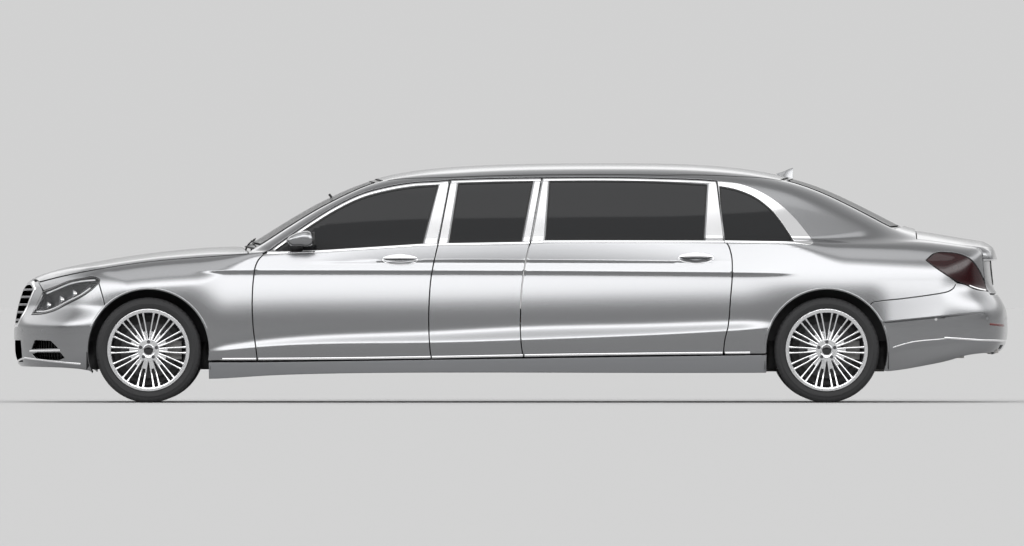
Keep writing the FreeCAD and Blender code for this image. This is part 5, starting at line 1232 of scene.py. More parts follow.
# rear bumper
arc_c = np.array([(AXR + AR * math.cos(t), HZ + AR * math.sin(t)) for t in np.radians(np.linspace(-12, 60, 60))])
rb = curve_pts(RBUMP_LINE, 40) + np.array([0, -2.0])
pa = rb[np.hypot(rb[:, 0] - AXR, rb[:, 1] - HZ) > AR + 3]
t_e = math.degrees(math.atan2(pa[0, 1] - HZ, pa[0, 0] - AXR))
arc_c = np.array([(AXR + AR * math.cos(t), HZ + AR * math.sin(t)) for t in np.radians(np.linspace(-20, t_e - 0.4, 60))])
l_low = curve_pts([(2906, 780), (2967.5, 766), (3024, 740), (3100, 728)], 14)
lr = np.vstack([arc_c, pa, l_low[1:]])
left_run = dedupe(xz_on_nose(lr, 2500, 1), 1.0)
edge = yz_on_nose(np.array([(-(LIDW + GAP), 724.0), (-(LIDW + GAP), 706.0 - GAP)]), 2500, 1)
top_run = yz_on_nose(np.stack([-np.linspace(LIDW + GAP, 0, 30), np.full(30, 706.0 - GAP)], 1), 2500, 1)
bot = low_edge(RR, left_run[0, 0], 180.0, 420.0)
half = dedupe(np.vstack([bot[1:-1][::-1], left_run, edge[:1], top_run]), 1.0)
full_r = np.vstack([half, np.array([(-u, v) for u, v in half[::-1]])])
full_r = round_corners(ccw(dedupe(full_r, 1.0)), 5, 40)
tip = [(-578, 316), (-578, 374), (-422, 374), (-422, 316)]
tip_r = yz_on_nose(round_corners(outline(poly(tip), 12), 12, 30), 2500, 1)
holes = [tip_r, ccw(np.array([(-u, v) for u, v in tip_r[::-1]]))]
s = Soup()
rgp = []
for u in np.arange(-1130, 1131, 14):
    xc = float(RR(np.array([[u, 560.0]]))[0][0, 0])
    zc = float(crease_z(xc))
    for v in np.r_[np.arange(180, zc - 26, 12.0), zc + np.array([-20, -16, -12, -8, -4, 0, 4, 9, 16.0]), np.arange(zc + 27, 800, 12.0)]:
        rgp.append((u, v))
panel(s, RR, full_r, holes, np.array(rgp), (1, 1), hem=14.0, r=3.0, keep=3.0, hole_hem=30.0)
back_wall(s, RR, full_r, holes, 14.0, 1, 40, (1, 1))
reg(s.build("rear_bumper_skin", [M["paint"], M["black"]]), "body", ["rear_bumper"])


# ------------------------------------------------------------------ screens and side glass
def pane(name, chart, poly2, pts, scale, lift, mats, thick=4.0, seam=None, both=False, keep=5.0):
    s = Soup()
    panel(s, chart, poly2, [], pts, scale, lift=lift, hem=thick, r=0, keep=keep)
    V2, T = fill2d(ccw(poly2), [], pts, scale, keep)
    P, N = chart(V2)
    s.add(P + N * (lift - thick), -N, T if chart_flip(chart, V2, T) else T[:, ::-1], 0)
    if both:
        s.mirrored()
    return s.build(name, mats)


TOPU = chart_top(f_upper, 1700.0, 450.0)


def both_plan(segs, n=20):
    h = dedupe(np.vstack([curve_pts(q_, n) for q_ in segs]), 2.0)
    m = h[::-1].copy()
    m[:, 1] *= -1
    return dedupe(np.vstack([h, m]), 2.0)


ws_o = offset(both_plan(WS), -0.5)
rw_o = offset(both_plan(RW), -0.5)
reg(pane("windscreen", TOPU, ws_o, grid_pts(np.arange(-1740, -830, 30.0), np.arange(-690, 691, 40.0)), (1, 0.7), -3.5, [M["glass_screen"]]), "body", ["windshield"])
reg(pane("rear_screen", TOPU, rw_o, grid_pts(np.arange(1770, 2580, 30.0), np.arange(-540, 541, 40.0)), (1, 0.7), -3.5, [M["glass_rear"]]), "body", ["rear_window"])


def border(name, chart, loop, w, lift, mat_, r=0.8, thick=1.2, both=False, pts=None, outward=False):
    """Band along the inside of an outline."""
    s = Soup()
    a = ccw(loop)
    b = ccw(offset(loop, -w))
    n = normals2(a)
    rings, norms = [], []
    for t, h in ((0.0, -thick), (0.0, 0.0), (1.0, 0.0), (1.0, -thick)):
        q_ = a - n * w * t
        P, N = chart(q_)
        rings.append(P + N * (lift + h))
        norms.append(N)
    s.strip(rings, norms, 0, flip=True)
    if both:
        s.mirrored()
    return s.build(name, [mat_])


gl_pts = side_points(-1600, 1900, 40, 960, 1480)
fixed = Soup()
for nm, ol, body, node in (("front_door_glass", WIN_FRONT, "front_door", "front_door_glass"), ("rear_door_glass", WIN_REAR, "rear_door", "rear_door_glass"),
                           ("middle_glass", WIN_MID, "body", None), ("quarter_glass", WIN_QUARTER, "body", None)):
    w_ = ccw(offset(round_corners(outline(ol, 16), 8, 30), -0.6))
    ob = pane(nm + "_pane_left", UP_SIDE, w_, gl_pts, (0.5, 1), -5.5, [M["glass_side"]])
    if node:
        both_sides(ob, nm + "_pane", body, node, True)
    else:
        both_sides(ob, nm + "_pane", "body", "fixed_side_windows")


# ------------------------------------------------------------------ plain solids
def spin(name, prof, n, mats, mi=None, closed=True, axis="y", sharp=35.0):
    """Turned piece: prof is a list of (radius, along); the axis is Y."""
    pr = np.asarray(prof, float)
    k = len(pr)
    th = np.linspace(0, 2 * math.pi, n, endpoint=False)
    V = np.stack([np.outer(np.cos(th), pr[:, 0]), np.tile(pr[:, 1], (n, 1)), np.outer(np.sin(th), pr[:, 0])], 2).reshape(-1, 3)
    F, MI = [], []
    kk = k if closed else k - 1
    for i in range(n):
        j = (i + 1) % n
        for a in range(kk):
            b = (a + 1) % k
            F.append([i * k + a, i * k + b, j * k + b, j * k + a])
            MI.append(0 if mi is None else mi[a])
    ob = make_mesh(name, V, F, None, mats=mats, mat_idx=MI)
    ob.data.set_sharp_from_angle(angle=math.radians(sharp))
    return ob


def fix_out(ob):
    """Faces turned outwards on a closed piece."""
    import bmesh
    bm = bmesh.new()
    bm.from_mesh(ob.data)
    bmesh.ops.recalc_face_normals(bm, faces=bm.faces)
    bm.to_mesh(ob.data)
    bm.free()
    return ob


def join(name, obs):
    """One object from several, materials kept."""
    import bmesh
    mats, V, F, MI, SM = [], [], [], [], []
    n = 0
    for o in obs:
        me = o.data
        mw = np.array(o.matrix_world)
        co = np.empty(len(me.vertices) * 3)
        me.vertices.foreach_get("co", co)
        co = co.reshape(-1, 3) @ mw[:3, :3].T + mw[:3, 3]
        V.append(co)
        idx = []
        for m in me.materials:
            if m not in mats:
                mats.append(m)
            idx.append(mats.index(m))
        for p in me.polygons:
            F.append([v + n for v in p.vertices])
            MI.append(idx[p.material_index] if idx else 0)
            SM.append(p.use_smooth)
        n += len(co)
    sharp = []
    base = 0
    for o in obs:
        me = o.data
        at = me.attributes.get("sharp_edge")
        if at is not None:
            sh = np.zeros(len(me.edges), bool)
            at.data.foreach_get("value", sh)
            ed = np.empty(len(me.edges) * 2, dtype=np.int64)
            me.edges.foreach_get("vertices", ed)
            ed = ed.reshape(-1, 2)[sh] + base
            sharp += [tuple(sorted(map(int, e))) for e in ed]
        base += len(me.vertices)
    me = bpy.data.meshes.new(name)
    me.from_pydata(np.vstack(V).tolist(), [], F)
    me.polygons.foreach_set("use_smooth", SM)
    for m in mats:
        me.materials.append(m)
    me.polygons.foreach_set("material_index", MI)
    if sharp:
        ss = set(sharp)
        at = me.attributes.new("sharp_edge", "BOOLEAN", "EDGE")
        ed = np.empty(len(me.edges) * 2, dtype=np.int64)
        me.edges.foreach_get("vertices", ed)
        ed = ed.reshape(-1, 2)
        ed.sort(axis=1)
        at.data.foreach_set("value", [(int(a), int(b)) in ss for a, b in ed])
    me.update()
    ob = bpy.data.objects.new(name, me)
    COL.objects.link(ob)
    for o in obs:
        m_ = o.data
        bpy.data.objects.remove(o)
        bpy.data.meshes.remove(m_)
    return ob


def bevel(ob, w, seg=2, angle=35.0):
    """Rounded edges, w in millimetres."""
    b = ob.modifiers.new("edge", "BEVEL")
    b.width = w * MM
    b.segments = seg
    b.limit_method = "ANGLE"
    b.angle_limit = math.radians(angle)
    b.harden_normals = True
    return ob


def box3(name, x0, x1, y0, y1, z0, z1, m, w=0.0, rot=None, at=None):
    V = np.array([(x, y, z) for x in (x0, x1) for y in (y0, y1) for z in (z0, z1)], float)
    if rot is not None:
        V = (V - at) @ np.array(rot).T + at
    F = [(0, 1, 3, 2), (4, 6, 7, 5), (0, 4, 5, 1), (2, 3, 7, 6), (0, 2, 6, 4), (1, 5, 7, 3)]
    ob = make_mesh(name, V, F, None, mat=m, smooth=True)
    ob.data.set_sharp_from_angle(angle=math.radians(30))
    if w:
        bevel(ob, w)
    return ob


def rod(name, p0, p1, r, m, n=20, r1=None, cap=True):
    """Round bar between two points."""
    p0, p1 = np.asarray(p0, float), np.asarray(p1, float)
    d = p1 - p0
    L = np.linalg.norm(d)
    d = d / L
    a = np.cross(d, [0, 0, 1.0] if abs(d[2]) < 0.9 else [1.0, 0, 0])
    a /= np.linalg.norm(a)
    b = np.cross(d, a)
    th = np.linspace(0, 2 * math.pi, n, endpoint=False)
    c = np.outer(np.cos(th), a) + np.outer(np.sin(th), b)
    r1 = r if r1 is None else r1
    V = np.vstack([p0 + c * r, p1 + c * r1])
    F = [[i, (i + 1) % n, n + (i + 1) % n, n + i] for i in range(n)]
    if cap:
        F += [list(range(n))[::-1], list(range(n, 2 * n))]
    ob = make_mesh(name, V, F, None, mat=m)
    ob.data.set_sharp_from_angle(angle=math.radians(40))
    return fix_out(ob)


def tube_path(name, pts, r, m, n=16, closed=False, n_path=None, flat=1.0):
    """Round tube along a smooth path."""
    p = np.asarray(pts, float)
    if n_path:
        p = curve_pts(p, n_path)
    k = len(p)
    t = np.roll(p, -1, 0) - np.roll(p, 1, 0) if closed else np.gradient(p, axis=0)
    t /= np.linalg.norm(t, axis=1, keepdims=True)
    a = np.cross(t[0], [0, 0, 1.0] if abs(t[0][2]) < 0.9 else [0, 1.0, 0])
    rings = []
    th = np.linspace(0, 2 * math.pi, n, endpoint=False)
    rr = np.broadcast_to(np.asarray(r, float), (k,))
    for i in range(k):
        a = a - t[i] * (a @ t[i])
        a /= np.linalg.norm(a)
        b = np.cross(t[i], a)
        rings.append(p[i] + rr[i] * (np.outer(np.cos(th), a) + np.outer(np.sin(th), b) * flat))
    V = np.vstack(rings)
    F = []
    for i in range(k if closed else k - 1):
        j = (i + 1) % k
        for q_ in range(n):
            w_ = (q_ + 1) % n
            F.append([i * n + q_, i * n + w_, j * n + w_, j * n + q_])
    if not closed:
        F += [list(range(n))[::-1], [(k - 1) * n + q_ for q_ in range(n)]]
    return fix_out(make_mesh(name, V, F, None, mat=m))


# ------------------------------------------------------------------ wheels, turned about Y; the outer face looks along -Y
NT = 240


def tyre_mesh(name):
    prof = [(258, -108), (265, -110), (270, -112.5), (276, -116), (284, -119.5), (296, -121.8), (300, -122.6), (303, -122.6), (304, -121.4), (314, -119.2), (322, -117.2),
            (326, -116), (327.5, -113.8), (332, -111), (336.5, -107), (340, -100), (341.8, -92), (342.3, -84), (342.4, -78.2), (334.6, -77.6), (334.6, -67.4), (342.6, -66.8),
            (342.85, -50), (342.9, -33.5), (334.8, -33), (334.8, -22), (343, -21.5), (343, 0)]
    prof += [(a, -b) for a, b in prof[::-1][1:]]
    prof += [(258, 96), (272, 88), (300, 92), (318, 80), (326, 0), (318, -80), (300, -92), (272, -88), (258, -96)]
    pr = np.array(prof)
    k = len(pr)
    n = NT
    th = np.linspace(0, 2 * math.pi, n, endpoint=False)
    R = np.tile(pr[:, 0], (n, 1))
    W = np.tile(pr[:, 1], (n, 1))
    # cross grooves in the shoulders and shallow cuts in the ribs
    slot_ = (np.arange(n) % 4) == 0
    sh = (pr[:, 0] > 325) & (np.abs(pr[:, 1]) > 78.5) & (np.arange(k) < 55)
    R[np.ix_(slot_, sh)] -= np.where(np.abs(pr[sh, 1]) > 100, 3.0, 5.5)
    mid_ = (pr[:, 0] > 342) & (np.abs(pr[:, 1]) > 35) & (np.abs(pr[:, 1]) < 66.9)
    slot2 = (np.arange(n) % 4) == 2
    R[np.ix_(slot2, mid_)] -= 3.0
    V = np.stack([np.cos(th)[:, None] * R, W, np.sin(th)[:, None] * R], 2).reshape(-1, 3)
    F = []
    for i in range(n):
        j = (i + 1) % n
        for a in range(k):
            b = (a + 1) % k
            F.append([i * k + a, i * k + b, j * k + b, j * k + a])
    ob = make_mesh(name, V, F, None, mat=M["tyre"])
    ob.data.set_sharp_from_angle(angle=math.radians(38))
    return fix_out(ob)


def rim_mesh(name):
    lip = [(246, -117.5), (262, -120.5), (267.5, -119.5), (268.6, -116.5), (268, -110), (257, -107.5), (251.5, -80), (238, -44), (236, 0), (238, 44), (251, 78), (256.5, 107), (267, 109), (268.5, 118),
           (262, 119), (250, 108), (244, 78), (230, 44), (228, 0), (229, -40), (238, -70), (243.5, -96), (244, -108), (243.6, -114)]
    barrel = spin("rb", lip, 144, [M["alloy"], M["alloy_dark"]], [0, 0, 0, 0, 0, 0, 0, 0, 0, 0, 0, 0, 0, 0, 1, 1, 1, 1, 1, 1, 1, 0, 0, 0], sharp=30)
    fix_out(barrel)
    hub_ = spin("hb", [(30.6, -20), (31, -92), (40, -95.5), (62, -96), (70, -95), (82, -84), (92, -70), (96, -60), (96, -16), (96, 20), (62, 20)], 72, [M["alloy"]], sharp=30)
    fix_out(hub_)
    disc = spin("dk", [(60, -11), (92, -11), (97, -15.5), (183, -15.5), (184.6, -14), (184.6, -7), (183, -5.8), (176, -5.8), (176, 1.8), (183, 1.8), (184.6, 3), (184.6, 9), (183, 10), (60, 10)], 96, [M["disc_dark"]], sharp=25)
    fix_out(disc)
    shield = spin("ds", [(172, 27), (227, 27), (227, 29), (172, 29)], 96, [M["black"]], sharp=30)
    parts = [barrel, hub_, disc, fix_out(shield)]
    # fourteen spokes, each a pair of thin arms that part from one root
    rr = np.array([70.0, 88, 104, 118, 134, 155, 185, 215, 236, 248.5])
    front = -np.interp(rr, [70, 96, 150, 215, 249], [97, 95, 92, 104, 113.5])
    back = -np.interp(rr, [70, 150, 215, 249], [66, 68, 85, 98])
    cen = np.interp(rr, [70, 104, 150, 236, 249], [6.8, 11.5, 15.6, 18.6, 19.6])
    wid = np.interp(rr, [70, 104, 150, 215, 236, 249], [13.4, 11.0, 9.2, 9.8, 13.0, 19.0])
    V, F = [], []
    base = 0
    for i in range(14):
        a = 2 * math.pi * i / 14
        ca, sa = math.cos(a), math.sin(a)
        for sd in (-1, 1):
            for r_, f_, b_, w_, c_ in zip(rr, front, back, wid, cen):
                h = w_ / 2
                y0 = [(-h * 0.7, b_), (-h, f_ + 5), (-h * 0.86, f_ + 1.4), (-h * 0.4, f_ + 0.2), (h * 0.4, f_ + 0.2), (h * 0.86, f_ + 1.4), (h, f_ + 5), (h * 0.7, b_)]
                for t_, y_ in y0:
                    q_ = sd * c_ + t_
                    V.append((ca * r_ - sa * q_, y_, sa * r_ + ca * q_))
            n = 8
            for q_ in range(len(rr) - 1):
                for w_ in range(n):
                    u_ = (w_ + 1) % n
                    F.append([base + q_ * n + w_, base + q_ * n + u_, base + (q_ + 1) * n + u_, base + (q_ + 1) * n + w_])
            F.append([base + w_ for w_ in range(n)][::-1])
            F.append([base + (len(rr) - 1) * n + w_ for w_ in range(n)])
            base += n * len(rr)
    # floor between the two arms at their root
    for i in range(14):
        a = 2 * math.pi * i / 14
        ca, sa = math.cos(a), math.sin(a)
        sec = [(72, 6), (104, 8), (124, 9)]
        for r_, h in sec:
            f_ = -np.interp(r_, [70, 96, 150], [97, 95, 92]) + 5
            for t_, y_ in ((-h, f_), (h, f_), (h, f_ + 18), (-h, f_ + 18)):
                V.append((ca * r_ - sa * t_, y_, sa * r_ + ca * t_))
        for q_ in range(2):
            for w_ in range(4):
                u_ = (w_ + 1) % 4
                F.append([base + q_ * 4 + w_, base + q_ * 4 + u_, base + (q_ + 1) * 4 + u_, base + (q_ + 1) * 4 + w_])
        F.append([base + w_ for w_ in range(4)][::-1])
        F.append([base + 8 + w_ for w_ in range(4)])
        base += 12
    sp = make_mesh("sp", V, F, None, mat=M["alloy"])
    sp.data.set_sharp_from_angle(angle=math.radians(40))
    fix_out(sp)
    parts.append(sp)
    # ring where the spokes meet the rim, wheel bolts and centre cap
    ring_ = spin("rg", [(244.5, -113), (248, -116.5), (248, -98), (244.5, -96)], 96, [M["alloy"]], sharp=30)
    parts.append(fix_out(ring_))
    for i in range(5):
        a = 2 * math.pi * i / 5 + 0.3
        c, s_ = math.cos(a) * 54, math.sin(a) * 54
        parts.append(rod("bt", (c, -92, s_), (c, -97.4, s_), 11.5, M["alloy_dark"], 20))
        parts.append(rod("bh", (c, -92, s_), (c, -99.0, s_), 8.0, M["alloy_dark"], 6))
    cap_ = spin("cp", [(0.5, -103.2), (16, -103), (27, -101.6), (31.5, -99.6), (33, -97), (33, -90), (0.5, -90)], 48, [M["piano"]], sharp=50)
    parts.append(fix_out(cap_))
    cr_ = spin("cr", [(31.4, -100.6), (34.4, -100.6), (36.2, -98.2), (36.2, -94), (31.4, -94)], 48, [M["chrome"]], sharp=30)
    parts.append(fix_out(cr_))
    return join(name, parts)


t0_, r0_ = tyre_mesh("tyre_tmp"), rim_mesh("rim_tmp")
WHEELS = [("front_left", AXF, -812.0), ("rear_left", AXR, -815.0), ("front_right", AXF, 812.0), ("rear_right", AXR, 815.0)]
for tag, x, y in WHEELS:
    for src, base, node in ((t0_, "tyre", "tyre_"), (r0_, "wheel", "rim_")):
        o = bpy.data.objects.new(base + "_" + tag + "_v", src.data.copy())
        COL.objects.link(o)
        if y > 0:
            o.data.transform(Matrix.Rotation(math.pi, 4, "Z"))
        o.data.transform(Matrix.Translation((x * MM, y * MM, HZ * MM)))
        reg(o, "wheel_" + tag, [node + tag])
for o in (t0_, r0_):
    bpy.data.objects.remove(o)


# ------------------------------------------------------------------ trim laid on the body
def band(chart, path, w, lift=1.6, sink=3.0, m=None, crown=0.8, s=None, mi=0, up=(0.0, 1.0)):
    """Thin domed strip along a path on a chart; w is its width, one number or one per point."""
    p = np.asarray(path, float)
    t = np.gradient(p, axis=0)
    t /= np.maximum(np.linalg.norm(t, axis=1, keepdims=True), 1e-9)
    n = np.stack([-t[:, 1], t[:, 0]], 1)
    w = np.broadcast_to(np.asarray(w, float), (len(p),))[:, None] / 2
    rings, norms = [], []
    prof = ((-1.0, -sink, -90), (-1.0, lift - crown, -65), (-0.86, lift - 0.35 * crown, -35), (-0.5, lift, -10), (0.0, lift + 0.1 * crown, 0), (0.5, lift, 10), (0.86, lift - 0.35 * crown, 35), (1.0, lift - crown, 65), (1.0, -sink, 90))
    flat = w.max() < 18
    steps = (-1.0, 0.0, 1.0) if flat else (-1.0, -0.86, -0.5, 0.0, 0.5, 0.86, 1.0)
    PP, NN = chart(np.vstack([p + n * w * a for a in steps]))
    PP, NN = PP.reshape(len(steps), -1, 3), NN.reshape(len(steps), -1, 3)
    side_v = PP[-1] - PP[0]
    side_v /= np.maximum(np.linalg.norm(side_v, axis=1, keepdims=True), 1e-9)
    for a, h, tilt in prof:
        i_ = min(range(len(steps) - 1), key=lambda k_: abs(a - 0.5 * (steps[k_] + steps[k_ + 1])))
        f_ = (a - steps[i_]) / (steps[i_ + 1] - steps[i_])
        P = PP[i_] * (1 - f_) + PP[i_ + 1] * f_
        N = NN[i_] * (1 - f_) + NN[i_ + 1] * f_
        N /= np.linalg.norm(N, axis=1, keepdims=True)
        rings.append(P + N * h)
        ar = math.radians(tilt)
        norms.append(N * math.cos(ar) + side_v * math.sin(ar))
    own = s is None
    s = s or Soup()
    V = np.stack(rings, 1)
    k = len(rings)
    F = []
    for i in range(len(p) - 1):
        for a in range(k - 1):
            F.append([i * k + a, i * k + a + 1, (i + 1) * k + a + 1, (i + 1) * k + a])
    F.append(list(range(k)))
    F.append(list(range((len(p) - 1) * k, len(p) * k))[::-1])
    # turn the faces outwards
    q0 = V[0, 3], V[0, 4], V[1, 4]
    g = np.cross(q0[1] - q0[0], q0[2] - q0[0])
    if g @ norms[4][0] < 0:
        F = [f[::-1] for f in F]
    s.add(V.reshape(-1, 3), np.stack(norms, 1).reshape(-1, 3), F, mi)
    return s


def loop_band(chart, loop, w, lift, sink=4.0, crown=0.6, s=None, mi=0):
    """The same along a closed outline, inside it."""
    a = ccw(loop)
    n = normals2(a)
    rings, norms = [], []
    P2, N2 = chart(np.vstack([a, a - n * w]))
    Pa, Pb, Na, Nb = P2[:len(a)], P2[len(a):], N2[:len(a)], N2[len(a):]
    B = Pa - Pb
    B /= np.maximum(np.linalg.norm(B, axis=1, keepdims=True), 1e-9)
    for t, h, tilt in ((0.0, -sink, 90), (0.0, lift - crown, 60), (0.12, lift - 0.25 * crown, 25), (0.5, lift, 0), (0.88, lift - 0.25 * crown, -25), (1.0, lift - crown, -60), (1.0, -sink, -90)):
        P, N = Pa * (1 - t) + Pb * t, Na * (1 - t) + Nb * t
        ar = math.radians(tilt)
        rings.append(P + N * h)
        norms.append(N * math.cos(ar) + B * math.sin(ar))
    k = len(a)
    s = s or Soup()
    V = np.vstack(rings)
    F = []
    for r_ in range(len(rings) - 1):
        for i in range(k):
            j = (i + 1) % k
            F.append([r_ * k + i, r_ * k + j, (r_ + 1) * k + j, (r_ + 1) * k + i])
    q = F[3 * k]
    g = np.cross(V[q[1]] - V[q[0]], V[q[2]] - V[q[0]])
    if g @ norms[3][0] < 0:
        F = [f[::-1] for f in F]
    s.add(V, np.vstack(norms), F, mi)
    return s


def plate(s, chart, loop, lift, depth, pts=None, r=1.0, mi=0, scale=(1, 1)):
    """Flat cover on the body."""
    lo, hi = loop.min(0), loop.max(0)
    pts = grid_pts(np.arange(lo[0], hi[0], 16.0), np.arange(lo[1], hi[1], 16.0)) if pts is None else pts
    panel(s, chart, loop, [], pts, scale, lift=lift, hem=depth, r=r, m=mi, keep=3.0)
    return s


def cached(chart, u0, u1, v0, v1, du=8.0, dv=8.0):
    """The same chart read from a fine grid, for many small pieces."""
    us, vs = np.arange(u0, u1 + du, du), np.arange(v0, v1 + dv, dv)
    U, W = np.meshgrid(us, vs, indexing="ij")
    P, N = chart(np.stack([U.ravel(), W.ravel()], 1))
    P, N = P.reshape(len(us), len(vs), 3), N.reshape(len(us), len(vs), 3)

    def c(uv):
        a = np.clip((uv[:, 0] - u0) / du, 0, len(us) - 1.001)
        b = np.clip((uv[:, 1] - v0) / dv, 0, len(vs) - 1.001)
        i, j = a.astype(int), b.astype(int)
        s_, r_ = (a - i)[:, None], (b - j)[:, None]
        out = []
        for G in (P, N):
            out.append((G[i, j] * (1 - s_) + G[i + 1, j] * s_) * (1 - r_) + (G[i, j + 1] * (1 - s_) + G[i + 1, j + 1] * s_) * r_)
        out[1] /= np.maximum(np.linalg.norm(out[1], axis=1, keepdims=True), 1e-9)
        return out[0], out[1]
    return c


def seg_path(pts, step=18.0, smooth=True):
    p = np.asarray(pts, float)
    L = np.linalg.norm(np.diff(p, axis=0), axis=1).sum()
    return curve_pts(p, max(2, int(L / step) + 1))


def clip_x(p, x0, x1):
    """The part of a path between two stations."""
    o = np.argsort(p[:, 0])
    p = p[o]
    xs = np.r_[x0, p[(p[:, 0] > x0 + 1) & (p[:, 0] < x1 - 1), 0], x1]
    return np.stack([xs, np.interp(xs, p[:, 0], p[:, 1])], 1)


# belt strip: one line through all windows; roof strip above them
def belt_z(x):
    return np.interp(x, [-1560, -1257, -916, -572, -403, 72, 224, 1261, 1382, 1846, 1900], [976.5, 985.5, 1006.5, 1028.5, 1032.5, 1040.5, 1050.5, 1050.5, 1050.5, 1043.5, 1040])


def run_x(x0, x1, f, step=20.0):
    xs = np.linspace(x0, x1, max(2, int(abs(x1 - x0) / step) + 1))
    return np.stack([xs, f(xs)], 1)


strip_z = lambda x: Z_STRIP(x)
door_f_top = curve_pts(FD_TOP, 70)
door_r_top = curve_pts(RD_TOP, 50)
top_f = dedupe(offset(outline(FRONT_DOOR, 16), -GAP - 9), 1.0)
# strips just inside the door tops, above the glass
f_path = door_f_top[(door_f_top[:, 0] > -1560) & (door_f_top[:, 0] < -395)] + np.array([3.0, -15.0])
f_path = f_path[np.argsort(f_path[:, 0])]
r_path = door_r_top[np.argsort(door_r_top[:, 0])] + np.array([0, -14.0])
r_path = clip_x(r_path, 214, 1338)
m_path = clip_x(np.array([(-393.3, 1440), (-300, 1444), (-90, 1449.5), (204.5, 1453)]), -386, 196)
rd_front_x = lambda z: np.interp(z, [1040, 1467], [128, 204])
chrome = []
# front door
s = Soup()
band(SIDE, f_path, 13.0, 2.2, s=s)
band(SIDE, run_x(-1585, -481, belt_z), 15.0, 2.6, s=s)
band(SIDE, run_x(-1643, -522, strip_z), 15.0, 2.6, s=s)
both_sides(s.build("front_door_chrome_left", [M["chrome"]]), "front_door_chrome", "front_door", None, True)
# rear door
s = Soup()
band(SIDE, r_path, 13.0, 2.2, s=s)
band(SIDE, run_x(136, 1389, belt_z), 15.0, 2.6, s=s)
band(SIDE, run_x(92, 1380, strip_z), 15.0, 2.6, s=s)
both_sides(s.build("rear_door_chrome_left", [M["chrome"]]), "rear_door_chrome", "rear_door", None, True)
# middle panel, fender and quarter
s = Soup()
band(SIDE, m_path, 13.0, 2.2, s=s)
band(SIDE, run_x(-469, 124, belt_z), 15.0, 2.6, s=s)
band(SIDE, run_x(-512, 80, strip_z), 15.0, 2.6, s=s)
band(SIDE, run_x(-1878, -1657, strip_z), 14.0, 2.6, s=s)
band(SIDE, run_x(1396, 1560, strip_z), 14.0, 2.6, s=s)
both_sides(s.build("body_side_chrome_left", [M["chrome"]]), "body_side_chrome", "body", None)

# bright pillar covers with a dark joint at each shut line
def quad(pts):
    return round_corners(ccw(dedupe(outline(poly(pts), 14), 1.0)), 5, 30)


lo_f = lambda x: float(belt_z(x)) + 9
s = Soup()
plate(s, SIDE, quad([(-560, lo_f(-560)), (-482, lo_f(-482)), (-405, 1430), (-463, 1424)]), 1.4, 3.0)
both_sides(s.build("front_door_pillar_cover_left", [M["pillar"]]), "front_door_pillar_cover", "front_door", None, True)
s = Soup()
plate(s, SIDE, quad([(-468, lo_f(-468)), (-414, lo_f(-414)), (-351, 1433), (-391, 1430)]), 1.4, 3.0)
plate(s, SIDE, quad([(82, lo_f(82)), (122, lo_f(122)), (193, 1443), (158, 1442)]), 1.4, 3.0)
both_sides(s.build("middle_pillar_cover_left", [M["pillar"]]), "middle_pillar_cover", "body", None)
s = Soup()
plate(s, SIDE, quad([(140, lo_f(140)), (214, lo_f(214)), (243, 1443), (212, 1443)]), 1.4, 3.0)
plate(s, SIDE, quad([(1271, lo_f(1271)), (1386, lo_f(1386)), (1342, 1428), (1293, 1428)]), 1.4, 3.0)
both_sides(s.build("rear_door_pillar_cover_left", [M["pillar"]]), "rear_door_pillar_cover", "rear_door", None, True)

# rubber seals round the glass
for nm, ol, body, two in (("front_door_seal", WIN_FRONT, "front_door", True), ("rear_door_seal", WIN_REAR, "rear_door", True), ("middle_seal", WIN_MID, "body", False), ("quarter_seal", WIN_QUARTER, "body", False)):
    lp = offset(round_corners(outline(ol, 16), 8, 30), 1.0)
    s = loop_band(SIDE, lp, 9.0, -2.0, 6.0, 0.8)
    both_sides(s.build(nm + "_left", [M["rubber"]]), nm, body, None, two)

# seals round both screens
for nm, loop in (("windscreen_seal", ws_o), ("rear_screen_seal", rw_o)):
    s = loop_band(TOPU, offset(loop, 1.5), 12.0, -1.2, 6.0, 0.8)
    reg(s.build(nm, [M["rubber"]]), "body", ())
for nm, loop, w_, lf in (("windscreen_frit", ws_o, 46.0, -3.2), ("rear_screen_frit", rw_o, 34.0, -3.2)):
    s = loop_band(TOPU, offset(loop, -4), w_, lf, 0.2, 0.05)
    reg(s.build(nm, [M["frit"]]), "body", ())

# door handles
def handle(name, h):
    cx, cz, a, b = h
    xs = np.linspace(cx - a * 0.93, cx + a * 0.93, 30)
    u = (xs - cx) / a
    zz = cz + 9 + 5 * (1 - u ** 2)
    P, N = SIDE(np.stack([xs, zz], 1))
    out = 4 + 15 * np.sqrt(np.clip(1 - (u / 0.95) ** 2, 0, 1))
    c = P + N * out[:, None]
    hw = 13.5 * np.clip(1 - u ** 4, 0.25, 1)
    th = 5.0
    s = Soup()
    rings, norms = [], []
    for ang in np.linspace(0, 2 * math.pi, 14, endpoint=False):
        dz, dn = math.cos(ang), math.sin(ang)
        rings.append(c + np.stack([np.zeros(30), np.zeros(30), hw * dz], 1) + N * (th * dn))
        norms.append(np.stack([np.zeros(30), np.zeros(30), np.full(30, dz)], 1) + N * dn * 2.4)
    V = np.stack(rings, 1)
    Nn = np.stack(norms, 1)
    k = 14
    F = []
    for i in range(29):
        for q_ in range(k):
            w_ = (q_ + 1) % k
            F.append([i * k + q_, i * k + w_, (i + 1) * k + w_, (i + 1) * k + q_])
    F.append(list(range(k))[::-1])
    F.append(list(range(29 * k, 30 * k)))
    s.add(V.reshape(-1, 3), Nn.reshape(-1, 3), F, 0)
    ob = s.build(name, [M["chrome"]])
    return fix_out(ob)


for nm, h, body in (("front_door_handle", HAND_F, "front_door"), ("rear_door_handle", HAND_R, "rear_door")):
    ob = handle(nm + "_left", h)
    both_sides(ob, nm, body, None, True)
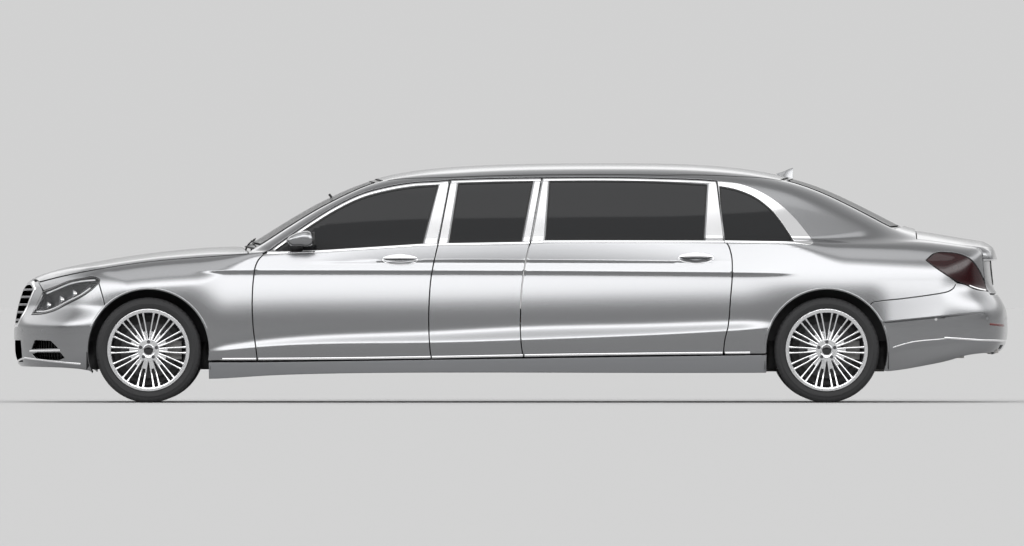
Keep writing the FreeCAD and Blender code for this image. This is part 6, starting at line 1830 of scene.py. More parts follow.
# thin chrome rim round each hand recess: a painted highlight on the recess edge
for nm, h, body in (("front_door_recess_rim_highlight", HAND_F, "front_door"), ("rear_door_recess_rim_highlight", HAND_R, "rear_door")):
    cx, cz, a, b = h
    th = np.linspace(0, 2 * math.pi, 60, endpoint=False)
    lp = np.stack([cx + a * 0.98 * np.cos(th), cz + b * 0.98 * np.sin(th)], 1)
    s = loop_band(SIDE, lp, 3.0, 0.9, 1.0, 0.3)
    both_sides(s.build(nm + "_left", [M["chrome"]]), nm, body, None, True)


RFQ = cached(RF, -1150, 1150, 200, 830, 8.0, 6.0)


# ------------------------------------------------------------------ headlamps
def cut_loft(name, chart, loop, lifts, m):
    """Closed shell between two offsets of a chart."""
    s = Soup()
    lo, hi = loop.min(0), loop.max(0)
    pts = grid_pts(np.arange(lo[0], hi[0], 14.0), np.arange(lo[1], hi[1], 12.0))
    panel(s, chart, loop, [], pts, (1, 1), lift=lifts[0], hem=lifts[0] - lifts[1], r=1.2, keep=3.0)
    V2, T = fill2d(ccw(loop), [], pts, (1, 1), 3.0)
    P, N = chart(V2)
    s.add(P + N * lifts[1], -N, T if chart_flip(chart, V2, T) else T[:, ::-1], 0)
    return s.build(name, [m])


hl = dedupe(outline(HEADLIGHT, 10), 1.0)
HLR = round_corners(to_ray(LOW(hl)[0], -2620, -1), 10, 22)
hl_in = offset(HLR, -1.5)
lens = Soup()
lo, hi = hl_in.min(0), hl_in.max(0)
pts = grid_pts(np.arange(lo[0], hi[0], 12.0), np.arange(lo[1], hi[1], 10.0))
panel(lens, RFQ, hl_in, [], pts, (1, 1), lift=-0.6, hem=5.0, r=2.0, keep=3.0)
both_sides(lens.build("headlamp_lens_left", [M["lens"]]), "headlamp_lens", "body", "headlights")
# housing behind the lens
hs = Soup()
deep = offset(HLR, -3.0)
V2, T = fill2d(deep, [], pts, (1, 1), 3.0)
P, N = RFQ(V2)
d_edge = seg_dist(deep, V2)
dep = 12 + 46 * (1 - np.exp(-d_edge / 22.0))
Pd = P - N * dep[:, None]
e1, e2 = Pd[T[:, 1]] - Pd[T[:, 0]], Pd[T[:, 2]] - Pd[T[:, 0]]
fn = np.cross(e1, e2)
Nd = np.zeros_like(Pd)
for k_ in range(3):
    np.add.at(Nd, T[:, k_], fn)
if (Nd * N).sum() < 0:
    Nd = -Nd
hs.add(Pd, Nd, T[:, ::-1] if chart_flip(RFQ, V2, T) else T, 0)
lp = ccw(deep)
P0, N0 = RFQ(lp)
hs.strip([P0 - N0 * 3.0, P0 - N0 * 12.0], [-N0, -N0], 0, flip=True)
both_sides(hs.build("headlamp_housing_left", [M["lamp_dark"]]), "headlamp_housing", "body", None)


def lamp_unit(name, x, z, r, depth, mats):
    """Round lamp unit set back behind the lens, looking forwards and a little outwards."""
    P, N = LOW(np.array([(x, z)]))
    d = np.array([-1.0, -0.16, 0.0])
    d /= np.linalg.norm(d)
    c = P[0] - N[0] * depth
    parts = []
    up = np.array([0, 0, 1.0])
    sd = np.cross(d, up)

    def ring(rad, off, n=40):
        th = np.linspace(0, 2 * math.pi, n, endpoint=False)
        return c + d * off + np.outer(np.cos(th), sd) * rad + np.outer(np.sin(th), up) * rad
    prof = [(r, -16), (r + 1.5, 4), (r + 1.0, 6), (r - 2, 6.4), (r - 4, 2), (r * 0.84, -3)]
    V = np.vstack([ring(a, b) for a, b in prof])
    F = []
    for i in range(len(prof) - 1):
        for q_ in range(40):
            w_ = (q_ + 1) % 40
            F.append([i * 40 + q_, i * 40 + w_, (i + 1) * 40 + w_, (i + 1) * 40 + q_])
    parts.append(make_mesh("lu", V, F, None, mat=mats[0]))
    prof = [(r * 0.84, -3), (r * 0.78, 3), (r * 0.62, 8), (r * 0.36, 12), (0.5, 13.5)]
    V = np.vstack([ring(a, b) for a, b in prof])
    F = []
    for i in range(len(prof) - 1):
        for q_ in range(40):
            w_ = (q_ + 1) % 40
            F.append([i * 40 + q_, i * 40 + w_, (i + 1) * 40 + w_, (i + 1) * 40 + q_])
    parts.append(make_mesh("lv", V, F, None, mat=mats[1]))
    return join(name, parts)


M["bar_dark"] = mat("grille_bar", (0.16, 0.162, 0.17), 0.9, 0.3)
M["proj"] = mat("projector_glass", (0.10, 0.11, 0.12), 0.2, 0.04, 0.6)
u1 = lamp_unit("lu1", -2968, 676, 33, 42, (M["satin_chrome"], M["proj"]))
u2 = lamp_unit("lu2", -2878, 716, 30, 40, (M["satin_chrome"], M["proj"]))
u3 = lamp_unit("lu3", -3050, 640, 24, 34, (M["satin_chrome"], M["proj"]))
lu = join("headlamp_units_left", [u1, u2, u3])
both_sides(lu, "headlamp_units", "body", None)
# light strips under the lens: brow along the top and a low line
brow = to_ray(LOW(seg_path([(-2712, 803), (-2800, 796), (-2889, 777), (-2976, 742), (-3040, 716)], 10))[0], -2620, -1)
s = band(RFQ, brow, 9.0, -9.0, 16.0, crown=1.5)
low_l = to_ray(LOW(seg_path([(-3104, 600), (-3052, 601), (-2982, 622), (-2895, 665), (-2806, 708), (-2745, 750)], 10))[0], -2620, -1)
band(RFQ, low_l, 7.0, -9.0, 16.0, crown=1.2, s=s)
both_sides(s.build("headlamp_light_strips_left", [M["lamp_white"]]), "headlamp_light_strips", "body", None)
# bright line round the lamp
s = loop_band(RFQ, offset(HLR, 0.6), 6.5, 0.2, 3.0, 0.3)
both_sides(s.build("headlamp_edge_left", [M["piano"]]), "headlamp_edge", "body", None)

# ------------------------------------------------------------------ grille
gro = gr_r.copy()
s = loop_band(RFQ, offset(gro, 3.0), 30.0, 1.6, 10.0, 4.0)
gr_in = offset(gro, -24)
frame_g = s.build("grille_frame", [M["chrome"]])
reg(frame_g, "body", ["grille"])
s = Soup()
V2, T = fill2d(ccw(offset(gro, -2)), [], grid_pts(np.arange(-500, 500, 20), np.arange(480, 800, 20.0)), (1, 1))
P, N = RFQ(V2)
s.add(P - N * 36, N, T[:, ::-1] if chart_flip(RFQ, V2, T) else T, 0)
lp = ccw(offset(gro, -2))
P0, N0 = RFQ(lp)
s.strip([P0 - N0 * 2, P0 - N0 * 36], [-N0, -N0], 0, flip=True)
reg(s.build("grille_back", [M["mesh_black"]]), "body", ())


def half_at(z):
    """Half-angle of the grille's clear opening at a level."""
    a = ccw(offset(gro, -20))
    b_ = np.roll(a, -1, 0)
    us = []
    for (u0, v0), (u1_, v1) in zip(a, b_):
        if (v0 > z) != (v1 > z):
            us.append(u0 + (z - v0) * (u1_ - u0) / (v1 - v0))
    return max(us) if us else 0


s = Soup()
for z in (540.0, 590.0, 640.0, 690.0, 738.0):
    h_ = half_at(z)
    if h_ > 0:
        us = np.linspace(-h_, h_, 60)
        band(RFQ, np.stack([us, np.full(60, z)], 1), 15.0, -4.0, 18.0, crown=3.0, s=s)
us = np.linspace(506, 772, 20)
reg(s.build("grille_bars", [M["bar_dark"]]), "body", ())
s = Soup()
for k_ in range(-17, 18):
    u_ = k_ * 21.0
    zz = [z for z in np.linspace(500, 778, 40) if half_at(z) > abs(u_)]
    if len(zz) > 3:
        band(RFQ, np.stack([np.full(len(zz), u_), np.array(zz)], 1), 3.2, -16.0, 6.0, crown=0.5, s=s)
for z in np.arange(505, 780, 12.5):
    h_ = half_at(z)
    if h_ > 4:
        us = np.linspace(-h_, h_, 40)
        band(RFQ, np.stack([us, np.full(40, z)], 1), 3.0, -17.0, 5.0, crown=0.5, s=s)
reg(s.build("grille_mesh_front", [M["black"]]), "body", ())

# ------------------------------------------------------------------ lower intakes
def intake(name, loop, rows, cols):
    """Dark back of an opening with a coarse mesh."""
    s = Soup()
    lp = ccw(offset(loop, 3.0))
    lo, hi = lp.min(0), lp.max(0)
    V2, T = fill2d(lp, [], grid_pts(np.arange(lo[0], hi[0], 20.0), np.arange(lo[1], hi[1], 20.0)), (1, 1))
    P, N = RFQ(V2)
    s.add(P - N * 30, N, T[:, ::-1] if chart_flip(RFQ, V2, T) else T, 0)
    P0, N0 = RFQ(lp)
    s.strip([P0 - N0 * 4, P0 - N0 * 30], [-N0, -N0], 0, flip=True)
    inn = ccw(offset(loop, -1.0))

    def span(v, ax):
        a, b_ = inn, np.roll(inn, -1, 0)
        o = 1 - ax
        us = [a[i][o] + (v - a[i][ax]) * (b_[i][o] - a[i][o]) / (b_[i][ax] - a[i][ax]) for i in range(len(a)) if (a[i][ax] > v) != (b_[i][ax] > v)]
        return (min(us), max(us)) if len(us) >= 2 else None
    for z in np.linspace(lo[1], hi[1], rows + 2)[1:-1]:
        sp_ = span(z, 1)
        if sp_ and sp_[1] - sp_[0] > 20:
            us = np.linspace(sp_[0], sp_[1], 30)
            band(RFQ, np.stack([us, np.full(30, z)], 1), 3.4, -14, 6, crown=0.5, s=s)
    for u_ in np.linspace(lo[0], hi[0], cols + 2)[1:-1]:
        sp_ = span(u_, 0)
        if sp_ and sp_[1] - sp_[0] > 14:
            vs = np.linspace(sp_[0], sp_[1], 12)
            band(RFQ, np.stack([np.full(12, u_), vs], 1), 3.0, -13.5, 6, crown=0.5, s=s)
    return s


mid_in = intake("mi", yz_on_nose(slot_m, -2620, -1), 7, 30)
reg(mid_in.build("lower_intake", [M["mesh_black"]]), "body", ())
for nm, o, r_, c_ in (("upper_side_intake", up_slot, 3, 10), ("lower_side_intake", lo_slot, 2, 12)):
    rr_ = xz_on_nose(o, -2620, -1)
    both_sides(intake(nm, rr_, r_, c_).build(nm + "_left", [M["mesh_black"]]), nm, "body", None)
# chrome lines: along the lower lip and as a fin between the side intakes
lip = to_ray(LOW(seg_path([(-2801.5, 252), (-2900, 260), (-3000, 270), (-3100, 281), (-3175, 290)], 14))[0], -2620, -1)
lip_all = np.vstack([lip, np.stack([np.linspace(lip[-1, 0], -20, 24)[1:], np.linspace(lip[-1, 1], 250, 24)[1:]], 1)])
lip_all = np.vstack([lip_all, np.array([(-u, v) for u, v in lip_all[::-1]])])
s = band(RFQ, lip_all, 11.0, 2.4, 4.0, crown=1.2)
reg(s.build("lower_lip_chrome", [M["chrome"]]), "body", ())
fin_l = to_ray(LOW(seg_path([(-2935, 341), (-3000, 339), (-3070, 337), (-3140, 334)], 12))[0], -2620, -1)
s = band(RFQ, fin_l, 11.0, 3.0, 4.0, crown=1.4)
both_sides(s.build("side_intake_chrome_left", [M["chrome"]]), "side_intake_chrome", "body", None)
# finish for the edge of a front plate
M["plate_edge"] = mat("plate_edge", (0.05, 0.05, 0.05), 0.0, 0.4)


# ------------------------------------------------------------------ tail-lamps
RRQ = cached(RR, -1150, 1150, 190, 1010, 8.0, 6.0)
tlo = dedupe(outline(TAILLIGHT, 10), 1.0)
TLR = round_corners(to_ray(LOW(tlo)[0], 2500, 1), 8, 22)
lo, hi = TLR.min(0), TLR.max(0)
tpts = grid_pts(np.arange(lo[0], hi[0], 12.0), np.arange(lo[1], hi[1], 9.0))
s = Soup()
panel(s, RR, offset(ccw(TLR), -1.8), [], tpts, (1, 1), lift=-0.6, hem=6.0, r=2.2, keep=3.0)
both_sides(s.build("tail_lamp_lens_left", [M["red_lens"]]), "tail_lamp_lens", "body", "taillights")
s = Soup()
deep = ccw(offset(ccw(TLR), -3.5))
V2, T = fill2d(deep, [], tpts, (1, 1), 3.0)
P, N = RR(V2)
dep = 9 + 20 * (1 - np.exp(-seg_dist(deep, V2) / 16.0))
Pd = P - N * dep[:, None]
s.add(Pd, N, T[:, ::-1] if chart_flip(RR, V2, T) else T, 0)
P0, N0 = RR(deep)
s.strip([P0 - N0 * 3.0, P0 - N0 * 9.0], [-N0, -N0], 0, flip=True)
both_sides(s.build("tail_lamp_housing_left", [M["lamp_dark"]]), "tail_lamp_housing", "body", None)


def ray_path(pts, step=9):
    return to_ray(LOW(seg_path(pts, step))[0], 2500, 1)


s = Soup()
for pts, w_ in (([(2745, 934), (2800, 951), (2870, 954), (2945, 938), (2997, 905), (3036, 852), (3068, 796)], 9.0), ([(2768, 914), (2830, 922), (2900, 915), (2955, 890), (2996, 850), (3030, 796)], 7.0),
                ([(2800, 890), (2860, 890), (2915, 871), (2952, 840), (2978, 800)], 7.0)):
    band(RRQ, ray_path(pts), w_, -8.0, 8.0, crown=1.6, s=s)
both_sides(s.build("tail_lamp_guides_left", [M["red_inner"]]), "tail_lamp_guides", "body", None)
P, N = LOW(np.array([(2903.0, 884.0)]))
c0 = P[0] - N[0] * 12
bulb = rod("tail_lamp_reverse_left", c0 - N[0] * 8, c0 + N[0] * 4, 17, M["lamp_white"], 28)
both_sides(bulb, "tail_lamp_reverse", "body", None)
s = band(RRQ, ray_path([(2990, 764), (3040, 746), (3100, 733)]), 9.0, 1.2, 3.0, crown=0.8)
both_sides(s.build("tail_lamp_lower_chrome_left", [M["chrome"]]), "tail_lamp_lower_chrome", "body", None)
s = loop_band(RRQ, ccw(offset(ccw(TLR), 0.2)), 2.0, 0.0, 3.0, 0.3)
both_sides(s.build("tail_lamp_seal_left", [M["rubber"]]), "tail_lamp_seal", "body", None)

# ------------------------------------------------------------------ boot lid fittings
lid_pt = lambda ys_, zs_: LIDM(np.stack([ys_, zs_ * AS], 1))


def lid_at(y, z):
    """Angle on the lid for a level on its rear face."""
    lo_, hi_ = 40.0, 98.0
    for _ in range(30):
        m_ = 0.5 * (lo_ + hi_)
        if LIDC(np.array([(y, m_)]))[0][0, 2] > z:
            lo_ = m_
        else:
            hi_ = m_
    return 0.5 * (lo_ + hi_)


# overhanging lip of the lid, bright along its lower edge
LEV = [(1042.0, 0.4), (1030.0, 10.0), (1011.0, 25.0), (985.0, 35.0), (960.0, 41.0), (934.0, 47.0), (926.0, 46.0), (938.0, -1.0)]
yk = np.array([0.0, 220.0, 420.0, 540.0, 628.0])
AK = np.array([[lid_at(y, z) for y in yk] for z, _ in LEV])
ys_ = np.r_[np.linspace(-628, -575, 6), np.linspace(-560, 560, 60), np.linspace(575, 628, 6)]
fade = np.clip((628.0 - np.abs(ys_)) / 50.0, 0, 1) ** 0.6
V = []
for k_, (z, off) in enumerate(LEV):
    P, N = LIDC(np.stack([ys_, np.interp(np.abs(ys_), yk, AK[k_])], 1))
    V.append(P + np.array([1.0, 0, 0]) * (off * fade)[:, None] if off > 0 else P + N * off)
V = np.vstack(V)
n_ = len(ys_)
F, MI = [], []
for k_ in range(len(LEV) - 1):
    for i in range(n_ - 1):
        F.append([k_ * n_ + i, (k_ + 1) * n_ + i, (k_ + 1) * n_ + i + 1, k_ * n_ + i + 1])
        MI.append(1 if k_ == 5 else 2 if k_ == 6 else 0)
lip_ = make_mesh("lid_lip", V, F, None, mats=[M["paint"], M["chrome"], M["black"]], mat_idx=MI)
lip_.data.set_sharp_from_angle(angle=math.radians(38))
reg(fix_out(lip_), "boot_lid", ())
# satin chrome strip along the ridge low on each side of the rear bumper: a painted highlight where the ridge catches
# light
s = band(RRQ, ray_path([(2492, 360), (2601, 392), (2800, 414), (2838, 418)]), 7.0, 0.6, 4.0, crown=1.6)
both_sides(s.build("rear_bumper_ridge_left", [M["satin_chrome"]]), "rear_bumper_ridge_highlight", "body", None)
# blank plate on four screws, with its dark surround
pz = 850.0
xp = max(float(LIDC(np.array([(y, lid_at(y, z))]))[0][0, 0]) for y in (0.0,) for z in (782.0, 850.0, 918.0)) + 2.5
slope = math.atan2(float(LIDC(np.array([(0.0, lid_at(0, 800))]))[0][0, 0] - LIDC(np.array([(0.0, lid_at(0, 900))]))[0][0, 0]), 100.0)
Ry = lambda t_: [[math.cos(t_), 0, math.sin(t_)], [0, 1, 0], [-math.sin(t_), 0, math.cos(t_)]]
at_ = np.array([float(LIDC(np.array([(0.0, lid_at(0, 850))]))[0][0, 0]), 0, 850.0])
frame_p = box3("rear_plate_surround", at_[0] - 6, at_[0] + 5.0, -164, 164, 850 - 84, 850 + 84, M["black"], 4.0, Ry(-slope), at_)
plate_p = box3("rear_plate_blank", at_[0] + 2, at_[0] + 6.5, -152.5, 152.5, 850 - 76, 850 + 76, M["plate"], 1.0, Ry(-slope), at_)
reg(frame_p, "boot_lid", ())
reg(plate_p, "boot_lid")
scr = []
for sy in (-89, 89):
    for sz in (-60, 60):
        c = np.array([at_[0] + 6.2, sy, 850.0 + sz]) - at_
        c = np.array(Ry(-slope)) @ c + at_
        d_ = np.array(Ry(-slope)) @ np.array([1.0, 0, 0])
        scr.append(rod("ps", c, c + d_ * 2.2, 6.0, M["satin_chrome"], 16))
reg(join("rear_plate_screws", scr), "boot_lid")
# ------------------------------------------------------------------ rear bumper: tips, reflectors, lower insert
tips = []
for sd in (-1, 1):
    cy = 500.0 * sd
    th = np.linspace(0, 2 * math.pi, 64, endpoint=False)
    cs, sn = np.cos(th), np.sin(th)
    q4 = (np.abs(cs) ** 4 + np.abs(sn) ** 4) ** -0.25
    def oval(hw, hh, x):
        return np.stack([np.full(64, x), cy + cs * q4 * hw * 0.98, 345 + sn * q4 * hh * 0.98], 1)
    rings = [oval(68, 19, 2960), oval(70, 21, 3060), oval(72, 23, 3158), oval(71, 22, 3164), oval(67, 18.5, 3165), oval(65, 17, 3160), oval(62, 14.5, 3100), oval(60, 13, 2990)]
    V = np.vstack(rings)
    F = []
    for i in range(len(rings) - 1):
        for q_ in range(64):
            w_ = (q_ + 1) % 64
            F.append([i * 64 + q_, i * 64 + w_, (i + 1) * 64 + w_, (i + 1) * 64 + q_])
    F.append([(len(rings) - 1) * 64 + q_ for q_ in range(64)])
    mi = [0] * (64 * 5) + [1] * (64 * 2) + [1]
    ob = make_mesh("tip", V, F, None, smooth=True, mats=[M["chrome"], M["black"]], mat_idx=mi)
    tips.append(fix_out(ob))
reg(join("exhaust_tips", tips), "body", ())
s = Soup()
rf = [(-820, 560), (-700, 560), (-700, 584), (-820, 584)]
for sd in (-1,):
    us_ = yz_on_nose(np.array([(y, z) for y, z in [(-760, 512), (-640, 505), (-560, 503)]]), 2500, 1)
    band(RRQ, curve_pts(us_, 16), 15.0, 1.0, 4.0, crown=1.0, s=s)
both_sides(s.build("rear_reflector_left", [M["reflector"]]), "rear_reflector", "body", None)
# chrome line along the lower rear bumper
us = np.linspace(-700, 700, 80)
z_l = np.interp(np.abs(us), [0, 400, 560, 700], [402, 402, 408, 424])
s = band(RRQ, np.stack([us, z_l], 1), 12.0, 2.0, 4.0, crown=1.0)
reg(s.build("rear_lower_chrome", [M["chrome"]]), "body", ())
# parking sensors on both bumpers
sens = []
for nm_, ch, uu, zz, cx in (("f", RFQ, (-560, -330, -120, 120, 330, 560), 468, 0), ("r", RRQ, (-520, -300, -105, 105, 300, 520), 548, 0)):
    P, N = ch(np.array([(u, zz) for u in uu], float))
    for a_, b_ in zip(P, N):
        sens.append(rod("sn", a_ - b_ * 3, a_ + b_ * 0.5, 9.0, M["paint_low_shaded"], 20))
P, N = SIDE(np.array([(2770.0, 543.0)]))
for sg in (1, -1):
    m_ = np.array([1, sg, 1.0])
    sens.append(rod("sn", (P[0] - N[0] * 3) * m_, (P[0] + N[0] * 1.2) * m_, 9.0, M["satin_chrome"], 20))
reg(join("parking_sensors", sens), "body", ())
# screws of the front plate holder, level with the skin
P, N = RFQ(yz_on_nose(np.array([(-89.0, 446.0), (89.0, 446.0)]), -2620, -1))
reg(join("front_plate_plugs", [rod("pp", a_ - b_ * 2, a_ + b_ * 0.3, 3.4, M["black"], 16) for a_, b_ in zip(P, N)]), "body", ())


# ------------------------------------------------------------------ mirrors
def mirror_mesh(name):
    """Housing behind the glass, seen from the side with a flat rear and a round front."""
    prof = np.array([(-1462, 1052), (-1450, 1076), (-1420, 1096), (-1371, 1113), (-1322, 1120), (-1296, 1108), (-1284, 1086), (-1278, 1062), (-1284, 1036), (-1306, 1020), (-1370, 1021), (-1436, 1026)], float)
    loop = curve_pts(np.vstack([prof, prof[:1]]), 65)[:-1]
    c = np.array([-1368.0, 1070.0])
    ys = np.array([-862, -868, -880, -900, -930, -965, -1000, -1030, -1048, -1057, -1061.5, -1063.3])
    sc = np.array([0.30, 0.52, 0.72, 0.86, 0.96, 1.0, 0.985, 0.93, 0.82, 0.66, 0.42, 0.12])
    V = np.vstack([np.stack([np.minimum(c[0] + (loop[:, 0] - c[0]) * (0.35 + 0.65 * k), -1279 + 0 * loop[:, 0]), np.full(len(loop), y), c[1] + (loop[:, 1] - c[1]) * k], 1) for y, k in zip(ys, sc)])
    n = len(loop)
    F = []
    for i in range(len(ys) - 1):
        for q_ in range(n):
            w_ = (q_ + 1) % n
            F.append([i * n + q_, i * n + w_, (i + 1) * n + w_, (i + 1) * n + q_])
    F += [list(range(n)), [(len(ys) - 1) * n + q_ for q_ in range(n)]]
    ob = make_mesh(name, V, F, None, mat=M["paint"])
    fix_out(ob)
    glass = []
    gl = np.array([(-1046, 1064), (-1036, 1092), (-1010, 1108), (-960, 1110), (-905, 1100), (-885, 1080), (-886, 1052), (-905, 1036), (-960, 1031), (-1012, 1033), (-1040, 1044)], float)
    gl = curve_pts(np.vstack([gl, gl[:1]]), 61)[:-1]
    m_ = len(gl)
    V = np.vstack([np.stack([np.full(m_, x), gl[:, 0] * k + (1 - k) * -962, gl[:, 1] * k + (1 - k) * 1070], 1) for x, k in ((-1290, 1.04), (-1275.5, 1.03), (-1274.8, 0.99), (-1276.5, 0.97))])
    F = []
    for i in range(3):
        for q_ in range(m_):
            w_ = (q_ + 1) % m_
            F.append([i * m_ + q_, i * m_ + w_, (i + 1) * m_ + w_, (i + 1) * m_ + q_])
    F += [list(range(m_)), [3 * m_ + q_ for q_ in range(m_)]]
    idx = [0] * (3 * m_) + [0, 1]
    g_ = make_mesh("mg", V, F, None, smooth=True, mats=[M["black"], M["mirror"]], mat_idx=idx)
    g_.data.set_sharp_from_angle(angle=math.radians(30))
    fix_out(g_)
    # indicator strip on the front and the foot on the door
    ind = tube_path("mi", [(-1432, -905, 1060), (-1449, -950, 1061), (-1448, -1000, 1062), (-1420, -1040, 1064), (-1385, -1058, 1066)], 5.0, M["lamp_white"], 10, n_path=24, flat=0.8)
    foot = []
    pts = np.array([(-1398, -842, 1006), (-1398, -868, 1024), (-1392, -892, 1040)], float)
    V = []
    for (x, y, z), (a, b) in zip(curve_pts(pts, 8), np.linspace(0, 1, 8)[:, None] * [-8, -6] + [44, 24]):
        th = np.linspace(0, 2 * math.pi, 24, endpoint=False)
        V.append(np.stack([x + np.cos(th) * a, np.full(24, y) + np.sin(th) * b * 0.35, z + np.sin(th) * b * 0.75], 1))
    V = np.vstack(V)
    F = [[i * 24 + q_, i * 24 + (q_ + 1) % 24, (i + 1) * 24 + (q_ + 1) % 24, (i + 1) * 24 + q_] for i in range(7) for q_ in range(24)]
    F += [list(range(24)), [7 * 24 + q_ for q_ in range(24)]]
    ft = fix_out(make_mesh("mf", V, F, None, mat=M["black"]))
    return join(name, [ob, g_, ind, ft])


MB = [b for b, ns in frame["record"]["behaviour"]["bodies"].items() if "mirror_left" in ns][0] if isinstance(frame["record"]["behaviour"]["bodies"], dict) else "body"
mm = mirror_mesh("door_mirror_left")
two = MB.endswith("_left")
o2 = mirror_obj(mm, "door_mirror_right")
reg(mm, MB, ["mirror_left"])
reg(o2, MB.replace("_left", "_right"), ["mirror_right"])

# ------------------------------------------------------------------ antenna fin
xs = np.linspace(1742, 1850, 26)
top_z = np.interp(xs, [1742, 1768, 1796, 1824, 1850], [1497, 1503, 1513, 1526, 1534.5])
bot_z = R_roof(xs, np.zeros(26)) + 0.5
V, F = [], []
for x, a, b in zip(xs, top_z, bot_z):
    for t in np.linspace(0, 1, 9):
        w_ = 15.5 * (1 - t) ** 0.8 * math.sin(math.pi * min(1, (x - 1738) / 60.0) / 2) + 1.6
        V.append((x, -w_, b + (a - b) * t))
    for t in np.linspace(1, 0, 9):
        w_ = 15.5 * (1 - t) ** 0.8 * math.sin(math.pi * min(1, (x - 1738) / 60.0) / 2) + 1.6
        V.append((x, w_, b + (a - b) * t))
for i in range(25):
    for q_ in range(17):
        F.append([i * 18 + q_, i * 18 + q_ + 1, (i + 1) * 18 + q_ + 1, (i + 1) * 18 + q_])
F += [list(range(18)), [25 * 18 + q_ for q_ in range(18)]]
fin = fix_out(make_mesh("antenna_fin", V, F, None, mat=M["paint"]))
reg(fin, "body", ["roof_antenna"])

# ------------------------------------------------------------------ cowl panel, wipers
s = Soup()
co = both_plan([[(-1846, 0), (-1830, 300), (-1790, 600), (-1760, 690)], [(-1760, 690), (-1690, 715), (-1668, 697)], [(-1668, 697), (-1710, 452), (-1732, 232), (-1740, 0)]], 20)
cow = lambda xy: (np.stack([xy[:, 0], xy[:, 1], np.interp(xy[:, 0] + 0.00012 * xy[:, 1] ** 2, [-1850, -1800, -1740, -1690], [949, 953, 968, 992]) - 0.00007 * xy[:, 1] ** 2 - 4], 1), np.tile(np.array([-0.3, 0, 0.954]), (len(xy), 1)))
panel(s, cow, co, [], grid_pts(np.arange(-1845, -1660, 15.0), np.arange(-700, 701, 30.0)), (1, 0.6), hem=10.0, r=2.0, keep=3.0)
reg(s.build("scuttle_cover", [M["black"]]), "body", ())
wip = []
for y0, y1, xo in ((-560, -20, 0), (40, 560, -6)):
    piv = np.array([-1752.0, y1 if y0 < 0 else y1, 968.0])
    tipp = TOPU(np.array([(-1664.0, y0)]))
    a_ = np.array([-1748.0 if y1 < 0 else -1706.0, y1, 962.0 if y1 < 0 else 968.0])
    pth = [TOPU(np.array([(-1700.0 + 26 * t, y1 + (y0 - y1) * t)]))[0][0] + np.array([0, 0, 9.0]) for t in np.linspace(0.06, 1, 6)]
    wip.append(tube_path("wb", pth, 4.2, M["rubber"], 8, n_path=24))
    mid = pth[3] + np.array([0, 0, 8.0])
    wip.append(tube_path("wa", [a_, (a_ + mid) / 2 + np.array([-4, 0, 16.0]), mid], 6.0, M["black"], 8, n_path=14, flat=0.6))
    wip.append(rod("wp", a_ - np.array([0, 0, 10.0]), a_ + np.array([0, 0, 8.0]), 14, M["black"], 18))
reg(join("wipers", wip), "body", ())
# ------------------------------------------------------------------ roof: ditch strips along each side
rail = np.array([(-832, 0), (-600, 0), (-300, 0), (200, 0), (800, 0), (1250, 0), (1500, 0), (1700, 0), (1812, 0)], float)
xs = np.linspace(-800, 1770, 90)
rail_y = np.interp(xs, [-832, -500, 0, 1000, 1500, 1762, 1812], [585, 592, 596, 596, 560, 508, 492])
s = band(TOPU, np.stack([xs, -rail_y], 1), 9.0, 0.6, 3.0, crown=0.4)
both_sides(s.build("roof_strip_left", [M["rubber"]]), "roof_strip", "body", None)

# ------------------------------------------------------------------ quarter window frame, wide at its tail
dq = curve_pts([(1352, 1443), (1474, 1431), (1572, 1401), (1673.6, 1351), (1832.5, 1224), (1923.6, 1116), (1969, 1051), (1974, 1040)], 70)
low_q = curve_pts([(1974, 1040), (1960, 1031), (1925, 1028)], 8)
ow = np.vstack([dq, low_q[1:], run_x(1920, 1398, lambda x: belt_z(x) - 7.5)[1:], [(1390, 1060)]])
ow = ccw(round_corners(dedupe(ow, 1.5), 4, 30))
inn = offset(round_corners(outline(WIN_QUARTER, 14), 8, 30), 1.0)
s = Soup()
panel(s, SIDE, ow, [inn], side_points(1340, 1990, 14, 1020, 1450), (1, 1), lift=2.0, hem=4.0, r=1.4, keep=3.0)
both_sides(s.build("quarter_window_frame_left", [M["chrome"]]), "quarter_window_frame", "body", None)

# ------------------------------------------------------------------ wheel arch flanges
for nm_, cx, ra in (("front_arch_flange", AXF, (20, 158)), ("rear_arch_flange", AXR, (-3, 176))):
    th = np.radians(np.linspace(ra[0], ra[1], 90))
    pth = np.stack([cx + (AR + 9) * np.cos(th), HZ + (AR + 9) * np.sin(th)], 1)
    s = band(SIDE, pth, 13.0, 1.6, 4.0, crown=1.2)
    both_sides(s.build(nm_ + "_left", [M["paint"]]), nm_, "body", None)

# ------------------------------------------------------------------ lower ends of the wheel arch liners
for nm_, cx in (("front_arch_liner_end", AXF), ("rear_arch_liner_end", AXR)):
    sheets = [box3("al", cx + sd * 403 - 1.5, cx + sd * 403 + 1.5, -930, -640, 216, 330, M["black"], 0.0) for sd in (-1, 1)]
    yi = -570 if cx == AXF else -640
    sheets += [box3("aw", cx + min(sd * 322, sd * 403), cx + max(sd * 322, sd * 403), yi - 2, yi + 2, 216, 400, M["black"], 0.0) for sd in (-1, 1)]
    both_sides(join(nm_ + "_left", sheets), nm_, "body", None)


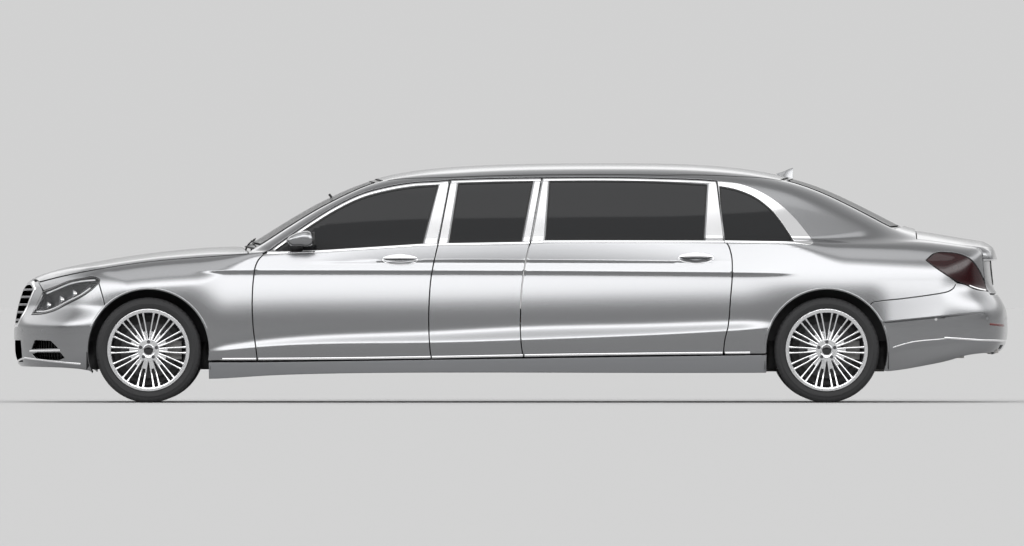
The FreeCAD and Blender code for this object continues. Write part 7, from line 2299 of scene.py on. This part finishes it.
# ------------------------------------------------------------------ seats
def cushion(name, x0, x1, y0, y1, z0, z1, puff=(6, 6, 12), rows=0, axis=0, groove=5.0, m=None, rot=None, at=None, res=16.0, rad=34.0, bol=0.0):
    """Upholstered block with rounded edges, stitched channels and raised side bolsters; it stays inside its box."""
    c = np.array([(x0 + x1) / 2, (y0 + y1) / 2, (z0 + z1) / 2])
    h = np.array([(x1 - x0) / 2, (y1 - y0) / 2, (z1 - z0) / 2])
    n = np.maximum((2 * h / res).astype(int), 3)
    V, F, key = [], [], {}

    def vid(p):
        k_ = tuple(np.round(p, 4))
        if k_ not in key:
            key[k_] = len(V)
            V.append(p)
        return key[k_]
    for ax in range(3):
        u, v = [a for a in range(3) if a != ax]
        for sg in (-1, 1):
            for i in range(n[u]):
                for j in range(n[v]):
                    q_ = []
                    for di, dj in ((0, 0), (1, 0), (1, 1), (0, 1)):
                        p = np.zeros(3)
                        p[ax] = sg
                        p[u] = -1 + 2 * (i + di) / n[u]
                        p[v] = -1 + 2 * (j + dj) / n[v]
                        q_.append(vid(p))
                    F.append(q_ if sg * (1 if (u, v) in ((1, 2), (0, 1)) else -1) > 0 else q_[::-1])
    V = np.array(V)
    P = V * h
    inner = np.maximum(h - rad, 0.2)
    q_ = np.clip(P, -inner, inner)
    d = P - q_
    L = np.linalg.norm(d, axis=1, keepdims=True)
    r_ = np.minimum(rad, h.min())
    P = q_ + np.where(L > 1e-6, d / np.maximum(L, 1e-6) * np.minimum(L, r_), 0)
    # slack skin: faces lie a little below the box and swell towards their middle
    for ax, pf in enumerate(puff):
        o = [a for a in range(3) if a != ax]
        w_ = (1 - V[:, o[0]] ** 4) * (1 - V[:, o[1]] ** 4)
        P[:, ax] -= np.sign(V[:, ax]) * (np.abs(V[:, ax]) > 0.9) * pf * (1 - w_)
    if bol:
        yy = np.abs(V[:, 1])
        top_ = V[:, 2 if axis == 0 else 0] * (1 if axis == 0 else -1) > 0.9
        k_ = 2 if axis == 0 else 0
        P[:, k_] -= np.where(top_, (1 if axis == 0 else -1) * bol * (1 - sstep(yy, 0.55, 0.8)), 0)
    if rows:
        k_ = 2 if axis == 0 else 0
        sgn = 1 if axis == 0 else -1
        face = V[:, k_] * sgn > 0.9
        cut = np.zeros(len(V))
        for g_ in np.linspace(-0.62, 0.62, rows):
            cut += np.exp(-((V[:, 1] - g_) * h[1] / 9.0) ** 2)
        P[:, k_] -= np.where(face, sgn * groove * np.clip(cut, 0, 1) * (1 - V[:, 0 if axis == 0 else 2] ** 6), 0)
    P = P + c
    if rot is not None:
        P = (P - at) @ np.array(rot).T + at
    ob = make_mesh(name, P, F, None, mat=m or M["leather"])
    ob.data.set_sharp_from_angle(angle=math.radians(70))
    return fix_out(ob)


def seat_set(tag, x, y, w, seats, mirror_x=None):
    """Cushions, backs and head-rests on one base; x is the front edge."""
    t = math.radians(14)
    R_ = [[math.cos(t), 0, math.sin(t)], [0, 1, 0], [-math.sin(t), 0, math.cos(t)]]
    at = np.array([x + 445.0, y, 470.0])
    pads, rest = [], []
    rest.append(box3("sb", x + 24, x + 480, y - w / 2 + 14, y + w / 2 - 14, 331, 392, M["black"], 6.0))
    sw_ = w / seats
    for k in range(seats):
        a, b = y - w / 2 + sw_ * k, y - w / 2 + sw_ * (k + 1)
        g = 2.0
        pads.append(cushion("c", x + 1, x + 486, a + g, b - g, 388, 519, (4, 3, 7), 4 if seats > 1 else 3, 0, 5.0, bol=10.0))
        pads.append(cushion("b", at[0] + 1, at[0] + 118, a + 12, b - 12, 486, 1014, (6, 5, 4), 4 if seats > 1 else 3, 2, 5.0, rot=R_, at=at, bol=10.0))
        cy = (a + b) / 2
        hw = 125
        pads.append(cushion("h", at[0] + 26, at[0] + 100, cy - hw, cy + hw, 1034, 1190, (5, 8, 8), 0, 2, 0, rot=R_, at=at, res=12.0))
        for sy in (-48, 48):
            p0 = (np.array([at[0] + 62, cy + sy, 1000.0]) - at) @ np.array(R_).T + at
            p1 = (np.array([at[0] + 62, cy + sy, 1060.0]) - at) @ np.array(R_).T + at
            rest.append(rod("hp", p0, p1, 6.0, M["chrome"], 14))
    if seats > 1:
        rest.append(box3("ar", x + 60, x + 452, y - 58, y + 58, 519, 560, M["wood"], 6.0))
        pads.append(cushion("ap", x + 64, x + 452, y - 62, y + 62, 556, 612, (3, 3, 6), 0, 0, 0, res=14.0, rad=20))
    P_ = join(tag + "_cushions", pads)
    R2 = join(tag + "_frame", rest)
    if mirror_x is not None:
        for ob in (P_, R2):
            me = ob.data
            co_ = np.empty(len(me.vertices) * 3)
            me.vertices.foreach_get("co", co_)
            co_[0::3] = 2 * mirror_x * MM - co_[0::3]
            me.vertices.foreach_set("co", co_)
            me.flip_normals()
    return P_, R2


for tag, nodes_, args in (("driver_seat", ["front_seats"], (-1165.0, -370.0, 500.0, 1, None)), ("passenger_seat", ["front_seats"], (-1165.0, 370.0, 500.0, 1, None)),
                          ("rear_bench", ["rear_seats"], (880.0, 0.0, 1276.0, 2, None)), ("facing_bench", ["facing_seats"], (-640.0, 0.0, 1276.0, 2, -120.0))):
    p_, r_ = seat_set(tag, *args)
    reg(p_, "body", nodes_)
    reg(r_, "body", ())

# ------------------------------------------------------------------ dashboard, console, steering wheel
def extrude_y(name, prof, y0, y1, m, w=5.0):
    p = np.array(prof, float)
    n = len(p)
    V = np.vstack([np.stack([p[:, 0], np.full(n, y), p[:, 1]], 1) for y in (y0, y1)])
    F = [[i, (i + 1) % n, n + (i + 1) % n, n + i] for i in range(n)] + [list(range(n)), list(range(n, 2 * n))]
    ob = make_mesh(name, V, F, None, mat=m)
    ob.data.set_sharp_from_angle(angle=math.radians(32))
    fix_out(ob)
    if w:
        bevel(ob, w, 3)
    return ob


dash = [extrude_y("d1", [(-1539, 900), (-1480, 926), (-1400, 936), (-1340, 928), (-1306, 902), (-1300, 868), (-1330, 846), (-1539, 846)], -734, 734, M["black"], 6),
        extrude_y("d2", [(-1539, 790), (-1539, 850), (-1318, 850), (-1312, 838), (-1318, 800), (-1350, 784)], -732, 732, M["leather"], 5),
        extrude_y("d3", [(-1312, 846), (-1306, 842), (-1310, 806), (-1316, 804)], -726, 726, M["wood"], 1),
        extrude_y("d4", [(-1539, 642), (-1539, 792), (-1352, 790), (-1362, 700), (-1400, 642)], -730, 730, M["leather"], 8),
        box3("d5", -1306, -1298, -560, -60, 862, 938, M["piano"], 3.0, Ry(-0.12), np.array([-1300.0, 0, 880])),
        box3("d6", -1303, -1299, -330, -66, 868, 932, M["proj"], 1.0, Ry(-0.12), np.array([-1300.0, 0, 880])),
        extrude_y("d7", [(-1420, 930), (-1400, 943), (-1320, 943), (-1312, 925), (-1320, 905)], -520, -220, M["black"], 6)]
for y in (-650, -30, 40, 640):
    dash.append(rod("v", (-1322, y, 826), (-1303, y, 826), 27, M["chrome"], 36))
    dash.append(rod("v2", (-1310, y, 826), (-1301.5, y, 826), 23, M["mesh_black"], 36))
    dash.append(rod("v3", (-1306, y, 826), (-1300, y, 826), 7, M["satin_chrome"], 20))
dash.append(extrude_y("c1", [(-1430, 332), (-1430, 600), (-1352, 690), (-1290, 640), (-1180, 612), (-1000, 600), (-990, 332)], -108, 108, M["leather"], 6))
dash.append(extrude_y("c2", [(-1288, 641), (-1178, 613.5), (-1020, 603), (-1020, 606), (-1178, 617.5), (-1286, 645)], -96, 96, M["wood"], 1))
dash.append(box3("c3", -990, -642, -108, 108, 332, 600, M["leather"], 6.0))
dash.append(box3("c5", -1262, -1240, -30, 30, 630, 648, M["chrome"], 4.0))
dash.append(rod("c6", (-1130, 0, 610), (-1130, 0, 634), 26, M["satin_chrome"], 40))
lidc = cushion("console_armrest", -984, -648, -104, 104, 596, 639, (3, 3, 5), 0, 0, 0, res=14.0, rad=18)
reg(lidc, "body", ())
dash.append(rod("c4", (-1330, -370, 816), (-1216, -370, 869.2), 30, M["black"], 30))
for sg in (-1, 1):
    dash.append(rod("st", (-1238, -370 + sg * 24, 862), (-1228, -370 + sg * 140, 866), 5.5, M["black"], 12, 7.5))
reg(join("dashboard_detail", dash), "body", ["dashboard"])

SWN = np.array([0.906, 0, 0.4226])
SWN /= np.linalg.norm(SWN)
SWO = np.array([-1300.0, -370, 830]) + SWN * 150
e1 = np.array([0, 1.0, 0])
e2 = np.cross(SWN, e1)
th = np.linspace(0, 2 * math.pi, 97)[:-1]
ring = tube_path("sr", [SWO + 178 * (math.cos(a) * e1 + math.sin(a) * e2) for a in th], 14.6, M["leather"], 18, closed=True)
swp = [ring]
thh = np.linspace(0, 2 * math.pi, 48, endpoint=False)
rings_ = [SWO + SWN * off + r * np.outer(np.cos(thh), e1) * 1.06 + r * np.outer(np.sin(thh), e2) for r, off in ((46, -29), (50, -26), (50.5, 2), (46, 8), (30, 9.4), (0.5, 9.8))]
V = np.vstack(rings_)
F = [[i * 48 + q_, i * 48 + (q_ + 1) % 48, (i + 1) * 48 + (q_ + 1) % 48, (i + 1) * 48 + q_] for i in range(5) for q_ in range(48)] + [list(range(48))]
swp.append(fix_out(make_mesh("sh", V, F, None, mat=M["black"])))
for a in (90, 200, 340):
    r = np.radians(a)
    # spokes: flat bars with a bright inlay, in the frame's directions
    zx = np.array(Matrix.Rotation(math.acos(SWN[2]), 3, Vector((0, 1, 0))))
    d_ = zx @ np.array([math.cos(r), math.sin(r), 0])
    s_ = np.cross(SWN, d_)
    for (w0, w1, t0, t1, mm_) in ((14.5, 12, -7.5, 1.5, M["leather"]), (7, 5, 1.4, 2.0, M["satin_chrome"])):
        V = np.array([SWO + d_ * q_ + s_ * w_ * sg + SWN * h_ for q_, w_ in ((40, w0), (172, w1)) for sg in (-1, 1) for h_ in (t0, t1)])
        F = [(0, 1, 3, 2), (4, 6, 7, 5), (0, 4, 5, 1), (2, 3, 7, 6), (0, 2, 6, 4), (1, 5, 7, 3)]
        ob = make_mesh("ss", V, F, None, mat=mm_)
        fix_out(ob)
        swp.append(ob)
SWB = [b for b, ns in frame["record"]["behaviour"]["bodies"].items() if "steering_wheel" in ns][0]
reg(join("steering_wheel_detail", swp), SWB, ["steering_wheel"])

# ------------------------------------------------------------------ trim on the partition, floor carpets and pedals
part = [box3("p1", -441, -403, -700, 700, 345, 1030, M["leather"], 5.0), box3("p2", -445, -399, -702, 702, 1004, 1034, M["wood"], 3.0),
        box3("p3", -407, -402.5, -520, 520, 1060, 1370, M["piano"], 3.0), box3("p4", -441.5, -437, -520, 520, 1060, 1370, M["piano"], 3.0)]
reg(join("partition_trim", part), "body", ())
flo = [box3("f1", -1596, -448, -700, -134, 240.5, 250, M["carpet"], 3.0), box3("f2", -1596, -448, 134, 700, 240.5, 250, M["carpet"], 3.0),
       box3("f3", -396, 1556, -700, -134, 240.5, 250, M["carpet"], 3.0), box3("f4", -396, 1556, 134, 700, 240.5, 250, M["carpet"], 3.0),
       box3("f5", -396, 1570, -131.5, 131.5, 240, 334, M["carpet"], 5.0), box3("f6", 1584, 3080, -598, 598, 500.5, 510, M["carpet"], 4.0)]
# pedals
flo += [box3("pd1", -1500, -1488, -330, -278, 300, 420, M["black"], 3.0, Ry(0.5), np.array([-1494.0, -304, 360])), box3("pd2", -1520, -1508, -452, -362, 330, 395, M["black"], 3.0, Ry(0.5), np.array([-1514.0, -400, 360]))]
reg(join("floor_carpets_and_pedals", flo), "body", ())

# ------------------------------------------------------------------ door cards
for tag, x0, x1, body in (("front_door", -1560, -560, "front_door"), ("rear_door", 190, 1330, "rear_door")):
    ps = np.linspace(x0, x1, 20)
    yin = -np.interp(ps, [x0, x0 + 120, x1 - 120, x1], [792, 786, 786, 790]) + 0.0
    cards = [box3("k1", x0, x1, -792, -778, 330, 1000, M["leather"], 5.0), box3("k2", x0 + 60, x1 - 60, -784, -722, 640, 684, M["leather_light"], 8.0),
             box3("k3", x0 + 40, x1 - 40, -779, -774, 770, 815, M["wood"], 1.5), box3("k4", x0 + 90, x1 - 260, -782, -744, 352, 440, M["leather"], 7.0),
             rod("k5", (x0 + 210, -780, 430), (x0 + 210, -772, 430), 74, M["mesh_black"], 40), box3("k6", (x0 + x1) / 2 - 150, (x0 + x1) / 2 - 40, -776, -764, 850, 872, M["chrome"], 3.0)]
    ob = join(tag + "_card_left", cards)
    both_sides(ob, tag + "_card", body, None, True)

# interior mirror
mr = [box3("im", -1180, -1162, -120, 120, 1285, 1345, M["black"], 8.0), box3("ig", -1161.5, -1160.5, -112, 112, 1291, 1339, M["mirror"], 0.0), rod("is", (-1172, 0, 1340), (-1190, 0, 1362), 8, M["black"], 14)]
reg(join("inside_mirror", mr), "body", ())


# ------------------------------------------------------------------ finishes of the CAD pieces that stay
def finish(node_name, m):
    o = frame["nodes"].get(node_name)
    if o is None:
        return
    me = o.data
    me.materials.clear()
    me.materials.append(m)
    for p in me.polygons:
        p.material_index = 0


for n_, m_ in (("floor_pan", "steel_dark"), ("front_structure", "steel_dark"), ("front_subframe", "steel_dark"), ("knuckle_left", "cast"), ("knuckle_right", "cast"), ("rear_axle", "cast"),
               ("exhaust_system", "pipe"), ("drive_shaft", "cast"), ("engine", "alu_cast"), ("partition", "leather"), ("rear_bulkhead", "carpet"), ("middle_side_panels", "inner_paint_shaded"), ("sills", "paint_low_shaded"),
               ("front_fenders", "inner_paint_shaded"), ("roof", "headliner"), ("grille", "mesh_black")):
    finish(n_, M[m_])


# ------------------------------------------------------------------ floor, light, camera
def stage_mesh(name, V, F, m):
    o = make_mesh(name, V, F, None, mat=m, smooth=True)
    o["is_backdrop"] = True
    return o


floor_m = mat("floor_pale", (0.50, 0.50, 0.50), 0.0, 0.9, Specular_IOR_Level=0.0)
th_ = np.linspace(0, 2 * math.pi, 97)[:-1]
stage_mesh("studio_floor", [(400000.0 * math.cos(a), 400000.0 * math.sin(a), 0.0) for a in th_], [list(range(96))], floor_m)

WALL, HORIZON = 4.2, 0.64
world = bpy.data.worlds.new("studio")
bpy.context.scene.world = world
world.use_nodes = True
wn = world.node_tree
wn.nodes["Background"].inputs["Strength"].default_value = 1.0
wc = wn.nodes.new("ShaderNodeTexCoord")
ws_ = wn.nodes.new("ShaderNodeSeparateXYZ")
wn.links.new(wc.outputs["Generated"], ws_.inputs["Vector"])


def ramp(src, lo_, hi_, stops):
    """Grey levels against one direction component."""
    mr_ = wn.nodes.new("ShaderNodeMapRange")
    mr_.inputs["From Min"].default_value = lo_
    mr_.inputs["From Max"].default_value = hi_
    cr_ = wn.nodes.new("ShaderNodeValToRGB")
    el = cr_.color_ramp.elements
    f = lambda v: (v - lo_) / (hi_ - lo_)
    el[0].position, el[0].color = f(stops[0][0]), (stops[0][1],) * 3 + (1,)
    el[1].position, el[1].color = f(stops[-1][0]), (stops[-1][1],) * 3 + (1,)
    for v, c in stops[1:-1]:
        e = el.new(f(v))
        e.color = (c, c, c, 1)
    cr_.color_ramp.interpolation = "EASE"
    wn.links.new(src, mr_.inputs["Value"])
    wn.links.new(mr_.outputs["Result"], cr_.inputs["Fac"])
    return cr_.outputs["Color"]


def mix(op, a, b):
    m_ = wn.nodes.new("ShaderNodeMixRGB")
    m_.blend_type = op
    m_.inputs["Fac"].default_value = 1.0
    for s_, v in zip(("Color1", "Color2"), (a, b)):
        if isinstance(v, float):
            m_.inputs[s_].default_value = (v, v, v, 1)
        else:
            wn.links.new(v, m_.inputs[s_])
    return m_.outputs["Color"]


# soft wall of light on the near side, over a dim lower rim, under a calm sky
sn_ = lambda d: math.sin(math.radians(d))
wall_e = ramp(ws_.outputs["Z"], -1.0, 1.0, [(-1.0, 0.0), (sn_(7.0), 0.0), (sn_(12.0), 0.10), (sn_(17.5), 1.0), (sn_(26.0), 1.0), (sn_(33.0), 0.42), (sn_(42.0), 0.10), (1.0, 0.06)])
near = ramp(ws_.outputs["Y"], -1.0, 1.0, [(-1.0, 1.0), (-0.35, 0.92), (0.1, 0.30), (1.0, 0.26)])
wall_c = mix("MULTIPLY", mix("MULTIPLY", wall_e, near), WALL)
base_c = ramp(ws_.outputs["Z"], -1.0, 1.0, [(-1.0, HORIZON), (sn_(2.5), HORIZON), (sn_(5.5), 0.12), (0.35, 0.18), (0.8, 0.34), (1.0, 0.40)])
far_e = ramp(ws_.outputs["Z"], -1.0, 1.0, [(-1.0, 0.0), (sn_(3.0), 0.0), (sn_(6.0), 0.42), (sn_(45.0), 0.42), (1.0, 0.0)])
far_y = ramp(ws_.outputs["Y"], -1.0, 1.0, [(-1.0, 0.0), (-0.05, 0.0), (0.25, 1.0), (1.0, 1.0)])
wall_c = mix("ADD", wall_c, mix("MULTIPLY", far_e, far_y))
wn.links.new(mix("ADD", wall_c, base_c), wn.nodes["Background"].inputs["Color"])


sun = bpy.data.lights.new("soft_sun", "SUN")
sun.energy = 0.55
sun.angle = math.radians(50)
sun_o = bpy.data.objects.new("soft_sun", sun)
COL.objects.link(sun_o)
sun_o.rotation_euler = Vector((0.10, 0.34, -1.0)).to_track_quat("-Z", "Y").to_euler()

cam = bpy.data.cameras.new("photo_view")
cam_o = bpy.data.objects.new("photo_view", cam)
COL.objects.link(cam_o)
CX_, CZ_, SPAN, DIST = 0.009, 0.845, 6.668, 150.0
cam.sensor_width = 36.0
cam.lens = 36.0 * DIST / SPAN
cam.clip_start = 1.0
cam.clip_end = 600.0
cam_o.location = (CX_, -0.95 - DIST, CZ_)
cam_o.rotation_euler = (math.radians(90), 0, 0)
bpy.context.scene.camera = cam_o
bpy.context.scene.view_settings.view_transform = "Standard"
bpy.context.scene.view_settings.look = "None"

import json
lo_, hi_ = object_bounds()
